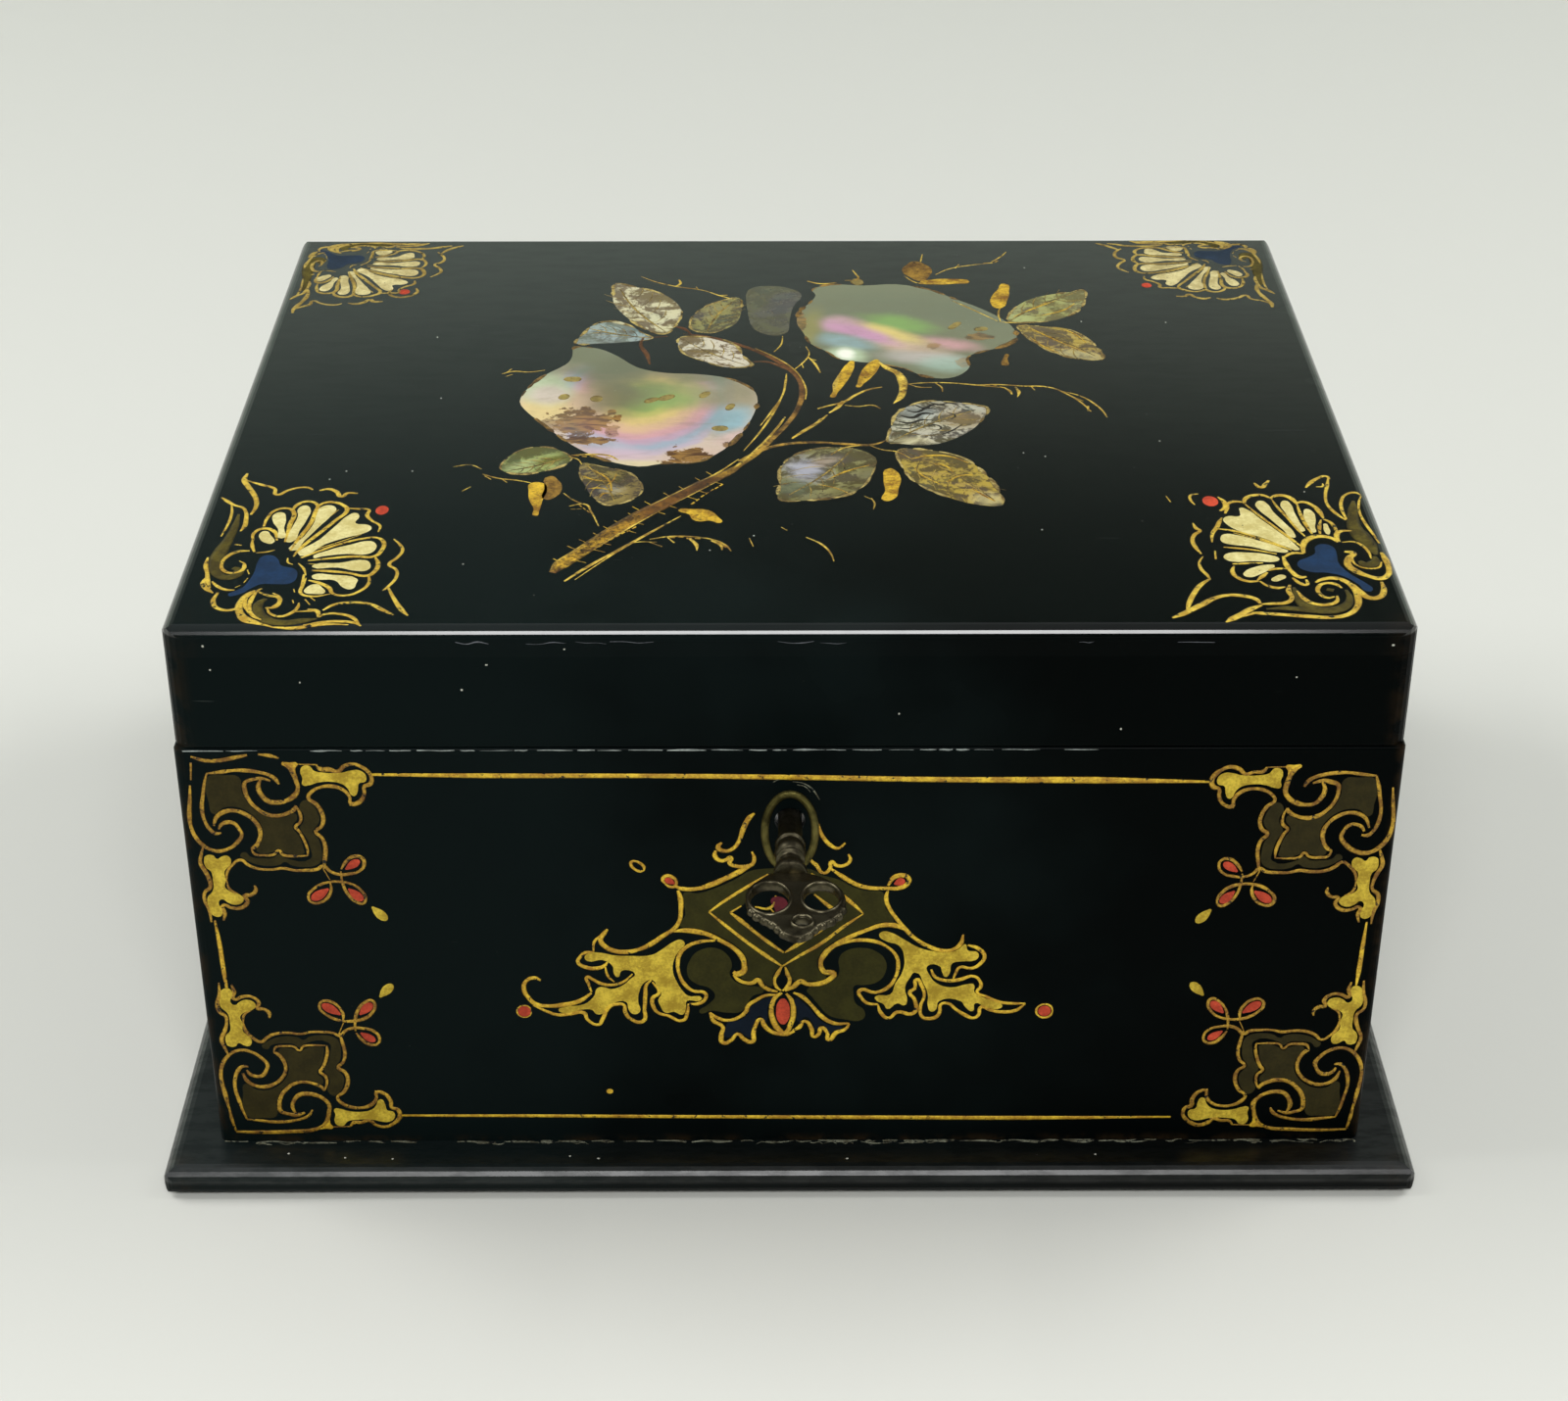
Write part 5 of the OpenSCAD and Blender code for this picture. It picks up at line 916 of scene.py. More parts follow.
SHIELD_LINES = [
    [1, (-7, 88.25), (-8, 87.25), (-9.25, 84.5), (-10, 82), (-11.25, 80), (-13, 79.4), (-14.25, 80.25),
     (-13.5, 81.4)],
    [0.9, (-14.75, 79.5), (-14.9, 78.25), (-13.75, 77.1), (-12.75, 77.25), (-11.75, 77.75), (-12, 76.5),
     (-10.5, 75.75), (-8.75, 75.75), (-7.5, 76.25), (-7.1, 77.75), (-7.6, 79.25)],
    [1.1, (-8, 75.75), (-10, 74.5), (-13, 72.75), (-16, 71.25), (-18.5, 70.4), (-21.5, 70.4), (-23, 71)],
    [1, (-22.4, 70), (-21.9, 68), (-21.9, 65), (-22.25, 62.5), (-23.5, 60.5), (-25.5, 59), (-28, 57),
     (-30.5, 55.6), (-33, 55), (-35.5, 55.25), (-37.5, 56.5), (-38.25, 58), (-37.5, 59.5), (-36.75, 60.6)],
    [0.7, (-39.75, 55), (-39.5, 57.5), (-38, 59.25)],
    [1.2, (-23.5, 60), (-21.5, 60.25), (-19, 60), (-16.5, 59.25), (-14, 57.75), (-11.5, 56), (-9.75, 53.75),
     (-9.25, 51.75), (-9.5, 50), (-10.75, 49.5), (-11.5, 50)],
    [1, (-11.5, 49.25), (-10.5, 48), (-9, 47.25), (-7.5, 47.25), (-6.5, 48), (-5.75, 46.75), (-4.25, 45.5),
     (-2.5, 45)],
    [0.8, (-15, 57.75), (-18, 57.5), (-20.5, 56.5), (-22.25, 54.5), (-22.75, 52), (-22.5, 49.5), (-21.5, 47),
     (-19.75, 45.25), (-17.25, 44.6), (-17.4, 43), (-18.75, 42), (-20.5, 42)],
    [0.9, (-4, 74.1), (-8, 71.25), (-13, 67.5), (-16.25, 64.75)],
    [0.9, (-16.25, 64.75), (-13, 61.5), (-8, 56.75), (-4.5, 53.75), (-1.6, 51.4)],
    [0.9, (-9.75, 66.25), (-12, 64.6)],
    [0.9, (-12, 64.6), (-10, 62.75), (-7, 59.75), (-4, 57), (-1.25, 54.75)],
    [0.8, (-1.6, 51.4), (-2.5, 49.5), (-3.1, 48), (-2.75, 46.25), (-1.75, 45.25)],
    [0.8, (-0.9, 51.2), (-0.5, 49.5), (0, 48), (-0.5, 46.25), (-1.5, 45.2)],
    [1.1, (-1.6, 44.75), (-3, 43.5), (-3.75, 41), (-3.5, 38), (-2, 35), (-1.25, 34.5), (0.25, 37), (0.75, 40),
     (0.25, 43), (-0.75, 44.5)],
    [0.9, (-2.5, 44.25), (-5, 44), (-7, 42.75), (-8.5, 41.5), (-9, 40), (-10.5, 38.5), (-12.75, 37.75),
     (-15, 38.5), (-16.4, 39.75)],
    [1, (-16.4, 39.75), (-15.75, 37.75), (-13.75, 36), (-14.1, 34), (-13.75, 32), (-12, 32.75),
     (-10.75, 34.25), (-9.5, 33), (-7.75, 32.25), (-7.5, 34.5), (-7, 36.5), (-6, 38), (-5.25, 36.5), (-4, 35),
     (-2, 34.25), (-0.5, 34.25), (1, 35)],
    [0.8, (-39.75, 55), (-41.5, 54.75), (-42.5, 53.75), (-43, 52.5), (-41.5, 51.25), (-39, 51),
     (-37.5, 51.75), (-37, 52.5)],
    [0.7, (-37.5, 51.25), (-37, 49), (-35.75, 47.5)],
    [0.7, (-40.5, 45), (-41, 47), (-41.25, 48.75), (-40.25, 48.25), (-38.75, 47.25), (-36.5, 46.75),
     (-34, 47.5), (-32, 49.5)],
    [1, (-40.5, 44.75), (-43, 42.75), (-46.5, 41.75), (-49.5, 41.5), (-52, 42), (-53.5, 43.75),
     (-54.25, 45.75), (-53.75, 47.75), (-52, 48.6), (-50.75, 48)],
    [0.8, (-52.5, 41.75), (-50, 40.25), (-47.5, 39.25), (-45, 39.5), (-42.25, 39.75), (-41.5, 38),
     (-39.25, 36.75), (-38.5, 38), (-36.75, 41.5), (-35.5, 41.9), (-34, 41.75), (-33.75, 40), (-32.75, 38.25),
     (-30.25, 37.5), (-29.75, 41), (-29.5, 44.5), (-29.25, 46.75), (-28.25, 48)],
    [0.8, (-28, 47.5), (-26.75, 44.75), (-28, 43.5), (-28, 41.5), (-27, 39.75), (-25, 39), (-22, 37.75),
     (-21, 39.75), (-20.75, 42)],
    [0.8, (5, 87.5), (5.5, 85.5), (6.5, 82.75), (8, 80.75), (9.5, 80), (11, 81.25)],
    [0.8, (4.25, 79), (4, 77.5), (5.25, 76), (6.75, 74.1), (8, 75.25), (8.25, 76.75), (9.25, 75.9), (11, 76),
     (12, 77.25), (11.6, 78.6)],
    [1, (8, 75.25), (10.5, 73.25), (13, 71.5), (15.5, 70.6), (19.5, 70.4), (22, 70.5), (23.5, 71.5),
     (23.75, 72.75), (22.5, 73.5), (20.75, 73), (19.6, 71)],
    [1, (19.6, 70), (19.25, 68), (20, 65.5), (21.5, 63), (23.25, 60.5), (25.5, 58), (28, 56.25), (31, 55.1),
     (33, 55.4), (34.5, 56.75), (35, 59.1)],
    [1.1, (23.5, 60.25), (21, 61.4), (18.5, 61.4), (15.5, 60.25), (12, 58.5), (9, 56.5), (7, 54.25),
     (6.25, 52), (7, 50), (8.9, 49.5), (8, 48), (6, 47), (3.5, 46.9), (2.25, 47.6), (0.75, 46.25),
     (-1, 45.25)],
    [0.8, (8, 55.5), (10.5, 57), (13.5, 57.75), (17, 57.5), (19.5, 56.25), (21.5, 54), (22, 51), (21.5, 48.5),
     (20, 46), (17.5, 44.75), (14.25, 45.25), (14.75, 43.25), (16, 42), (18, 41.75)],
    [0.9, (-1.5, 51.4), (2, 54), (6, 56.75), (11, 61.25), (14.75, 64.25)],
    [0.9, (14.75, 64.25), (13.5, 65.75), (12, 67.25), (8.3, 70.7), (4.2, 74)],
    [0.9, (-1, 54.75), (1, 56.25), (4, 58.5), (6.75, 60.75), (9.8, 64.3)],
    [0.9, (9.8, 64.3), (8.2, 65.8), (4.9, 69)],
    [0.9, (0.75, 44.75), (2.5, 43.75), (4.5, 41.5), (6.5, 38.75), (9, 37), (12.25, 36.9)],
    [0.9, (12.25, 36.9), (11.5, 35.5), (9.5, 34.5), (8, 32.75), (7.75, 34.5), (6.5, 35.75), (6, 34.25),
     (5, 33.5), (4.5, 35.5), (3, 37.5), (2, 36), (0.5, 35.1)],
    [0.8, (36, 56.5), (38, 55.75), (39.5, 53.75), (38.75, 52), (37, 50.75), (34.5, 51), (33.75, 49.5),
     (33.25, 48)],
    [0.8, (28.75, 50.5), (29.5, 48.75), (31.5, 47.75), (34.5, 47.9), (37.5, 48.75), (38.75, 47.5),
     (39, 46.25), (38.25, 44.75), (40, 43.75), (43, 42.25), (46, 41.9), (48.25, 41.9)],
    [0.8, (48.25, 41.9), (46.5, 40.25), (44, 39.75), (41, 40.25), (39.25, 41), (38.75, 39), (37.75, 38.25),
     (36, 39), (34, 40.5), (32.5, 41.9), (31, 41.75), (30.75, 39.75), (30, 38.5), (28.5, 38.1),
     (27.25, 38.5), (26.75, 41), (27.5, 44), (26.75, 46.75), (25.9, 48), (25.5, 45.75), (24.5, 44.75),
     (25.5, 43), (25.4, 39.5), (22, 39.75), (20.25, 38.25), (18.75, 39.5), (18, 41.75)],
    ring(0.5, 52.25, 40, 1.7, 1.7),
    ring(0.3, -54.4, 40.15, 1.5, 1.5),
    ring(0.6, -30.3, 75.8, 1.6, 0.9, -40),
    [0.8, (-7, 66), (-4, 65.7), (-2.8, 68.7)],
    [0.7, (-4, 65.7), (-3.2, 64.6)],
    [0.7, (-24.9, 71.6), (-25.4, 72.6), (-24.6, 73.5), (-23.4, 73.2), (-22.7, 72.2), (-23, 71), (-24, 70.9),
     (-24.9, 71.6)],
]
SHIELD_RED = [
    oval(-1.4, 40, 1.4, 3.3), drop((-23, 71.6), (-24.9, 72.8), 1.4), drop((20.8, 71.4), (22.9, 72.4), 1.7),
    oval(52.25, 40, 1.3, 1.3), oval(-54.4, 40.15, 1.3, 1.3),
]
SHIELD_CRIMSON = [[(-3.8, 67.8), (-1.8, 68.4), (-0.4, 66.8), (-0.8, 64.7), (-2.4, 64.3), (-3.2, 66)]]
SHIELD_DOT = [oval(-37.5, 19.5, 0.7, 0.6)]
SHIELD_YELLOW = [
    [(-22, 58), (-21.25, 57), (-22.25, 55.5), (-23.5, 53), (-23.75, 50), (-23, 47.5), (-22, 45.5),
     (-20.75, 44), (-18, 43.5), (-18.5, 42.75), (-21, 42.75), (-21.25, 41), (-22, 39.25), (-23.75, 40),
     (-25.5, 39.75), (-26.5, 41.5), (-26.9, 43), (-26.25, 44.5), (-27, 46), (-28, 48), (-29.5, 47.5),
     (-30.75, 45), (-31, 42.5), (-30.75, 40), (-32, 39.4), (-33, 40.5), (-33.5, 42.5), (-36, 42.25),
     (-37.5, 41), (-38.5, 39.5), (-39.75, 39.5), (-40.5, 40.5), (-43, 40.5), (-46.5, 39.75), (-47.4, 40.5),
     (-46, 41.25), (-42, 42), (-40, 44), (-39.25, 46), (-38, 46.25), (-36.5, 45.75), (-34, 46.75),
     (-32.5, 48.25), (-31.5, 49.5), (-33, 50.5), (-34.25, 50.25), (-35, 48.75), (-35.75, 49.5), (-36, 51.5),
     (-38, 53), (-41, 52.75), (-41.6, 53.75), (-40.5, 54.75), (-38, 54.75), (-36, 54.25), (-32, 54),
     (-28, 54.25), (-26, 55.5), (-23.5, 57.5)],
    [(18, 59), (18.75, 59.9), (20.5, 59.6), (23, 58), (26, 56), (29, 55), (32.5, 54.75), (34.5, 55.75),
     (35.5, 56.75), (36, 55.25), (38, 54.75), (38.25, 53.5), (37.5, 52.75), (35, 52.5), (33, 52),
     (32.5, 49.5), (31.75, 48.6), (31, 49.75), (30.5, 51.25), (28, 51.4), (28.5, 49), (30, 47), (33, 46),
     (36, 46.75), (37.5, 46.75), (37.75, 44.75), (40, 43.25), (43.5, 41.5), (43.25, 40.75), (40, 41),
     (38, 42), (37.5, 40), (36, 41), (35, 42.5), (30.5, 42.5), (30, 40.5), (29, 39.9), (28.25, 41.5),
     (28.25, 44), (27.25, 47), (25.5, 49.75), (24.5, 48.5), (23.5, 46), (24, 42.5), (23.5, 41.5), (22, 42),
     (20, 40.6), (19.25, 41.75), (17.5, 43), (17.5, 43.75), (20.5, 44.25), (21.5, 47), (22.75, 49.5),
     (23.25, 53), (22, 56.5), (19.5, 57.5)],
]
SHIELD_OLIVE = [
    [(-20, 53.5), (-18, 55.5), (-15, 55.9), (-12.5, 54), (-11.75, 51.5), (-12.25, 49.5), (-11, 47.5),
     (-8.75, 46.5), (-6.5, 46.25), (-5.25, 45.25), (-7.5, 44), (-8.75, 42), (-10, 40), (-13, 39.75),
     (-16, 40.25), (-18.5, 39.75), (-16.5, 42), (-15.25, 44), (-16.5, 46), (-19, 47), (-20.75, 49)],
    [(10, 53.5), (11.5, 55.25), (14.5, 55.9), (17.5, 55), (19.4, 52.75), (19.5, 50), (18, 47.5), (15, 46.6),
     (13.25, 46.5), (13, 44.5), (13.5, 42), (15.25, 40.25), (15, 38), (11, 38), (8, 39), (6, 41.5),
     (4.5, 43.75), (3.5, 45.5), (6.5, 46.5), (8.5, 47.5), (10, 49.5)],
    [(-4.5, 75.2), (-8, 74.6), (-11, 72.6), (-15, 70.5), (-18.5, 69.3), (-21.2, 69.4), (-21, 64),
     (-22.2, 61.5), (-20, 60.9), (-16.3, 60), (-13.5, 58.4), (-11, 56.6), (-9, 54), (-8.5, 51.5),
     (-8.9, 49.8), (-10, 48.9), (-9, 48), (-7.3, 48), (-6.5, 48.9), (-5.5, 47.5), (-3.6, 46.4), (-3.5, 49),
     (-2.3, 50.9), (-1.2, 51.9), (-0.3, 50.5), (0.6, 48), (1.5, 47.6), (3.5, 47.7), (6, 47.8), (7.4, 48.6),
     (6.2, 49.8), (5.5, 52), (6.3, 54.6), (8.5, 57.1), (12, 59.3), (15.5, 61), (18.5, 62.2), (20.9, 62.3),
     (19.2, 65.5), (18.5, 69.5), (15.4, 69.8), (12.5, 70.8), (9.8, 72.5), (6.6, 73.6), (4.2, 75)],
    [(-1, 74.7), (-9.8, 66), (-11.8, 64.6), (-10, 62.9), (-7, 59.9), (-4, 57.2), (-1.15, 55), (1, 56.4),
     (4, 58.8), (6.75, 61), (9.6, 64.3), (8, 65.8), (4.7, 69)],
]
SHIELD_BLUE = [
    [(-2.5, 43.6), (-5, 43.3), (-7, 42), (-8.2, 40.8), (-8.6, 39.4), (-10.4, 37.8), (-12.75, 37.2),
     (-13.2, 36), (-13.4, 33.6), (-12, 33.6), (-10.6, 35), (-9.4, 34), (-8, 33.4), (-7.9, 35), (-7.3, 37.2),
     (-6, 38.9), (-5, 37.2), (-4.6, 38.4), (-4.5, 41.4)],
    [(1.3, 43.4), (2.4, 42.6), (4, 40.8), (6, 38), (8.6, 36.3), (10.8, 36), (9.2, 35.2), (8.1, 34.2),
     (7.6, 35.6), (6.4, 36.7), (5.4, 35.3), (4.8, 36.8), (3.2, 38.6), (1.8, 37.4), (1.6, 40)],
]
# Scales and shifts that make the four corners
FRONT_CORNERS = [(1, 1, 0, 0), (-1, 1, 0.8, -1), (1, -1, 0, 110), (-1, -1, 0.8, 110)]


def paint_front():
    """Corners, border lines and shield of the case front."""

    def all_corners(shapes):
        return [s for c in FRONT_CORNERS for s in turned(shapes, *c)]

    outer = CORNER_OUTER + LOWER_OUTER + turned(LOWER_OUTER, -1, 1, 0.8, 0)
    lines = all_corners(CORNER_LINES) + outer
    draw("corner_gold_lines", lines, *FRONT, corner_gold_paint, wobble=0.2)
    draw("front_gold_lines", BORDERS + SHIELD_LINES, *FRONT, gold_paint, wobble=0.2)
    fill("front_gold_spots", all_corners([CORNER_BLOB]) + SHIELD_DOT, *FRONT, gold_paint, GOLD_HIGH)
    fill("front_red", all_corners(CORNER_DROPS) + SHIELD_RED, *FRONT, red_paint, RED_HIGH)
    fill("front_crimson", SHIELD_CRIMSON, *FRONT, crimson_paint, RED_HIGH)
    yellow = all_corners([*CORNER_BONES, CORNER_SEED]) + SHIELD_YELLOW
    fill("front_yellow", yellow, *FRONT, yellow_paint, PALE_HIGH)
    fill("front_olive", SHIELD_OLIVE, *FRONT, olive_paint, OLIVE_HIGH)
    fill("corner_olive", all_corners(CORNER_OLIVE), *FRONT, brown_paint, OLIVE_HIGH)
    fill("front_blue", SHIELD_BLUE, *FRONT, dim_blue_paint, BLUE_HIGH)


# ---------- the lid ----------
# Front left corner; the others are turned copies, narrower towards the back.

FAN_GOLD = [
    [0.9, (-107.4, -63.1), (-107.75, -60), (-106.2, -57.8), (-104, -58.75), (-102.6, -63.1)],
    [0.9, (-106.2, -56.9), (-106, -53.1), (-104.6, -49.4), (-102.6, -48.75), (-101.2, -50), (-101, -56.25),
     (-100.9, -63.75)],
    [0.9, (-101.5, -50), (-100.6, -46.9), (-98.7, -45.6), (-96.8, -46.9), (-96.6, -50.6), (-97, -56.25),
     (-98.4, -62.5), (-99.3, -67.5)],
    [0.9, (-96.5, -48.1), (-95.4, -46.4), (-93.7, -45.9), (-91.5, -47.2), (-90.25, -49.4), (-92.1, -54.4),
     (-94.6, -60), (-97.4, -66.25), (-98.4, -70)],
    [0.8, (-90.25, -48.75), (-87.75, -49.1), (-85.9, -49.4), (-85.9, -51.9), (-84.6, -54.4), (-82.75, -56.6),
     (-82.75, -59.4)],
    [0.9, (-96.8, -70.6), (-92.75, -66.9), (-89, -64.1), (-85.25, -62.2), (-82.75, -61.9), (-81.2, -63.75),
     (-81.2, -67.5), (-82.4, -70), (-86.5, -70), (-91.5, -70.9), (-95.25, -71.75)],
    [0.9, (-82.1, -70.3), (-81.2, -73.1), (-81.5, -76.25), (-82.75, -78.1), (-86.5, -77), (-90.25, -76.25),
     (-94, -75.9)],
    [0.9, (-82.4, -78.4), (-82.1, -81.25), (-83.4, -84.4), (-85.9, -86.25), (-88.4, -85.6), (-89.6, -83.1),
     (-92.1, -80.9), (-94, -80)],
    [0.8, (-95.25, -77.5), (-94.9, -81.9), (-94.6, -85.6), (-92.1, -86.6), (-89, -85.6)],
    [0.4, (-95.5, -73), (-90, -73.8), (-84.5, -75)],
    [0.4, (-96.5, -68.4), (-91, -64.5), (-86, -60.5)],
    [0.4, (-98.2, -64), (-95, -56), (-92, -49.5)],
]
FAN_CREAM = [
    [(-106.5, -60), (-105.6, -58.9), (-104.3, -60.6), (-103.4, -64.4), (-104.9, -64), (-106.2, -62.2)],
    [(-104.75, -51.25), (-103.4, -50.6), (-102.25, -53.1), (-102, -57.5), (-101.8, -62.2), (-103.1, -58.1),
     (-104.75, -54.4)],
    [(-100.25, -48.75), (-99.1, -47.5), (-97.9, -48.75), (-97.9, -53.75), (-98.7, -58.75), (-99.6, -63.75),
     (-100.6, -63.75), (-100.4, -57.5), (-99.9, -52.5)],
    [(-96, -48.75), (-94.3, -47.4), (-92.6, -48.75), (-93.1, -51.9), (-94.9, -56.9), (-97.1, -63.1),
     (-99, -67.5), (-97.4, -61.25), (-96.2, -55)],
    [(-89.6, -51.9), (-88.4, -50.9), (-87.4, -52.5), (-87.75, -55.6), (-85.25, -56.25), (-84.3, -57.8),
     (-85.25, -59.7), (-89, -61.9), (-92.75, -64.7), (-97.1, -69.7), (-94, -62.5), (-91.5, -56.25)],
    [(-84, -63.4), (-82.75, -64.4), (-82.6, -67.5), (-84, -69.1), (-87.75, -68.9), (-92.75, -70),
     (-94.3, -70.6), (-91.5, -67.2), (-87.75, -65)],
    [(-84, -71.6), (-82.75, -73.1), (-83.1, -75.9), (-85.25, -76.1), (-89, -74.7), (-94, -74.5),
     (-93.7, -73.4), (-89, -72.8)],
    [(-93.4, -77.8), (-89.6, -77.8), (-84.6, -79.4), (-84.5, -81.25), (-85.25, -83.75), (-86.8, -83.1),
     (-89, -80), (-93.1, -79.4)],
    [(-92.4, -81.6), (-90.9, -83.1), (-90.25, -85.3), (-92.1, -85.6), (-94.1, -85), (-94, -83.1)],
]
TREFOIL = [
    [(-104.3, -69.7), (-102.75, -69.5), (-101.2, -71.25), (-100.25, -73.75), (-97.4, -75.3), (-96.5, -77.8),
     (-97.4, -81.25), (-100.25, -81.6), (-103.1, -81.6), (-104.6, -83.1), (-106.5, -85.6), (-108.7, -86.25),
     (-106.5, -83.1), (-105.6, -80), (-105.1, -76.25), (-105.1, -72.5)],
]
FRAME_GOLD = [
    [0.8, (-112.75, -35.9), (-109.6, -37.8), (-106.5, -39.7), (-105.6, -42.5), (-103.7, -40.6),
     (-101.5, -39.25), (-99.6, -39.25), (-98.5, -40.3)],
    [1, (-97.1, -40.6), (-95.25, -39.9), (-93.4, -41.25), (-92.1, -43.4), (-91.2, -41.9), (-89, -41.9)],
    [0.9, (-116.8, -43.75), (-115.25, -45.6), (-113.7, -47.2), (-111.8, -48.4), (-110.75, -50.6),
     (-110.25, -53.75), (-110.1, -56.9), (-110.6, -59)],
    [0.6, (-114.3, -46.9), (-113.7, -50), (-113.5, -53.75), (-113.7, -57.5), (-114.1, -61.25)],
    [0.9, (-115.25, -70.3), (-115.1, -73.75), (-114.3, -76.9), (-113.7, -80), (-112.75, -83.1)],
    [0.9, (-107.4, -67.5), (-109.6, -67.8), (-111.5, -70), (-112.1, -73.1), (-111.2, -75.9), (-109.4, -76.9),
     (-107.6, -75.6), (-107.7, -73.3)],
    [1, (-110.9, -85), (-111.2, -88.75), (-109.6, -91.6), (-107.1, -92), (-105.6, -90.3)],
    [1.1, (-105.6, -90.3), (-105.6, -93.1), (-104, -96.25), (-100.9, -97.5), (-98.4, -99)],
    [0.9, (-103.4, -84.4), (-104.9, -86.25), (-104.9, -90), (-103.7, -93.1)],
    [0.9, (-103.4, -84.4), (-100.9, -86.25), (-99, -86.9), (-98.4, -88.75), (-99, -90.9), (-100.8, -91.2)],
    [1, (-89.6, -92.2), (-87.75, -90), (-84.6, -89.1), (-80.9, -89.7), (-78.4, -91.9), (-75.9, -94.1)],
    [0.9, (-90.1, -95), (-89, -93.75), (-85.9, -93.75), (-83.4, -95.3), (-81.8, -98.4)],
    [1.1, (-98.4, -99), (-94, -99.25), (-90.9, -98.4), (-87.75, -97.8), (-84, -98.1)],
    [0.6, (-95, -92.8), (-92.4, -92.5), (-90.6, -92.5)],
    [0.8, (-79.3, -62.5), (-77.75, -65), (-77, -67.5), (-77.75, -70.6), (-79, -73.4), (-77.4, -75.6),
     (-77, -78.75), (-78.1, -82.5), (-79, -84.4)],
    [1, (-78.1, -83.1), (-76.5, -87.5), (-74.6, -91.9), (-73.1, -94.4)],
]
LEAF_TIP = [[1.1, (-113.25, -32.5), (-113.4, -35.6), (-112.1, -38.75), (-110.6, -41.9), (-109.5, -45),
             (-109.1, -48.1), (-109.6, -51.6)]]
VOLUTE_OLIVE = [
    [2.6, (-112.1, -51.25, 0.4), (-112, -56.9, 0.7), (-112.4, -62.5, 0.9), (-113.1, -67.5, 1.1),
     (-113.4, -72.5, 1.1), (-112.4, -76.9), (-110.25, -78.75, 0.9), (-108.5, -77.5, 0.9),
     (-108.4, -75.6, 0.8), (-109.6, -74.7, 0.8)],
    [2.4, (-101.2, -87.5, 0.8), (-102.25, -89.4, 0.9), (-102, -92.5), (-100.25, -95.6, 1.1),
     (-97.1, -97.2, 1.1), (-92.75, -96.25, 0.8), (-90.25, -95.6, 0.5)],
]


# Finer gold of the front left corner
SCROLL_GOLD = [
    [1.3, (-114.2, -78.6, 0.7), (-114.4, -81.2), (-113.2, -83.6), (-111.8, -85.2, 0.7)],
    [0.8, (-112.8, -80.4), (-111.4, -82.4), (-109.6, -83.8), (-107.8, -84)],
    [0.9, (-110.8, -64.7), (-109.4, -65.2)],
    [0.5, (-108.8, -71.8), (-107.6, -73), (-107, -74.8)],
    [0.5, (-106.6, -75.6), (-106, -77.4)],
    [0.5, (-106, -79), (-106.5, -81)],
    [0.4, (-107, -82), (-107.9, -83)],
    [0.8, (-107.6, -62.6), (-107.2, -65.4), (-106.4, -68)],
    [0.5, (-106, -68.4), (-104, -68), (-102.4, -67.2)],
    [0.5, (-99.4, -70.6), (-99, -72.6), (-98, -73.4)],
    [0.6, (-97, -72.8), (-95.6, -75.2), (-94.8, -78)],
    [0.5, (-94.6, -79), (-94.6, -81.6)],
    [1.6, (-102.6, -83.4, 0.5), (-104.8, -85.6, 0.8), (-105.8, -88.6), (-105.8, -91.6), (-104.6, -94.6),
     (-102.2, -96.8), (-100, -98.2, 0.7)],
    [0.9, (-103.4, -84.6), (-104, -88), (-103.8, -91.4), (-102.6, -94.4), (-100.8, -96)],
    [0.8, (-100.2, -85.2), (-98.8, -86.8), (-98.4, -89), (-99.6, -90.8)],
    [0.8, (-100.4, -91.4), (-99.4, -93.6), (-97.4, -94.6), (-95.6, -93.4), (-94.6, -91), (-94.6, -89.2)],
    [1.1, (-92.6, -91.8), (-90.8, -92.4), (-90, -95)],
    [0.9, (-92.6, -98.2), (-89.4, -97), (-86, -96.6), (-83, -97.2), (-81.6, -98.6)],
    [0.6, (-93.6, -87.8), (-92.4, -90)],
    [0.5, (-92.8, -86.8), (-91.6, -88.4)],
    [0.5, (-96.4, -83.6), (-96, -85)],
    [0.5, (-96, -88), (-95.6, -89.4)],
]

# Front right corner, drawn more fully than the others

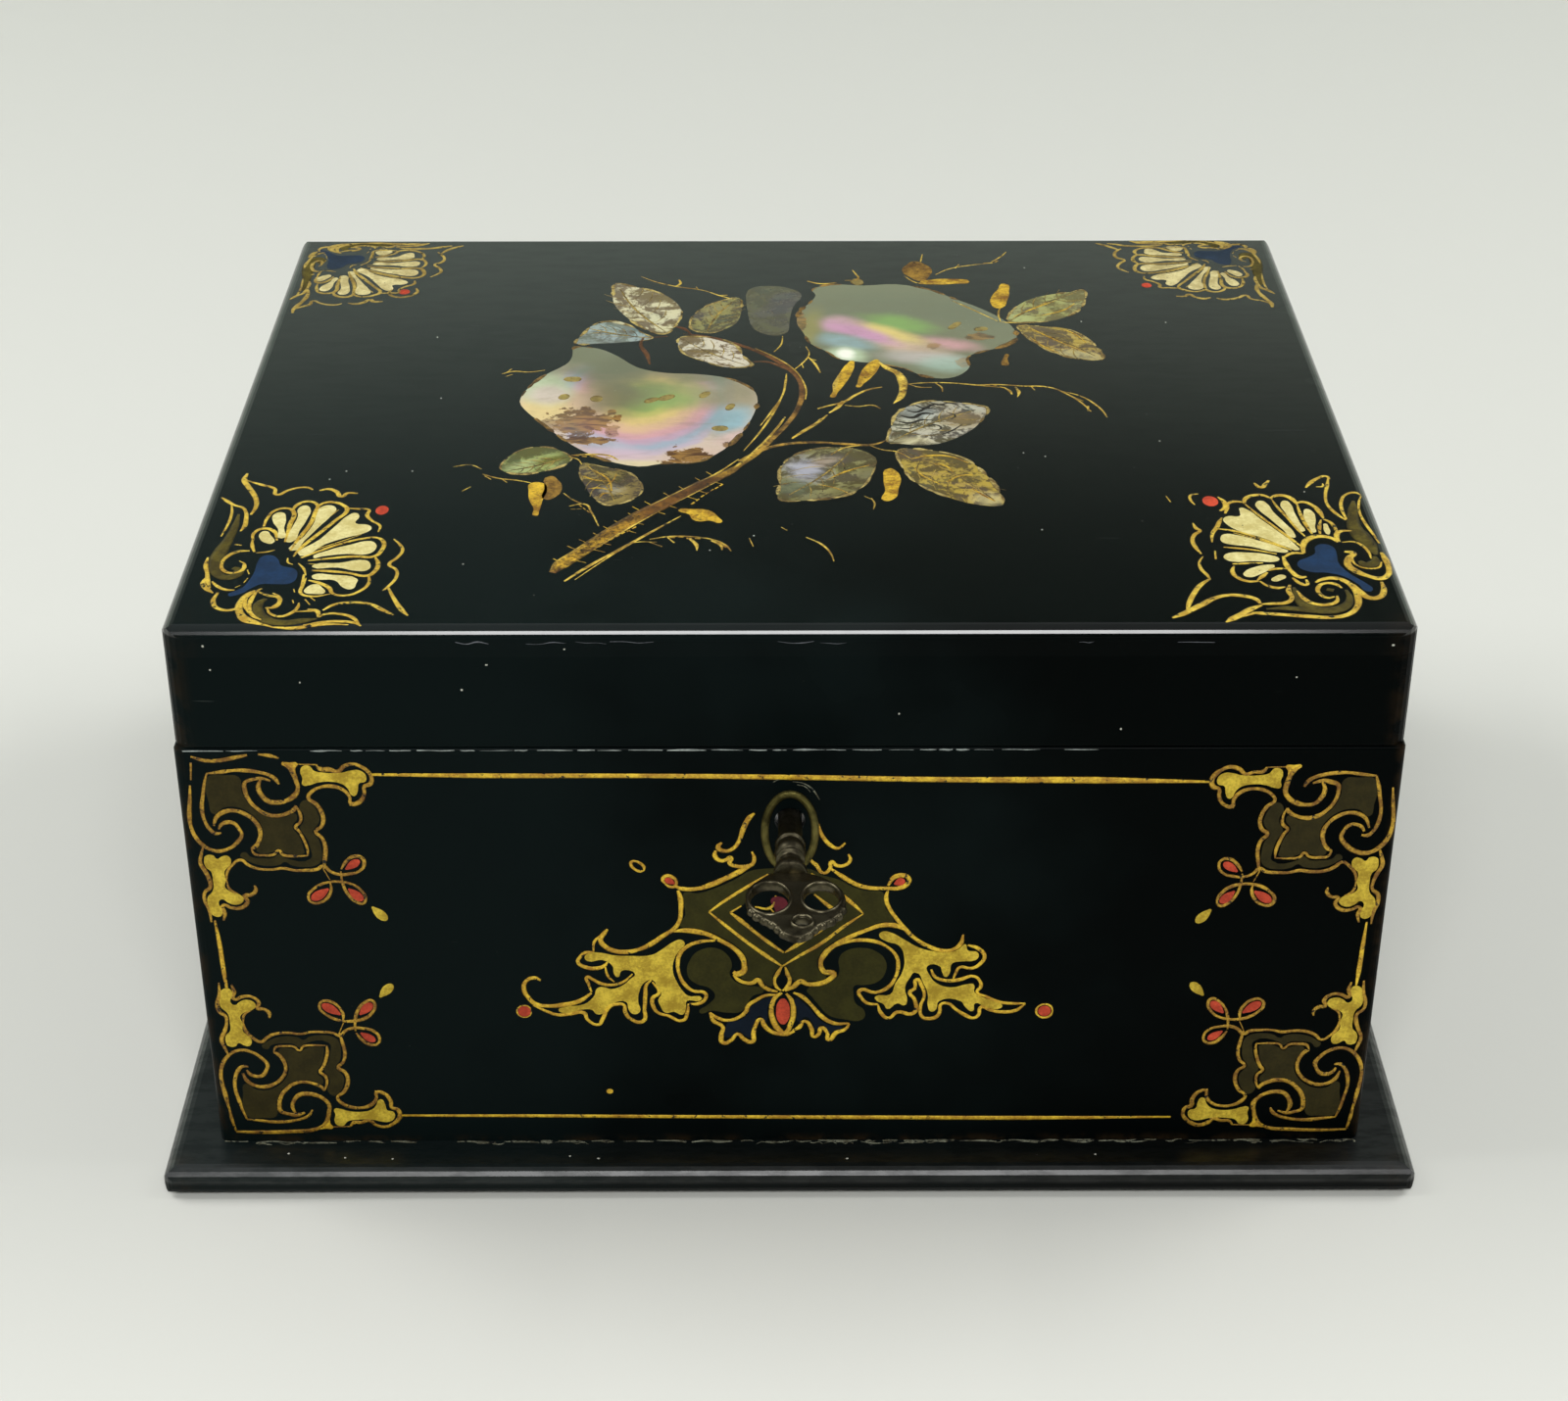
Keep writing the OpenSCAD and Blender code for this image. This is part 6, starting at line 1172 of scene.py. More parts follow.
RIGHT_GOLD = [
    [1.1, (88, -53.6, 0.6), (87.2, -55.6), (86.4, -58), (85.2, -60.6), (84.6, -64.5, 0.6)],
    [0.8, (84.7, -68.2), (84.4, -71.8)],
    [0.7, (83.2, -47.8), (82.6, -45.5), (83, -43.3), (84.5, -42.8)],
    [1.1, (88.4, -44.2, 0.6), (89.4, -46.5), (89, -49.5), (88, -50.6)],
    [1, (88.9, -51.8), (89.6, -49.6), (90.2, -47.2), (91.6, -46.3), (93.4, -46.8)],
    [1.1, (93.4, -47.4), (94, -45), (95.6, -43.6), (97.6, -43.4), (99.2, -44.8)],
    [1.1, (99, -45), (100.6, -43.6), (102.4, -43.8), (103.6, -45.4), (104.2, -47.6)],
    [1.1, (104, -47.2), (105.6, -46.6), (107.2, -48), (108.2, -50.8), (108.6, -54)],
    [0.9, (108.4, -54.2), (109.6, -55.6), (110.2, -58), (110.2, -61.4)],
    [0.8, (93.6, -47.6), (95.4, -52), (98, -57.5), (100.6, -63), (102.2, -66.5)],
    [0.7, (99.3, -45.2), (100, -49), (101.4, -54), (102.6, -59), (103.6, -62)],
    [0.8, (104.2, -47.6), (104.2, -52), (104.6, -56.5), (105.2, -61)],
    [0.8, (108, -54.6), (107.2, -57.6), (106.8, -61)],
    [1.4, (102.2, -69.2), (102.6, -66), (104, -63.2), (106.2, -62), (108.6, -62.6), (109.8, -64.6)],
    [1.2, (110, -64.6), (110, -61.6), (111, -59.8), (113.4, -59.6)],
    [0.7, (110.6, -64.6), (113, -64.4), (114.4, -66), (115.2, -69), (115.2, -71.6)],
    [0.8, (86.6, -58.6), (89.6, -59.5), (93, -61.7), (97, -65.1), (100, -68)],
    [0.4, (89.4, -60.4), (93.6, -63), (98, -66.8)],
    [0.7, (86.6, -66.6), (89.4, -67.1), (93, -68), (96.8, -69.6)],
    [1.1, (97.9, -70.6), (98, -74), (98.6, -77), (100, -79.4), (101.2, -79.2)],
    [1.3, (98.2, -70.8), (100, -69.2), (102.2, -69.4)],
    [0.9, (87.4, -73.8), (90, -73.6), (93.5, -73.4)],
    [1, (87.6, -74.6), (87, -77), (87.6, -79.4), (89.4, -81), (91.6, -81)],
    [1, (91.4, -80.6), (92.6, -79), (93.8, -77.4)],
    [0.9, (94, -76.6), (96, -75.8), (97.8, -76)],
    [0.9, (91.8, -81), (93, -82.8), (94.8, -83.8), (96.4, -83.4)],
    [1, (98.4, -79.6), (99.6, -82), (100.6, -82.6), (101, -80.4)],
    [1, (97.4, -82.6), (96.8, -85), (97, -88), (95.6, -89.8), (92.6, -90.2), (90.8, -90.4)],
    [1.3, (102.6, -81.6, 0.7), (104, -80.4), (106.4, -79.8), (108.4, -81), (109.6, -84), (109.8, -88),
     (108.8, -92), (106.4, -94.8), (103, -95.7), (99, -95.3), (95, -94.7), (90, -94), (88.4, -93.8, 0.8)],
    [0.9, (107.4, -84), (106.2, -82.2), (104.2, -82), (102.8, -83.6), (102.6, -86), (103.8, -87.8),
     (105.4, -87.4)],
    [1, (98.4, -85), (99.4, -88.4), (101.2, -90.4), (103.6, -90.6), (105.4, -89.4), (105.9, -87)],
    [1.5, (90.8, -90.8, 0.8), (88.6, -92.2), (86.2, -94.6), (84.4, -96.2), (83, -97.6, 0.7)],
    [1.3, (89, -94), (86, -95.4)],
    [1.4, (90.6, -90.2, 0.8), (90, -88.4), (87.6, -87), (84.6, -86.8), (82, -88), (79.4, -90.4), (77, -92.6),
     (75, -94.4), (73, -95.8, 0.7)],
    [1.1, (82, -80.2), (80, -82.6), (78.4, -85.8), (77, -89.6), (76.2, -92.8)],
    [0.9, (81.8, -56, 0.6), (82.2, -58.4), (82.8, -59.4), (81.6, -61), (80.8, -63.5), (81, -66.5),
     (81.8, -69.6)],
    [0.7, (82, -70.6), (81, -73), (81, -76), (81.8, -78.4), (82.2, -80.4)],
    [1.4, (109.8, -82.4), (110.6, -85.4), (112.2, -88), (114, -87.6), (115.3, -85), (115.5, -81.4)],
    [1.5, (110.4, -68.6), (112, -69.2), (110.8, -71.4), (110.2, -74.4), (111.4, -77), (113.4, -79),
     (115.6, -80), (117.2, -78.6), (118, -75.6), (118.1, -72), (117.7, -69)],
    [0.6, (112, -69.8), (111.4, -72), (112, -74.6), (114, -75.8), (116, -75.4), (117, -73)],
    [0.8, (113.2, -54.5), (113, -50), (113.6, -46), (115, -43.2), (117, -42.3), (118, -43.4)],
    [0.7, (118, -43.8), (117, -47), (116.4, -52), (116.8, -57), (117.6, -62), (118, -65)],
    [1, (107.2, -40), (108.6, -37.6), (110.6, -35.4), (112.2, -34.6), (112.8, -36)],
    [0.8, (112.6, -35.4), (111.8, -39), (110.8, -43), (110.4, -47.5), (111.4, -51.6), (113, -54.8)],
    [0.6, (109.4, -39.6), (110.8, -39.4), (111, -38)],
    [1, (96.8, -37.8), (98, -39.8), (99, -38.4), (100, -36.6)],
    [0.5, (77.8, -43.8), (78.4, -46.5)],
]
RIGHT_CREAM = [
    [(92.4, -49.2), (93.6, -50), (95.6, -54), (98.6, -60), (101.2, -66), (101.4, -68), (99.2, -66.6),
     (95, -62.6), (90.4, -59.3), (88.6, -56.6), (88.2, -54.2), (89.4, -53), (91.6, -53), (92, -51)],
    [(95.7, -47.4), (97, -46), (98.1, -47.4), (98.8, -51), (100.4, -56), (101.7, -61), (101.3, -62.6),
     (99.6, -59), (97.6, -54), (95.9, -49.8)],
    [(100.9, -47.2), (102, -46), (102.9, -47.6), (103.1, -51.4), (103.5, -56), (103.4, -60), (102, -56),
     (101.2, -51.4)],
    [(105, -51.2), (105.8, -49.8), (106.9, -51.2), (107, -54), (106.3, -57.6), (105.6, -60.4), (105, -57)],
    [(108, -57.8), (108.5, -56.4), (109, -58.2), (108.9, -60.4), (108.4, -61.2), (107.9, -60)],
    [(86.5, -62.8), (87.5, -61), (90, -61.4), (94, -63.8), (98, -67), (99.2, -68.6), (97, -68.8), (92, -66.4),
     (88, -65.4), (86.7, -64.5)],
    [(86.1, -70.6), (87.3, -69.2), (91, -69), (95, -69.9), (97, -71.6), (96.2, -72.8), (92, -72.6),
     (87.5, -72.8), (86.3, -71.8)],
    [(89, -78.6), (89.6, -76.8), (91.6, -75.2), (94.2, -74.2), (95.6, -74.4), (94.2, -76.4), (92, -78.4),
     (90, -79.4)],
    [(94.1, -80.6), (95, -79.2), (96.6, -78.4), (97.2, -79.2), (96, -80.6), (94.7, -81.2)],
]
RIGHT_BLUE = [[(105, -66.4), (106.6, -65.4), (108.3, -66.4), (108.7, -69.6), (108.4, -73), (109.2, -76.4),
               (110.5, -79), (112.4, -82), (113.3, -84.4), (112.3, -85.4), (110.8, -82.4), (108.4, -79),
               (105.6, -77.6), (102.4, -77.2), (100.4, -75.4), (100.6, -72.8), (102.8, -71), (104.4, -69.4)]]
RIGHT_OLIVE = [
    [2.4, (98, -83.5, 0.5), (98.3, -88, 0.9), (99.6, -91.6, 1.1), (103.2, -92.9, 1.2), (106.6, -91.4),
     (108.2, -88, 0.6), (108, -84.6, 0.5)],
    [1.7, (91.4, -92.3, 0.4), (95.6, -92), (100, -93, 1.1), (104, -93.6, 0.8)],
    [2.4, (104.3, -84.4), (105.6, -84.9)],
    [2.5, (116, -46, 0.5), (115.3, -50, 0.8), (114.6, -54), (114.2, -58, 1.2), (114.9, -62, 1.4),
     (116, -66, 1.1), (116.5, -70, 0.7)],
    [2.5, (116, -70.6, 0.7), (115.6, -73.4), (113.8, -74.2), (112.7, -72.6, 0.7)],
]


def kept_on_lid(limit_x, limit_y, give):
    """Bends points past the limits back, so that lines near the rim stay on the lid."""

    def squeeze(p):
        x, y = p[0], p[1]
        if abs(x) > limit_x:
            x = math.copysign(limit_x + (abs(x) - limit_x) * give, x)
        if y > limit_y:
            y = limit_y + (y - limit_y) * give
        return (x, y, *p[2:])

    return squeeze


RIGHT_DOT = (86.6, -46.2, 1.6, 2.3)
BACK_CURL = [0.8, (-94, 67.5), (-94.6, 65), (-92.8, 62.6), (-90, 62.8), (-88, 65.4), (-88.4, 68)]
# Corners made from the front left one: scale and shift, the red dot, and how points are kept on the lid
LID_CORNERS = {
    "front_left": ((1, 1, 0, 0), (-83.1, -49.7, 1.3, 2), kept_on_lid(118, 99, 0.3)),
    "back_left": ((1, -0.73, -6.5, 29.2), (-91, 65.6, 1.3, 1.5), kept_on_lid(112, 92, 0.5)),
    "back_right": ((-1, -0.72, 3.5, 32.2), (86.2, 69.1, 1.2, 1.4), kept_on_lid(112, 92, 0.5)),
}


def paint_lid_corners():
    """The four corners of the lid; those at the back are duller."""
    for place, paints in (("front", LID_PAINTS), ("back", BACK_PAINTS)):
        gold, cream, blue, olive, red = [], [], [], [], []
        for name, (move, dot, squeeze) in LID_CORNERS.items():
            if name.startswith(place):
                gold += turned(FAN_GOLD + FRAME_GOLD + LEAF_TIP + SCROLL_GOLD, *move, squeeze)
                cream += turned(FAN_CREAM, *move)
                blue += turned(TREFOIL, *move)
                olive += turned(VOLUTE_OLIVE, *move, squeeze)
                red.append(oval(*dot))
        if place == "front":
            gold += RIGHT_GOLD
            cream += RIGHT_CREAM
            blue += RIGHT_BLUE
            olive += RIGHT_OLIVE
            red.append(oval(*RIGHT_DOT))
        else:
            gold.append(BACK_CURL)
        draw(f"lid_{place}_gold", gold, *LID, paints["gold"], wobble=0.2)
        draw(f"lid_{place}_scrolls", olive, *LID, paints["olive"], flatten=0.02)
        fill(f"lid_{place}_cream", cream, *LID, paints["cream"], PALE_HIGH)
        fill(f"lid_{place}_blue", blue, *LID, paints["blue"], BLUE_HIGH)
        fill(f"lid_{place}_red", red, *LID, red_paint, RED_HIGH)


# ---------- the rose spray ----------

STEMS = [
    [3.7, (-46.6, -77, 0.9), (-45, -73.5, 1.05), (-42, -69), (-36, -60), (-30, -52), (-24, -45, 0.95),
     (-18, -38, 0.85), (-12, -31.5, 0.7), (-10, -28.5, 0.6)],
    [1.5, (-11, -30.5, 1.4), (-7, -23.5, 1.2), (-3, -15, 0.9), (0, -8, 0.85), (2.3, 0, 0.9), (3.2, 8),
     (2.6, 15), (0.5, 20.5), (-3, 26, 0.95), (-8, 31.5, 0.85), (-13, 35.5, 0.8), (-18, 38.6, 0.7),
     (-24, 40.5, 0.5)],
    [1.1, (-10.5, -27), (-6, -22), (-1, -18.8), (5, -17.9), (12, -18.6), (18, -19, 0.9), (21.5, -16.5, 0.6)],
    [1.2, (-31, 23, 0.6), (-32, 29), (-33.5, 34, 0.8), (-33, 38.5, 0.6)],
    [0.9, (-8, 24.5, 0.7), (-4.5, 24.4), (-1.2, 21.5), (0.5, 19.5, 0.6)],
    [1.1, (-22, 40, 0.6), (-24, 43.5), (-26.5, 45, 0.6)],
    [0.9, (-27.5, 39), (-32.5, 38, 0.8)],
]
STEM_LIGHTS = [
    [0.7, (-46, -72), (-40, -63.8), (-34.2, -55.6), (-28, -47.6), (-21.6, -40.4), (-15.5, -33.5),
     (-10.5, -26)],
    [0.45, (-44, -74.5), (-37.5, -65), (-31.5, -56.7), (-25.5, -49), (-19, -41.5), (-13.5, -35)],
    [0.4, (-45, -71), (-43.2, -71.3), (-41, -66), (-38.5, -64.5), (-36, -59)],
    [0.9, (-44, -80.6), (-40.5, -75.5), (-34.5, -68), (-28.5, -60.5), (-22, -52.5, 0.7)],
    [0.4, (-42, -80), (-37.5, -73), (-33, -66.5), (-27, -59)],
    [0.8, (-14, -34), (-9.5, -27), (-5.5, -18.5), (-2.5, -11), (-0.6, -5)],
    [0.5, (-9.5, -22), (-6.5, -14), (-4, -6), (-2, 2), (-1, 8, 0.7)],
    [0.5, (-6, -9.5), (-3.5, -2), (-1.2, 6), (-0.4, 14), (-0.2, 18)],
    [0.45, (3.9, 4), (4.1, 9), (3.4, 14), (1.4, 20.4), (-2.2, 26.3), (-7.4, 32.2)],
    [0.9, (0.8, -16), (3.5, -12), (6.5, -7.8), (8.6, -4)],
    [1, (9, -3), (11, 0), (12.6, 3.2)],
    [0.8, (6.5, -0.8), (9, 0.8), (12, 2.5), (15.5, 7), (18.5, 9.6), (21, 10.6)],
    [0.5, (12.5, 1), (15.5, 0.4), (18.6, 1), (20.3, -0.8)],
    [1.9, (20.6, 24.4, 0.5), (22.4, 21), (24.6, 18.4, 1.1), (25.6, 14), (25.6, 9.4), (24.8, 5, 0.8),
     (23.2, 1.8, 0.3)],
    [1.3, (10.2, 7, 0.4), (10.6, 12), (11.6, 17)],
    [0.5, (17, -19), (20, -21.5), (23, -22.5), (26, -26)],
    [0.5, (16, -19.3), (12, -20.5), (9, -24)],
    [0.6, (-46, -24), (-42.5, -23.6), (-38, -24.2), (-36, -26.3)],
    [0.5, (-46.5, -24.5), (-44.5, -26), (-43.5, -28.5)],
    [0.5, (49.8, 47), (49.6, 52), (50.3, 56)],
    [0.6, (50, 47), (52.5, 46.6), (57, 46.9)],
    [0.4, (49.5, 47), (46, 51.5), (42, 56.5), (39, 60)],
    [0.5, (26, 12), (30, 12.8), (36, 12.8), (42, 11.6), (47, 10.4)],
    [0.6, (42, 11.6), (46, 11.9), (52, 11.1), (58, 10.4), (62, 6.4), (64.6, 2), (66.2, -2.4)],
    [0.5, (60.5, 8.4), (64.5, 5.8), (67.6, 1), (69, -3), (69.4, -5.4)],
    [0.8, (50.6, 10.6), (51.2, 7.8), (50.7, 5.2, 0.5)],
    [0.7, (48, 10.4), (49.2, 8.4), (49.6, 6.6)],
    [0.6, (54.2, 10.6), (54.8, 8.8)],
    [0.5, (33, 12.6), (34.2, 10.4), (34.3, 8)],
    [0.5, (27, 12.2), (29, 10.6), (32, 10.4)],
    [0.6, (63.2, 5), (65, 3)],
    [0.9, (65.8, 0.4), (65.6, -2.2)],
    [0.4, (1.5, 20), (4, 25), (5, 29), (4.3, 33)],
    [0.6, (4.6, 27.5), (6.2, 23.5), (7.4, 18.4)],
    [0.5, (3.2, 24), (3.6, 21)],
    [0.6, (5.2, 26), (6.6, 25.2)],
    [0.4, (-3, 30), (-1.4, 34), (-1, 39)],
    [0.45, (-64, -33), (-60.5, -35), (-56.5, -36), (-53, -37.4)],
    [0.6, (-63.5, -33.8), (-62, -35.6)],
    [0.5, (-60, -35), (-58.6, -37)],
    [0.4, (-70.5, -29.5), (-67, -28.6), (-64.4, -30.6)],
    [0.5, (-45, -48), (-42, -47), (-40.4, -50.5), (-38.5, -57)],
    [0.4, (-46.5, -42), (-44, -45.5), (-41.5, -47.4)],
    [0.5, (-44.6, -49.4), (-42.4, -49.2)],
    [0.5, (-66, -39), (-67.6, -41)],
    [0.4, (-33, -66), (-31, -64.2), (-26.5, -64)],
    [0.5, (-28, -62.8), (-24, -61.6), (-19, -61.8), (-15, -63.2), (-12.6, -65.6), (-11.6, -68)],
    [1, (-20, -62.5), (-18.6, -65.2), (-18.4, -67.8, 0.5)],
    [0.9, (-15.6, -63.4), (-13.6, -65.6), (-13.4, -67.6, 0.5)],
    [0.7, (-24.4, -62), (-23, -64.4)],
    [0.6, (-28, -64), (-25.4, -66)],
    [0.5, (-8, -62.4), (-7.2, -66)],
    [0.4, (-1.6, -57.6), (-0.4, -59)],
    [0.5, (3.4, -62), (6.4, -65), (8.2, -69), (8.8, -72.4)],
    [0.5, (17, -44.5), (17.6, -47), (17.3, -49.6)],
    [0.4, (15.6, -43.6), (17, -45)],
    [0.45, (-64, 18), (-61.5, 19.4), (-58, 19), (-54.5, 20)],
    [0.5, (-62, 20.8), (-63, 18.8)],
    [0.5, (-63.2, 16.4), (-61.6, 17.8)],
    [0.4, (-35, 75), (-31, 71.4), (-26, 68.6), (-20, 66.4), (-15.5, 62.8), (-12, 60.6)],
    [0.9, (-26.4, 68.8), (-25.4, 70.6), (-25.8, 73)],
    [0.6, (-21, 66.6), (-21.6, 68.6)],
    [0.6, (-16, 63.2), (-14, 63.4)],
    [0.4, (33.4, 89), (33, 86), (32.6, 83)],
    [0.4, (36, 76), (39.5, 79.6), (45, 82), (49, 83)],
    [0.9, (48, 83.2), (50.5, 83.6), (51.6, 84.8)],
    [0.5, (50, 84), (52.6, 87.6), (54, 90.4)],
    [0.6, (41, 80), (42, 82.4)],
    [0.7, (5, 72), (8, 70.4), (12, 71)],
    [0.5, (14, 72.4), (17, 73), (16.6, 77), (16, 79)],
    [0.5, (28.5, 75), (30.5, 71.6), (32.4, 70)],
    [0.8, (31, 70.8), (35, 70.4), (40, 71)],
]
SPRAY_GOLD = [
    drop((9.8, 5), (14.8, 25), 2.6),
    drop((15.6, 10.4), (20.4, 25.6), 3.2),
    [(-22.6, -49.8), (-19.6, -49.4), (-16.4, -50), (-14.4, -53), (-13.8, -55.6), (-16.2, -54.6), (-18.2, -55),
     (-19.6, -54), (-20.4, -51.8)],
    [(-53.6, -37.4), (-51.2, -37.2), (-50, -40.4), (-50.6, -45), (-51, -50), (-51.6, -52.4), (-52.2, -49),
     (-53.4, -45), (-53.8, -41)],
    [(32, 71), (35, 72.8), (39, 73.2), (44, 71.4), (40, 70.2), (35.6, 69.8)],
    [(21.2, -30.6), (22.4, -31.6), (23.4, -35), (22.8, -40), (21.6, -45), (19.6, -45.8), (20, -41),
     (19.8, -36)],
    [(48.2, 58), (48.6, 62), (50.4, 66.6), (52.2, 70.2), (53, 65), (52.2, 60), (50.6, 55.4), (49.4, 55.2)],
]
SPRAY_BROWN = [
    [(-49.8, -34), (-48, -36), (-47, -39.4), (-48, -43.6), (-50, -45), (-50.6, -40)],
    [(28, 78.6), (29.2, 82), (31.2, 84.4), (33.6, 82.6), (35.2, 79.4), (34.6, 75.4), (32.4, 72),
     (29.6, 74.6)],
    [(49.2, 22), (49.9, 26), (50, 28.6), (49.2, 27)],
]
# Rows of dabs: start, end, size
BEAD_ROWS = [
    ((1, -15.8), (8.4, -4.4), 1.1), ((11, 0.6), (12.4, 4), 1.2), ((44, 12.2), (50, 9.6), 0.8),
    ((52, 11), (58, 10.6), 0.9), ((-24, -61.8), (-16, -62.6), 1.0), ((-14, -64), (-12, -67.4), 1.0),
    ((-45.4, -24), (-37, -25.4), 0.7),
    ((-43, -47.4), (-39.6, -53), 0.6), ((-20, -47), (-12.6, -36), 0.9), ((-38, -66), (-30, -56), 0.6),
]
FADED_LEAF = (-3.4, 40.6)  # base of the leaf that has lost its veins and its rim
# Base and tip of each leaf
LEAF_RIBS = [
    ((-28, 41.5), (-40.3, 69.5)), ((-31.5, 38), (-46.5, 44)), ((-9.5, 22.8), (-24, 37.5)), ((-18.5, 41.8),
    (-11.8, 61)), ((-3.4, 40.6), (-2.6, 67.5)), ((51.8, 47.4), (70.4, 65.8)), ((54, 44), (71, 26)),
    ((22.4, -17.2), (42.6, -0.6)), ((13.6, -21.2), (-1.2, -44.4)), ((24, -22), (43.2, -47.2)),
    ((-46.8, -24.8), (-59.6, -31.8)), ((-42.8, -28.2), (-35.6, -46.8)),
]
# Dark wavy lines across the leaf right of the stem
LEAF_WAVES = [
    [0.8, (24, -7.5), (26.5, -8.2), (29, -6.6), (31.4, -6.8)],
    [0.9, (24.6, -4.4), (27, -5.4), (29.6, -3.2), (31.8, -3.6)],
    [0.7, (26, -1.6), (28, -2.6), (30.4, -0.6), (32.4, -1)],
    [0.8, (28, 1), (29.8, -0.4), (32, 1.4), (34.4, 0.8)],
    [0.6, (31, 2.8), (33, 1.2), (35.6, 2.2), (37.4, 1)], [0.6, (23.2, -10.6), (26, -11), (28.4, -9.4)],
    [0.5, (30, -10), (32, -9.2), (33, -11), (31, -12)], [0.5, (34.6, -2.6), (36.4, -4.4), (35.4, -6.4)],
    [0.5, (33, -14), (35.4, -12), (37.6, -9)],
]
# Gold lines drawn over the leaves
LEAF_GILDING = [
    [0.6, (26, -26), (30, -24.4), (34, -24.8), (38, -28)], [0.5, (26.4, -30), (28, -34), (31.4, -38)],
    [0.6, (33, -37), (36, -34), (38.6, -33.6)], [0.5, (30, -28), (33, -29.4), (34.6, -32.4)],
    [0.6, (38, -40), (40, -43), (42.4, -46)], [0.5, (8, -36), (12, -32), (17, -29)],
    [0.4, (6, -38), (10, -40), (13, -43)],
    [0.5, (56, 44), (59, 40), (63, 35), (68, 29.4)], [0.5, (56, 38), (58.6, 33), (62, 29)],
    [0.5, (62, 44), (66, 40.6), (68.6, 35)], [0.5, (53, 50), (58, 55), (64, 60)],
    [0.5, (60, 51), (65, 54), (68, 58)],
    [0.6, (-41, -31), (-37.6, -35.6), (-36.6, -41)], [0.5, (-43, -34), (-40, -36), (-37.4, -36.4)],
    [0.5, (-41.6, -40), (-39.4, -39.6), (-37, -40.6)], [0.5, (-39, -44), (-38, -42), (-36.8, -42)],
    [0.5, (-36, -33), (-36.6, -36), (-37.6, -38)],
]
# Middle line of the cut stem; half its thickness, and the spacing of its thorns and of the dabs, in mm
CUT_STEM = [(-45, -73.5), (-42, -69), (-36, -60), (-30, -52), (-24, -45), (-18, -38), (-13, -32.5)]
STEM_HALF, THORN_GAP, BEAD_GAP = 1.6, 1.9, 1.7


def thorns():
    """Short spines on both sides of the cut stem."""
    out = []
    for start, end in zip(CUT_STEM, CUT_STEM[1:]):
        (x0, y0), (length, ux, uy) = start, direction(start, end)
        for k in range(int(length / THORN_GAP)):
            side = -1 if k % 2 else 1
            t = (k + 0.5) * THORN_GAP + brush.uniform(-0.4, 0.4)
            sx, sy = x0 + ux * t - side * uy * STEM_HALF, y0 + uy * t + side * ux * STEM_HALF
            reach = brush.uniform(1.2, 2.6)
            tip = (sx - side * uy * reach + ux * 0.3, sy + side * ux * reach + uy * 0.3)
            out.append([0.45, (sx, sy), tip])
    return out


def bead_rows():
    """Rows of small gold dabs along the fine stems."""
    out = []
    for start, end, size in BEAD_ROWS:
        (x0, y0), (length, ux, uy) = start, direction(start, end)
        for k in range(int(length / BEAD_GAP)):
            x, y = x0 + ux * k * BEAD_GAP, y0 + uy * k * BEAD_GAP + brush.uniform(-0.3, 0.3)
            out.append([size * brush.uniform(0.7, 1.2), (x, y), (x + ux * 1.1, y + uy * 1.1)])
    return out


def veins():
    """Midrib and side veins of each mother-of-pearl leaf."""
    out = []
    for start, end in LEAF_RIBS:
        if start == FADED_LEAF:
            continue
        (x0, y0), (length, ux, uy) = start, direction(start, end)
        bend = length * 0.05
        rib = [(x0 + ux * length * t - uy * bend * math.sin(math.pi * t),
                y0 + uy * length * t + ux * bend * math.sin(math.pi * t)) for t in (0, 0.3, 0.6, 0.93)]
        out.append([0.5, *rib])
        for t in (0.2, 0.36, 0.52, 0.68):
            reach = length * 0.2 * math.sin(math.pi * (0.15 + t * 0.8))
            for side in (-1, 1):
                x, y = x0 + ux * length * t, y0 + uy * length * t
                mid = (x + ux * reach * 0.5 - side * uy * reach * 0.6,
                       y + uy * reach * 0.5 + side * ux * reach * 0.6)
                tip = (x + ux * reach * 1.2 - side * uy * reach, y + uy * reach * 1.2 + side * ux * reach)
                out.append([0.28, (x, y), mid, tip])
    return out


# Small oval marks in the roses: middle, half sizes, turn
ROSE_MARKS = [
    (-47.9, 15.1, 1.9, 1.2, 0), (-42.1, 4.6, 1.3, 1.5, 0), (-49.3, 5.6, 1.1, 1.4, -20),
    (-30, 3.8, 0.9, 1.7, -50), (-26.7, 5.1, 1.1, 2, -50), (-18.3, 6.7, 0.9, 1.7, -30),
    (-12.6, 0.2, 0.8, 1.7, -20), (-14.6, -10.8, 1.7, 1.2, 0), (45, 43, 1.6, 1, 20), (39, 45, 0.8, 2.4, -35),
    (17, 71.5, 1.4, 2, 10),
]


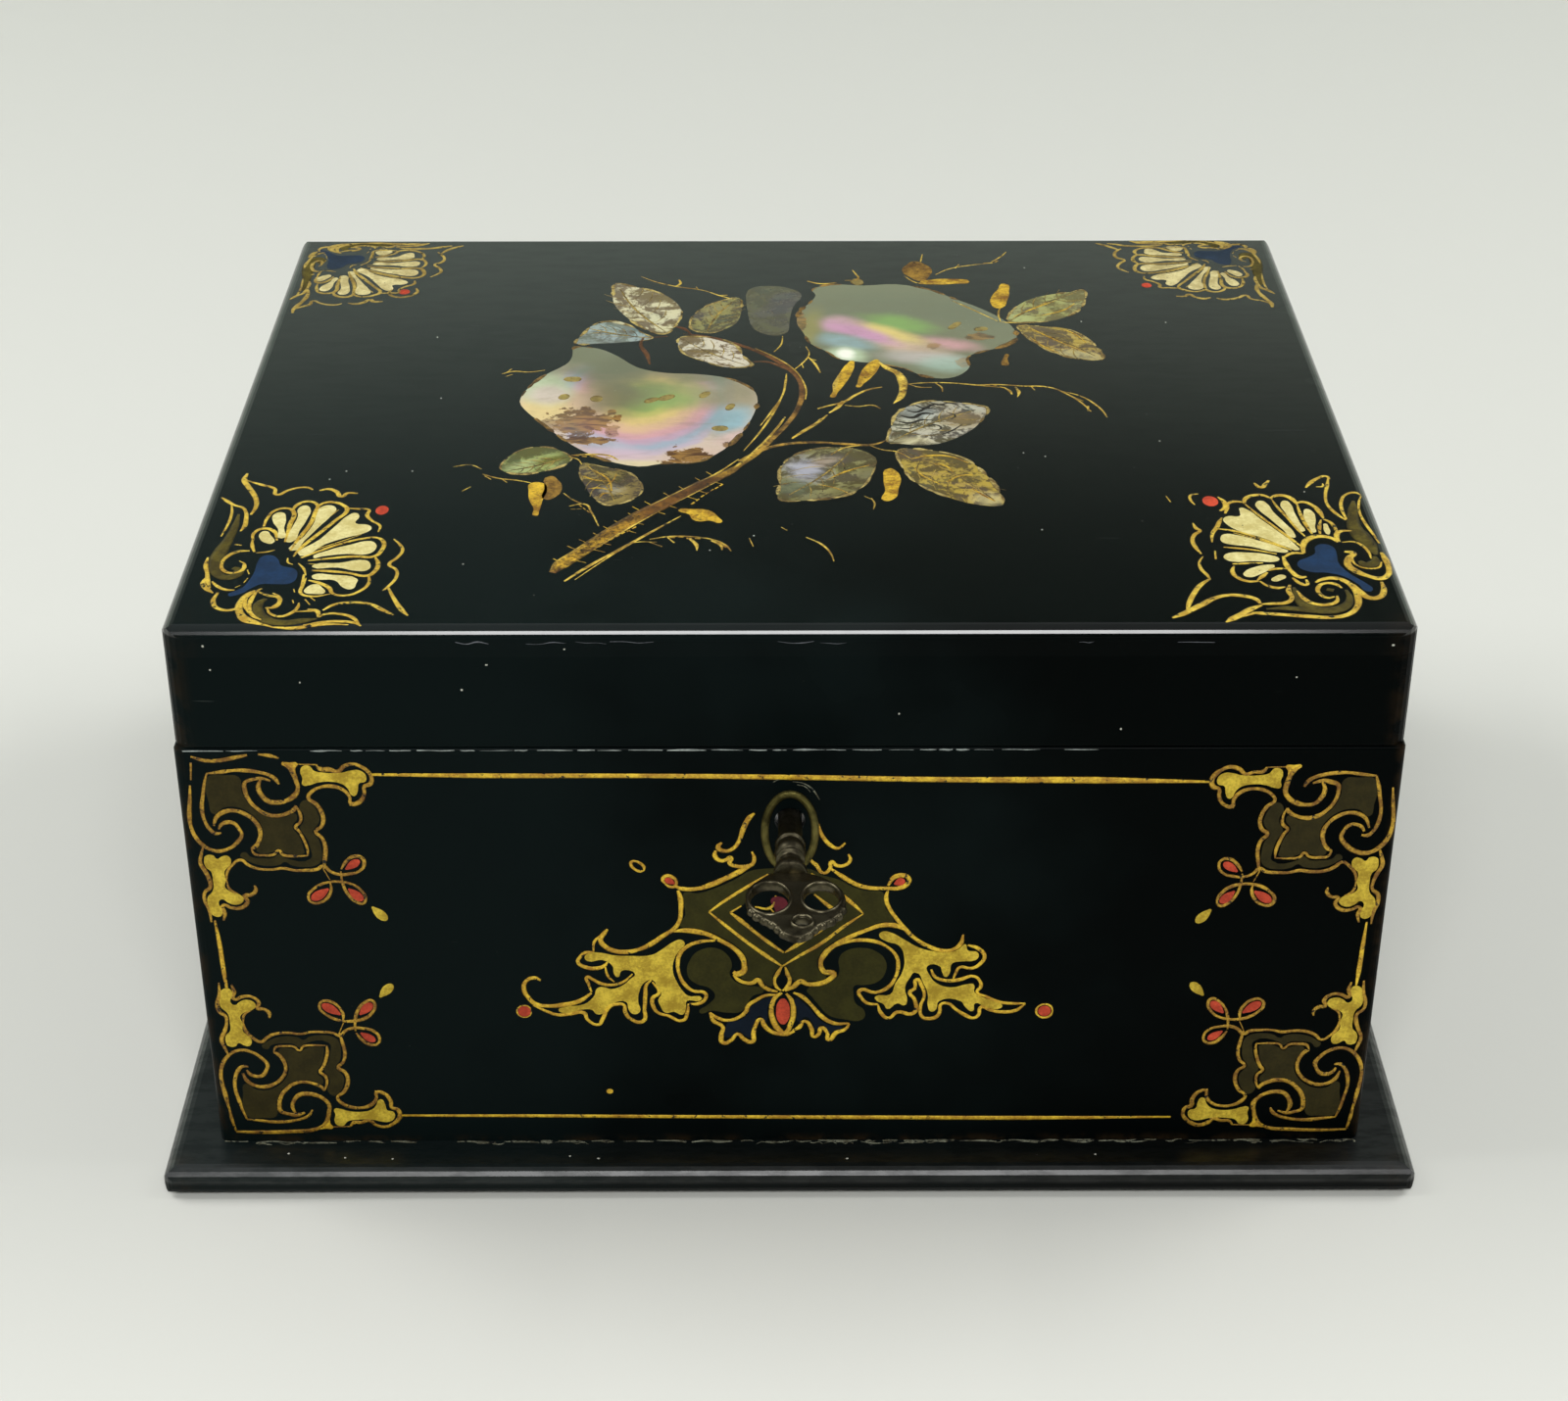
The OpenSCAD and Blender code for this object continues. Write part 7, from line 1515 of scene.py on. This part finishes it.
def paint_spray():
    """Stems, thorns, petals and leaf lines round the mother-of-pearl."""
    draw("spray_stems", STEMS, *LID, stem_paint, flatten=0.06)
    draw("spray_gold_lines", STEM_LIGHTS, *LID, old_gold_paint, flatten=0.16, wobble=0.25)
    draw("stem_thorns", thorns() + bead_rows(), *LID, spray_gold_paint, flatten=0.16, wobble=0.25)
    fill("spray_gold_petals", SPRAY_GOLD, *LID, spray_gold_paint, GOLD_HIGH)
    fill("spray_brown_buds", SPRAY_BROWN, *LID, bud_paint, GOLD_HIGH)
    draw("leaf_veins", veins(), *LID, vein_paint, flatten=0.2, wobble=0.2)
    draw("leaf_waves", LEAF_WAVES, *LID, dark_line_paint, flatten=0.2, wobble=0.3)
    draw("leaf_gilding", LEAF_GILDING, *LID, spray_gold_paint, flatten=0.2, wobble=0.3)
    rose_rims = rim_strokes("pearl_roses", 0.9, 0.7)
    draw("rose_edges", rose_rims, *LID, edge_paint, flatten=0.1, wobble=0.2)
    leaf_rims = rim_strokes("pearl_leaves", 0.7, 0.8)
    draw("leaf_edges", leaf_rims, *LID, rim_paint, flatten=0.1, wobble=0.2)
    fill("rose_marks", [oval(*mark) for mark in ROSE_MARKS], *LID, mark_paint, OLIVE_HIGH, "pearl")
    rims = [ring(0.3, *mark) for mark in ROSE_MARKS]
    draw("rose_mark_rims", rims, *LID, vein_paint, wobble=0.5, slot="pearl")


# ---------- wear on the case, and a painted highlight ---


def broken_line(x0, x1, y, sway, width, share):
    """Short strokes in a row from x0 to x1 that sway about y; share of them is painted."""
    strokes, x = [], x0
    while x < x1:
        length = brush.uniform(2, 9)
        if brush.random() < share:
            points = [(min(x + length * k / 3, x1), y + brush.uniform(-sway, sway), brush.uniform(0.4, 1.3))
                      for k in range(4)]
            strokes.append([width * brush.uniform(0.5, 1.4), *points])
        x += length + brush.uniform(0.2, 2)
    return strokes


JOINT_GAP = 0.35  # mm from the lid's front to the dust on the plinth's joint
LID_FRONT_SPECKS = [
    (-111.7, 126.2), (-110.8, 121), (114.8, 126), (-93.9, 118.2), (-63, 116.5), (-58, 122), (-43, 125.4),
    (21, 111), (64, 107.5), (97, 119),
]
LID_TOP_SPECKS = 16
PLINTH_SPECKS = [
    (-93, -105.6), (-83, -106), (-46, -105.2), (-40, -106), (-105, -104.2), (64, -105), (12, -106.2),
]
RING_TRACES = [
    [0.35, (0.5, 95.6), (2.6, 95.2), (4.4, 93.8), (5.8, 91.4)], [0.3, (-3.4, 95.4), (-2, 96.2), (0.6, 96.4)],
    [0.3, (1.4, 94.9), (3, 94.4), (4, 93.2)],
]


def wear_marks_and_highlight():
    """Dust along the joints, a painted highlight along the case's top arris, scuffs along the lid's edge,
    specks, and the ring that the key has rubbed.
    """
    y = -LID_HALF_D - JOINT_GAP
    joint = broken_line(-LID_HALF_W + 1, LID_HALF_W - 1, y, 0.35, 0.9, 0.9)
    joint += broken_line(-LID_HALF_W + 1, LID_HALF_W - 1, y - 0.5, 0.5, 0.4, 0.6)
    draw("plinth_joint_dust", joint, *PLINTH, dust_paint, flatten=0.1, wobble=0.3)
    # Painted highlight: a thin pale line along the case front's rounded top arris, where the light catches
    # it.
    painted_highlight_line = broken_line(-LID_HALF_W + 2, 60, CASE_TOP - 0.45, 0.06, 0.3, 0.97)
    draw("case_top_arris_highlight", painted_highlight_line, *FRONT, arris_highlight_material, flatten=0.1, wobble=0.3)
    scuffs = broken_line(-90, 100, LID_TOP - LID_EDGE - 0.4, 0.3, 0.14, 0.16)
    draw("lid_edge_scuffs", scuffs, *LID_FRONT, scuff_paint, wobble=0.6)
    spots = [oval(x, z, brush.uniform(0.14, 0.3), brush.uniform(0.14, 0.26), 0, 5)
             for x, z in LID_FRONT_SPECKS]
    fill("lid_front_specks", spots, *LID_FRONT, speck_paint, SPECK_HIGH)
    top_specks = [oval(brush.uniform(-110, 110), brush.uniform(-90, 90), 0.18, 0.18, 0, 5)
                  for _ in range(LID_TOP_SPECKS)]
    fill("lid_top_specks", top_specks, *LID, speck_paint, SPECK_HIGH)
    nose = [oval(x, y, brush.uniform(0.16, 0.36), 0.2, 0, 5) for x, y in PLINTH_SPECKS]
    fill("plinth_specks", nose, *PLINTH, speck_paint, SPECK_HIGH)
    draw("ring_traces", RING_TRACES, *FRONT, dust_paint, wobble=0.5)


# ---------- the lock key ----------

KEY_REACH = 22.2  # mm from the end of the bow to the shoulder
SHANK_RADIUS = 2.35
BOW_HALF, BOW_ROUND = 0.45, 0.4  # half thickness of the bow's plate, and the rounding round it
# Rims of the holes: their radius, how far they lie outside the hole, and how far they are drawn out
RIM_RADIUS, EYE_RIM_OUT, RING_RIM_OUT, EYE_RIM_HIGH, RING_RIM_HIGH = 0.48, 0.45, 0.5, 2.5, 2.7
BEAD_HIGH = 0.95
KEY_STEPS, EYE_POINTS, RING_POINTS = 36, 12, 8
KEY_WELD = 1e-7  # m
# Radius and distance in front of the shoulder, in mm, from the shank to the dome
KEY_PROFILE = [
    (SHANK_RADIUS, -11.2), (2.75, -10.9), (2.95, -10.5), (2.75, -10.1), (2.5, -9.9), (2.45, -9.4),
    (2.75, -8.9), (3, -8.2), (3.05, -7.3), (2.9, -6.6), (2.5, -6.1), (2.3, -5.9), (2.3, -5.6), (2.75, -5.4),
    (2.85, -5.1), (2.75, -4.8), (2.2, -4.6), (2.15, -4), (2.3, -3.2), (2.8, -2.4), (3.15, -1.4), (3.3, -0.4),
    (3.25, 0.3), (3.05, 0.6), (1.5, 0.75), (0, 0.8),
]
# Outline and middle lines of the bow, in mm from the shoulder
BOW_EDGE = [
    (-3, -0.4), (-6, -2.8), (-8.2, -5.8), (-8.6, -9.2), (-7.7, -12.8), (-5.4, -15.6), (-3, -17.8),
    (-1.2, -20.6), (1.4, -21.7), (3.7, -20.2), (5, -18.2), (8.3, -15.6), (10.2, -11.8), (10.2, -7.6),
    (8.2, -4), (4, -0.9),
]
# Holes of the bow: middle and half sizes; the small one is round
BOW_EYES = [(-4, -9.1, 3.6, 5), (5.8, -8.8, 3.3, 4.5)]
BOW_RING = (2.1, -16.9, 1.5, 1.5)
BOW_BEADS = [
    (-7.3, -12.6), (-6.4, -14.1), (-5, -15.4), (-3.6, -16.6), (-2.3, -18.2), (-1.3, -19.8), (0, -20.7),
    (1.7, -21), (3.2, -20), (4.3, -18.4), (5.8, -17), (7.5, -15.8), (8.9, -14), (9.6, -12.2),
]


def make_key():
    """Turned shank and pierced bow of the lock key, in place of the plain one."""
    low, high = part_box("lock_key")
    shoulder, end, axis = low.y / MM + KEY_REACH, high.y / MM, (low.z + high.z) / 2 / MM

    def on_key(v):
        return Vector((v.x, shoulder + v.y, axis + v.z)) * MM

    bm = bmesh.new()
    profile = [(0, end - shoulder), (SHANK_RADIUS, end - shoulder)] + [(r, -y) for r, y in KEY_PROFILE]
    verts = [bm.verts.new(on_key(Vector((0, y, r)))) for r, y in profile]
    edges = [bm.edges.new(pair) for pair in zip(verts, verts[1:])]
    bmesh.ops.spin(bm, geom=verts + edges, cent=on_key(Vector((0, 0, 0))), axis=(0, 1, 0), angle=math.tau,
                   steps=KEY_STEPS)
    openings = [(*eye, EYE_POINTS) for eye in BOW_EYES] + [(*BOW_RING, RING_POINTS)]
    holes = [oval(x, y, a + BOW_ROUND, b + BOW_ROUND, 0, n) for x, y, a, b, n in openings]
    inner_edge = [(x * 0.95 + 0.05, y * 0.97 - 0.3) for x, y in BOW_EDGE]
    plate = new_curve("bow_plate", [inner_edge, *holes], True, dimensions="2D", fill_mode="BOTH",
                      extrude=BOW_HALF, bevel_depth=BOW_ROUND, bevel_resolution=2, resolution_u=STROKE_STEPS)
    add_curve(bm, plate, on_key, 1)
    tube = {"dimensions": "3D", "bevel_depth": RIM_RADIUS, "bevel_resolution": 3,
            "resolution_u": STROKE_STEPS}
    eyes = [oval(x, y, a + EYE_RIM_OUT, b + EYE_RIM_OUT, 0, EYE_POINTS) for x, y, a, b in BOW_EYES]
    add_curve(bm, new_curve("eye_rims", eyes, True, **tube), on_key, EYE_RIM_HIGH)
    x, y, a, b = BOW_RING
    hole = oval(x, y, a + RING_RIM_OUT, b + RING_RIM_OUT, 0, RING_POINTS)
    add_curve(bm, new_curve("ring_rim", [hole], True, **tube), on_key, RING_RIM_HIGH)
    for x, y in BOW_BEADS:
        size = brush.uniform(0.85, 1.1)
        squash = Matrix.Diagonal((size * MM, size * MM, BEAD_HIGH * MM, 1))
        bmesh.ops.create_icosphere(bm, subdivisions=2, radius=1,
                                   matrix=Matrix.Translation(on_key(Vector((x, y, 0)))) @ squash)
    bmesh.ops.remove_doubles(bm, verts=bm.verts, dist=KEY_WELD)
    bmesh.ops.recalc_face_normals(bm, faces=bm.faces)
    key = object_from(bm, "worn_lock_key", True)
    dress(key, "key", key_steel)
    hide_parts("lock_key")


# ---------- paints and pieces ----------

# Name, colour, deep colour, mottling, chips, roughness, metal, specular level
gold_paint = paint("gold_paint", (240, 202, 52), (160, 112, 18), 0.95, 0.41, 0.38, 0.1, 0.4)
corner_gold_paint = paint("corner_gold_paint", (206, 164, 46), (116, 76, 18), 1.0, 0.42, 0.4, 0.1, 0.35)
lid_gold_paint = paint("lid_gold_paint", (232, 202, 76), (162, 122, 30), 0.9, 0.43, 0.4, 0.1, 0.35)
back_gold_paint = paint("back_gold_paint", (190, 164, 78), (122, 98, 42), 0.9, 0.42, 0.45, 0.05, 0.3)
old_gold_paint = paint("worn_gold_paint", (240, 208, 84), (132, 98, 30), 1.0, 0.42, 0.45, 0.1, 0.35)
spray_gold_paint = paint("leaf_gold_paint", (228, 188, 50), (120, 80, 18), 1.0, 0.36, 0.4, 0.1, 0.35)
bud_paint = paint("bud_brown_paint", (158, 122, 44), (78, 52, 20), 1.0, 0.38, 0.5)
stem_paint = paint("stem_paint", stem_color, (58, 36, 12), 1.0, 0.4, 0.5)
edge_paint = paint("inlay_edge_paint", (150, 118, 56), (58, 38, 18), 1.0, 0.4, 0.5)
rim_paint = paint("leaf_rim_paint", (196, 176, 104), (90, 68, 28), 1.0, 0.42, 0.45)
dark_line_paint = paint("dark_line_paint", (44, 40, 28), (26, 24, 18), 1.0, 0.3, 0.5)
mark_paint = paint("rose_mark_paint", (156, 140, 76), (112, 96, 52), 0.9, 0.36, 0.4)
dust_paint = paint("dust_paint", (128, 130, 112), (66, 62, 46), 1.0, 0.44, 0.8)
# Pale paint of the painted highlight on the case's top arris
arris_highlight_material = paint("arris_highlight_paint", (176, 184, 180), (96, 102, 100), 0.8, 0.38, 0.6)
scuff_paint = paint("scuff_paint", (120, 122, 130), (70, 72, 76), 0.8, 0.38, 0.6)
speck_paint = paint("speck_paint", (190, 190, 178), (150, 150, 140), 0.5, 0.1, 0.8)
yellow_paint = paint("yellow_paint", (222, 194, 66), (150, 122, 28), 0.9, 0.3, 0.5, 0.0, 0.2)
cream_paint = paint("cream_paint", (220, 210, 148), (182, 166, 96), 0.85, 0.34, 0.5, 0.0, 0.2)
dull_cream_paint = paint("dull_cream_paint", (214, 202, 146), (160, 144, 92), 0.85, 0.36, 0.5, 0.0, 0.2)
olive_paint = paint("olive_paint", (56, 54, 20), (40, 38, 14), 0.8, 0.2, 0.5, 0.0, 0.08)
scroll_paint = paint("scroll_paint", (92, 82, 28), (50, 42, 16), 0.9, 0.36, 0.5, 0.0, 0.15)
brown_paint = paint("brown_paint", (54, 48, 22), (38, 34, 16), 0.8, 0.2, 0.5, 0.0, 0.08)
red_paint = paint("red_paint", (204, 76, 48), (138, 40, 24), 0.8, 0.3, 0.45, 0.0, 0.2)
crimson_paint = paint("crimson_paint", (112, 26, 40), (74, 16, 28), 0.8, 0.3, 0.45, 0.0, 0.2)
blue_paint = paint("blue_paint", (20, 50, 84), (14, 34, 58), 0.8, 0.24, 0.5, 0.0, 0.2)
dull_blue_paint = paint("dull_blue_paint", (34, 50, 70), (24, 36, 50), 0.8, 0.26, 0.5, 0.0, 0.2)
dim_blue_paint = paint("dim_blue_paint", (18, 28, 40), (12, 20, 30), 0.8, 0.26, 0.5, 0.0, 0.06)
vein_paint = paint("vein_paint", (176, 150, 70), (70, 54, 24), 1.0, 0.42, 0.5)
LID_PAINTS = {"gold": lid_gold_paint, "olive": scroll_paint, "cream": cream_paint, "blue": blue_paint}
BACK_PAINTS = {
    "gold": back_gold_paint, "olive": scroll_paint, "cream": dull_cream_paint, "blue": dull_blue_paint,
}

X, Y, Z = "X", "Y", "Z"
# Worn arrises, as rub_mask takes them
LID_EDGES = [((X, 120, 9), (Y, 100, 12))]
SIDE_EDGES = [((X, 119, 5), (Y, 99, 5))]
CASE_EDGES = [((X, 119.6, 2.4), (Y, 99.6, 2.4)), ((Z, 6.5, 2.4), (Y, 100, 3))]
PLINTH_EDGES = [((X, 129, 7), (Y, 109, 7))]

# Name, worn arrises, dust, roughness, specular level, rub, coat
top_lacquer = lacquer("top_lacquer", LID_EDGES, 0.3, 0.3, 0.03, 0.25,
                      (0.95, 0.14, 0.08, LID_TOP - 2, LID_TOP - 1.4))
lid_side_lacquer = lacquer("lid_side_lacquer", SIDE_EDGES, 0.3, 0.26, 0.02, 0.4)
front_lacquer = lacquer("front_lacquer", CASE_EDGES, 0.3, 0.3, 0.02, 0.5)
side_lacquer = lacquer("side_lacquer", CASE_EDGES, 0.6, 0.28, 0.3, 0.8)
plinth_lacquer = lacquer("plinth_lacquer", PLINTH_EDGES, 0.5, 0.4, 0.07, 0.4, (1.0, 0.34, 0.4, 3, 4.4))
# Name, colour, tarnish, its amount, roughness, metallic, relief
brass = metal("aged_brass", (208, 172, 98), (128, 98, 50), 0.5, 0.3)
bright_steel = metal("bright_steel", (168, 168, 170), (104, 98, 88), 0.5, 0.26)
blued_steel = metal("blued_steel", (40, 52, 92), (30, 30, 40), 0.6, 0.28)
key_steel = metal("old_key_metal", (92, 86, 68), (30, 27, 20), 0.95, 0.3, 1.0, 0.06)
bare_wood = wood("stained_board", (58, 40, 26), (92, 66, 42), (0.12, 1, 1), 0.6)
inner_wood = wood("polished_inner_wood", (48, 24, 13), (88, 46, 24), (0.12, 1, 1), 0.3)
cloth = velvet()
glass = clear_glass()
ring_brass = metal("dull_brass", (112, 104, 58), (56, 52, 28), 1.0, 0.42)
rose_inlay = rose_pearl()
leaf_inlay = leaf_pearl()

# Pieces with a finish of their own; the others go by their slot
MATERIALS = {
    "lid_top": top_lacquer, "lid_front": lid_side_lacquer, "lid_back": side_lacquer,
    "lid_left": side_lacquer, "lid_right": side_lacquer,
    "case_left": side_lacquer, "case_right": side_lacquer, "case_back": side_lacquer,
    "pearl_roses": rose_inlay, "pearl_leaves": leaf_inlay, "escutcheon": ring_brass,
}
BY_SLOT = {
    "lacquer": front_lacquer, "bare_wood": bare_wood, "inner_wood": inner_wood, "velvet": cloth,
    "glass": glass, "brass": brass, "steel": bright_steel, "blued_steel": blued_steel,
    "dark_steel": key_steel, "pearl": leaf_inlay,
}


def finish_nodes():
    """Gives every piece of the part its finish."""
    slots = {part["node"]: part["material_slot"] for part in frame["record"]["subparts"]}
    for name, obj in nodes.items():
        material = MATERIALS.get(name) or BY_SLOT[slots[name]]
        if name.startswith("plinth"):
            material = plinth_lacquer
        obj.data.materials.clear()
        obj.data.materials.append(material)


# The last colour is painted shade, which the wall takes on upwards and on the viewer's side.
FLOOR_COLOR, WALL_COLOR, WALL_PAINTED_SHADE = srgb(213, 213, 207), srgb(204, 214, 203), srgb(22, 34, 29)


def room_finish():
    """Pale floor and faintly green wall, with painted shade that darkens the wall upwards, and lower down on
    the viewer's side.
    """
    material, t, shader = new_material("pale_room", {"Roughness": 0.85, "Specular IOR Level": 0.05})
    axes = t.axes(t.place())
    # Painted shade: the wall darkens upwards, and lower down on the viewer's side.
    near = t.math("MULTIPLY", t.step(axes["Y"], -0.6, -0.9), t.step(axes["Z"], 0.15, 0.45))
    dark = t.math("MAXIMUM", t.step(axes["Z"], 0.6, 0.92), near)
    pale = t.mix(t.step(axes["Z"], 0.05, 0.35), FLOOR_COLOR, WALL_COLOR)
    t.put(shader.inputs["Base Color"], t.mix(dark, pale, WALL_PAINTED_SHADE))
    return material


add_camera()
bowl = add_bowl()
bowl.data.materials.append(room_finish())
for lamp in LAMPS:
    add_lamp(*lamp)
world = bpy.data.worlds.new("studio")
bpy.context.scene.world = world
world.use_nodes = True
sky = world.node_tree.nodes["Background"].inputs
sky["Color"].default_value = SKY_COLOR
sky["Strength"].default_value = SKY_STRENGTH
bpy.context.scene.view_settings.view_transform = "Standard"

finish_nodes()
paint_front()
paint_lid_corners()
paint_spray()
wear_marks_and_highlight()
make_key()
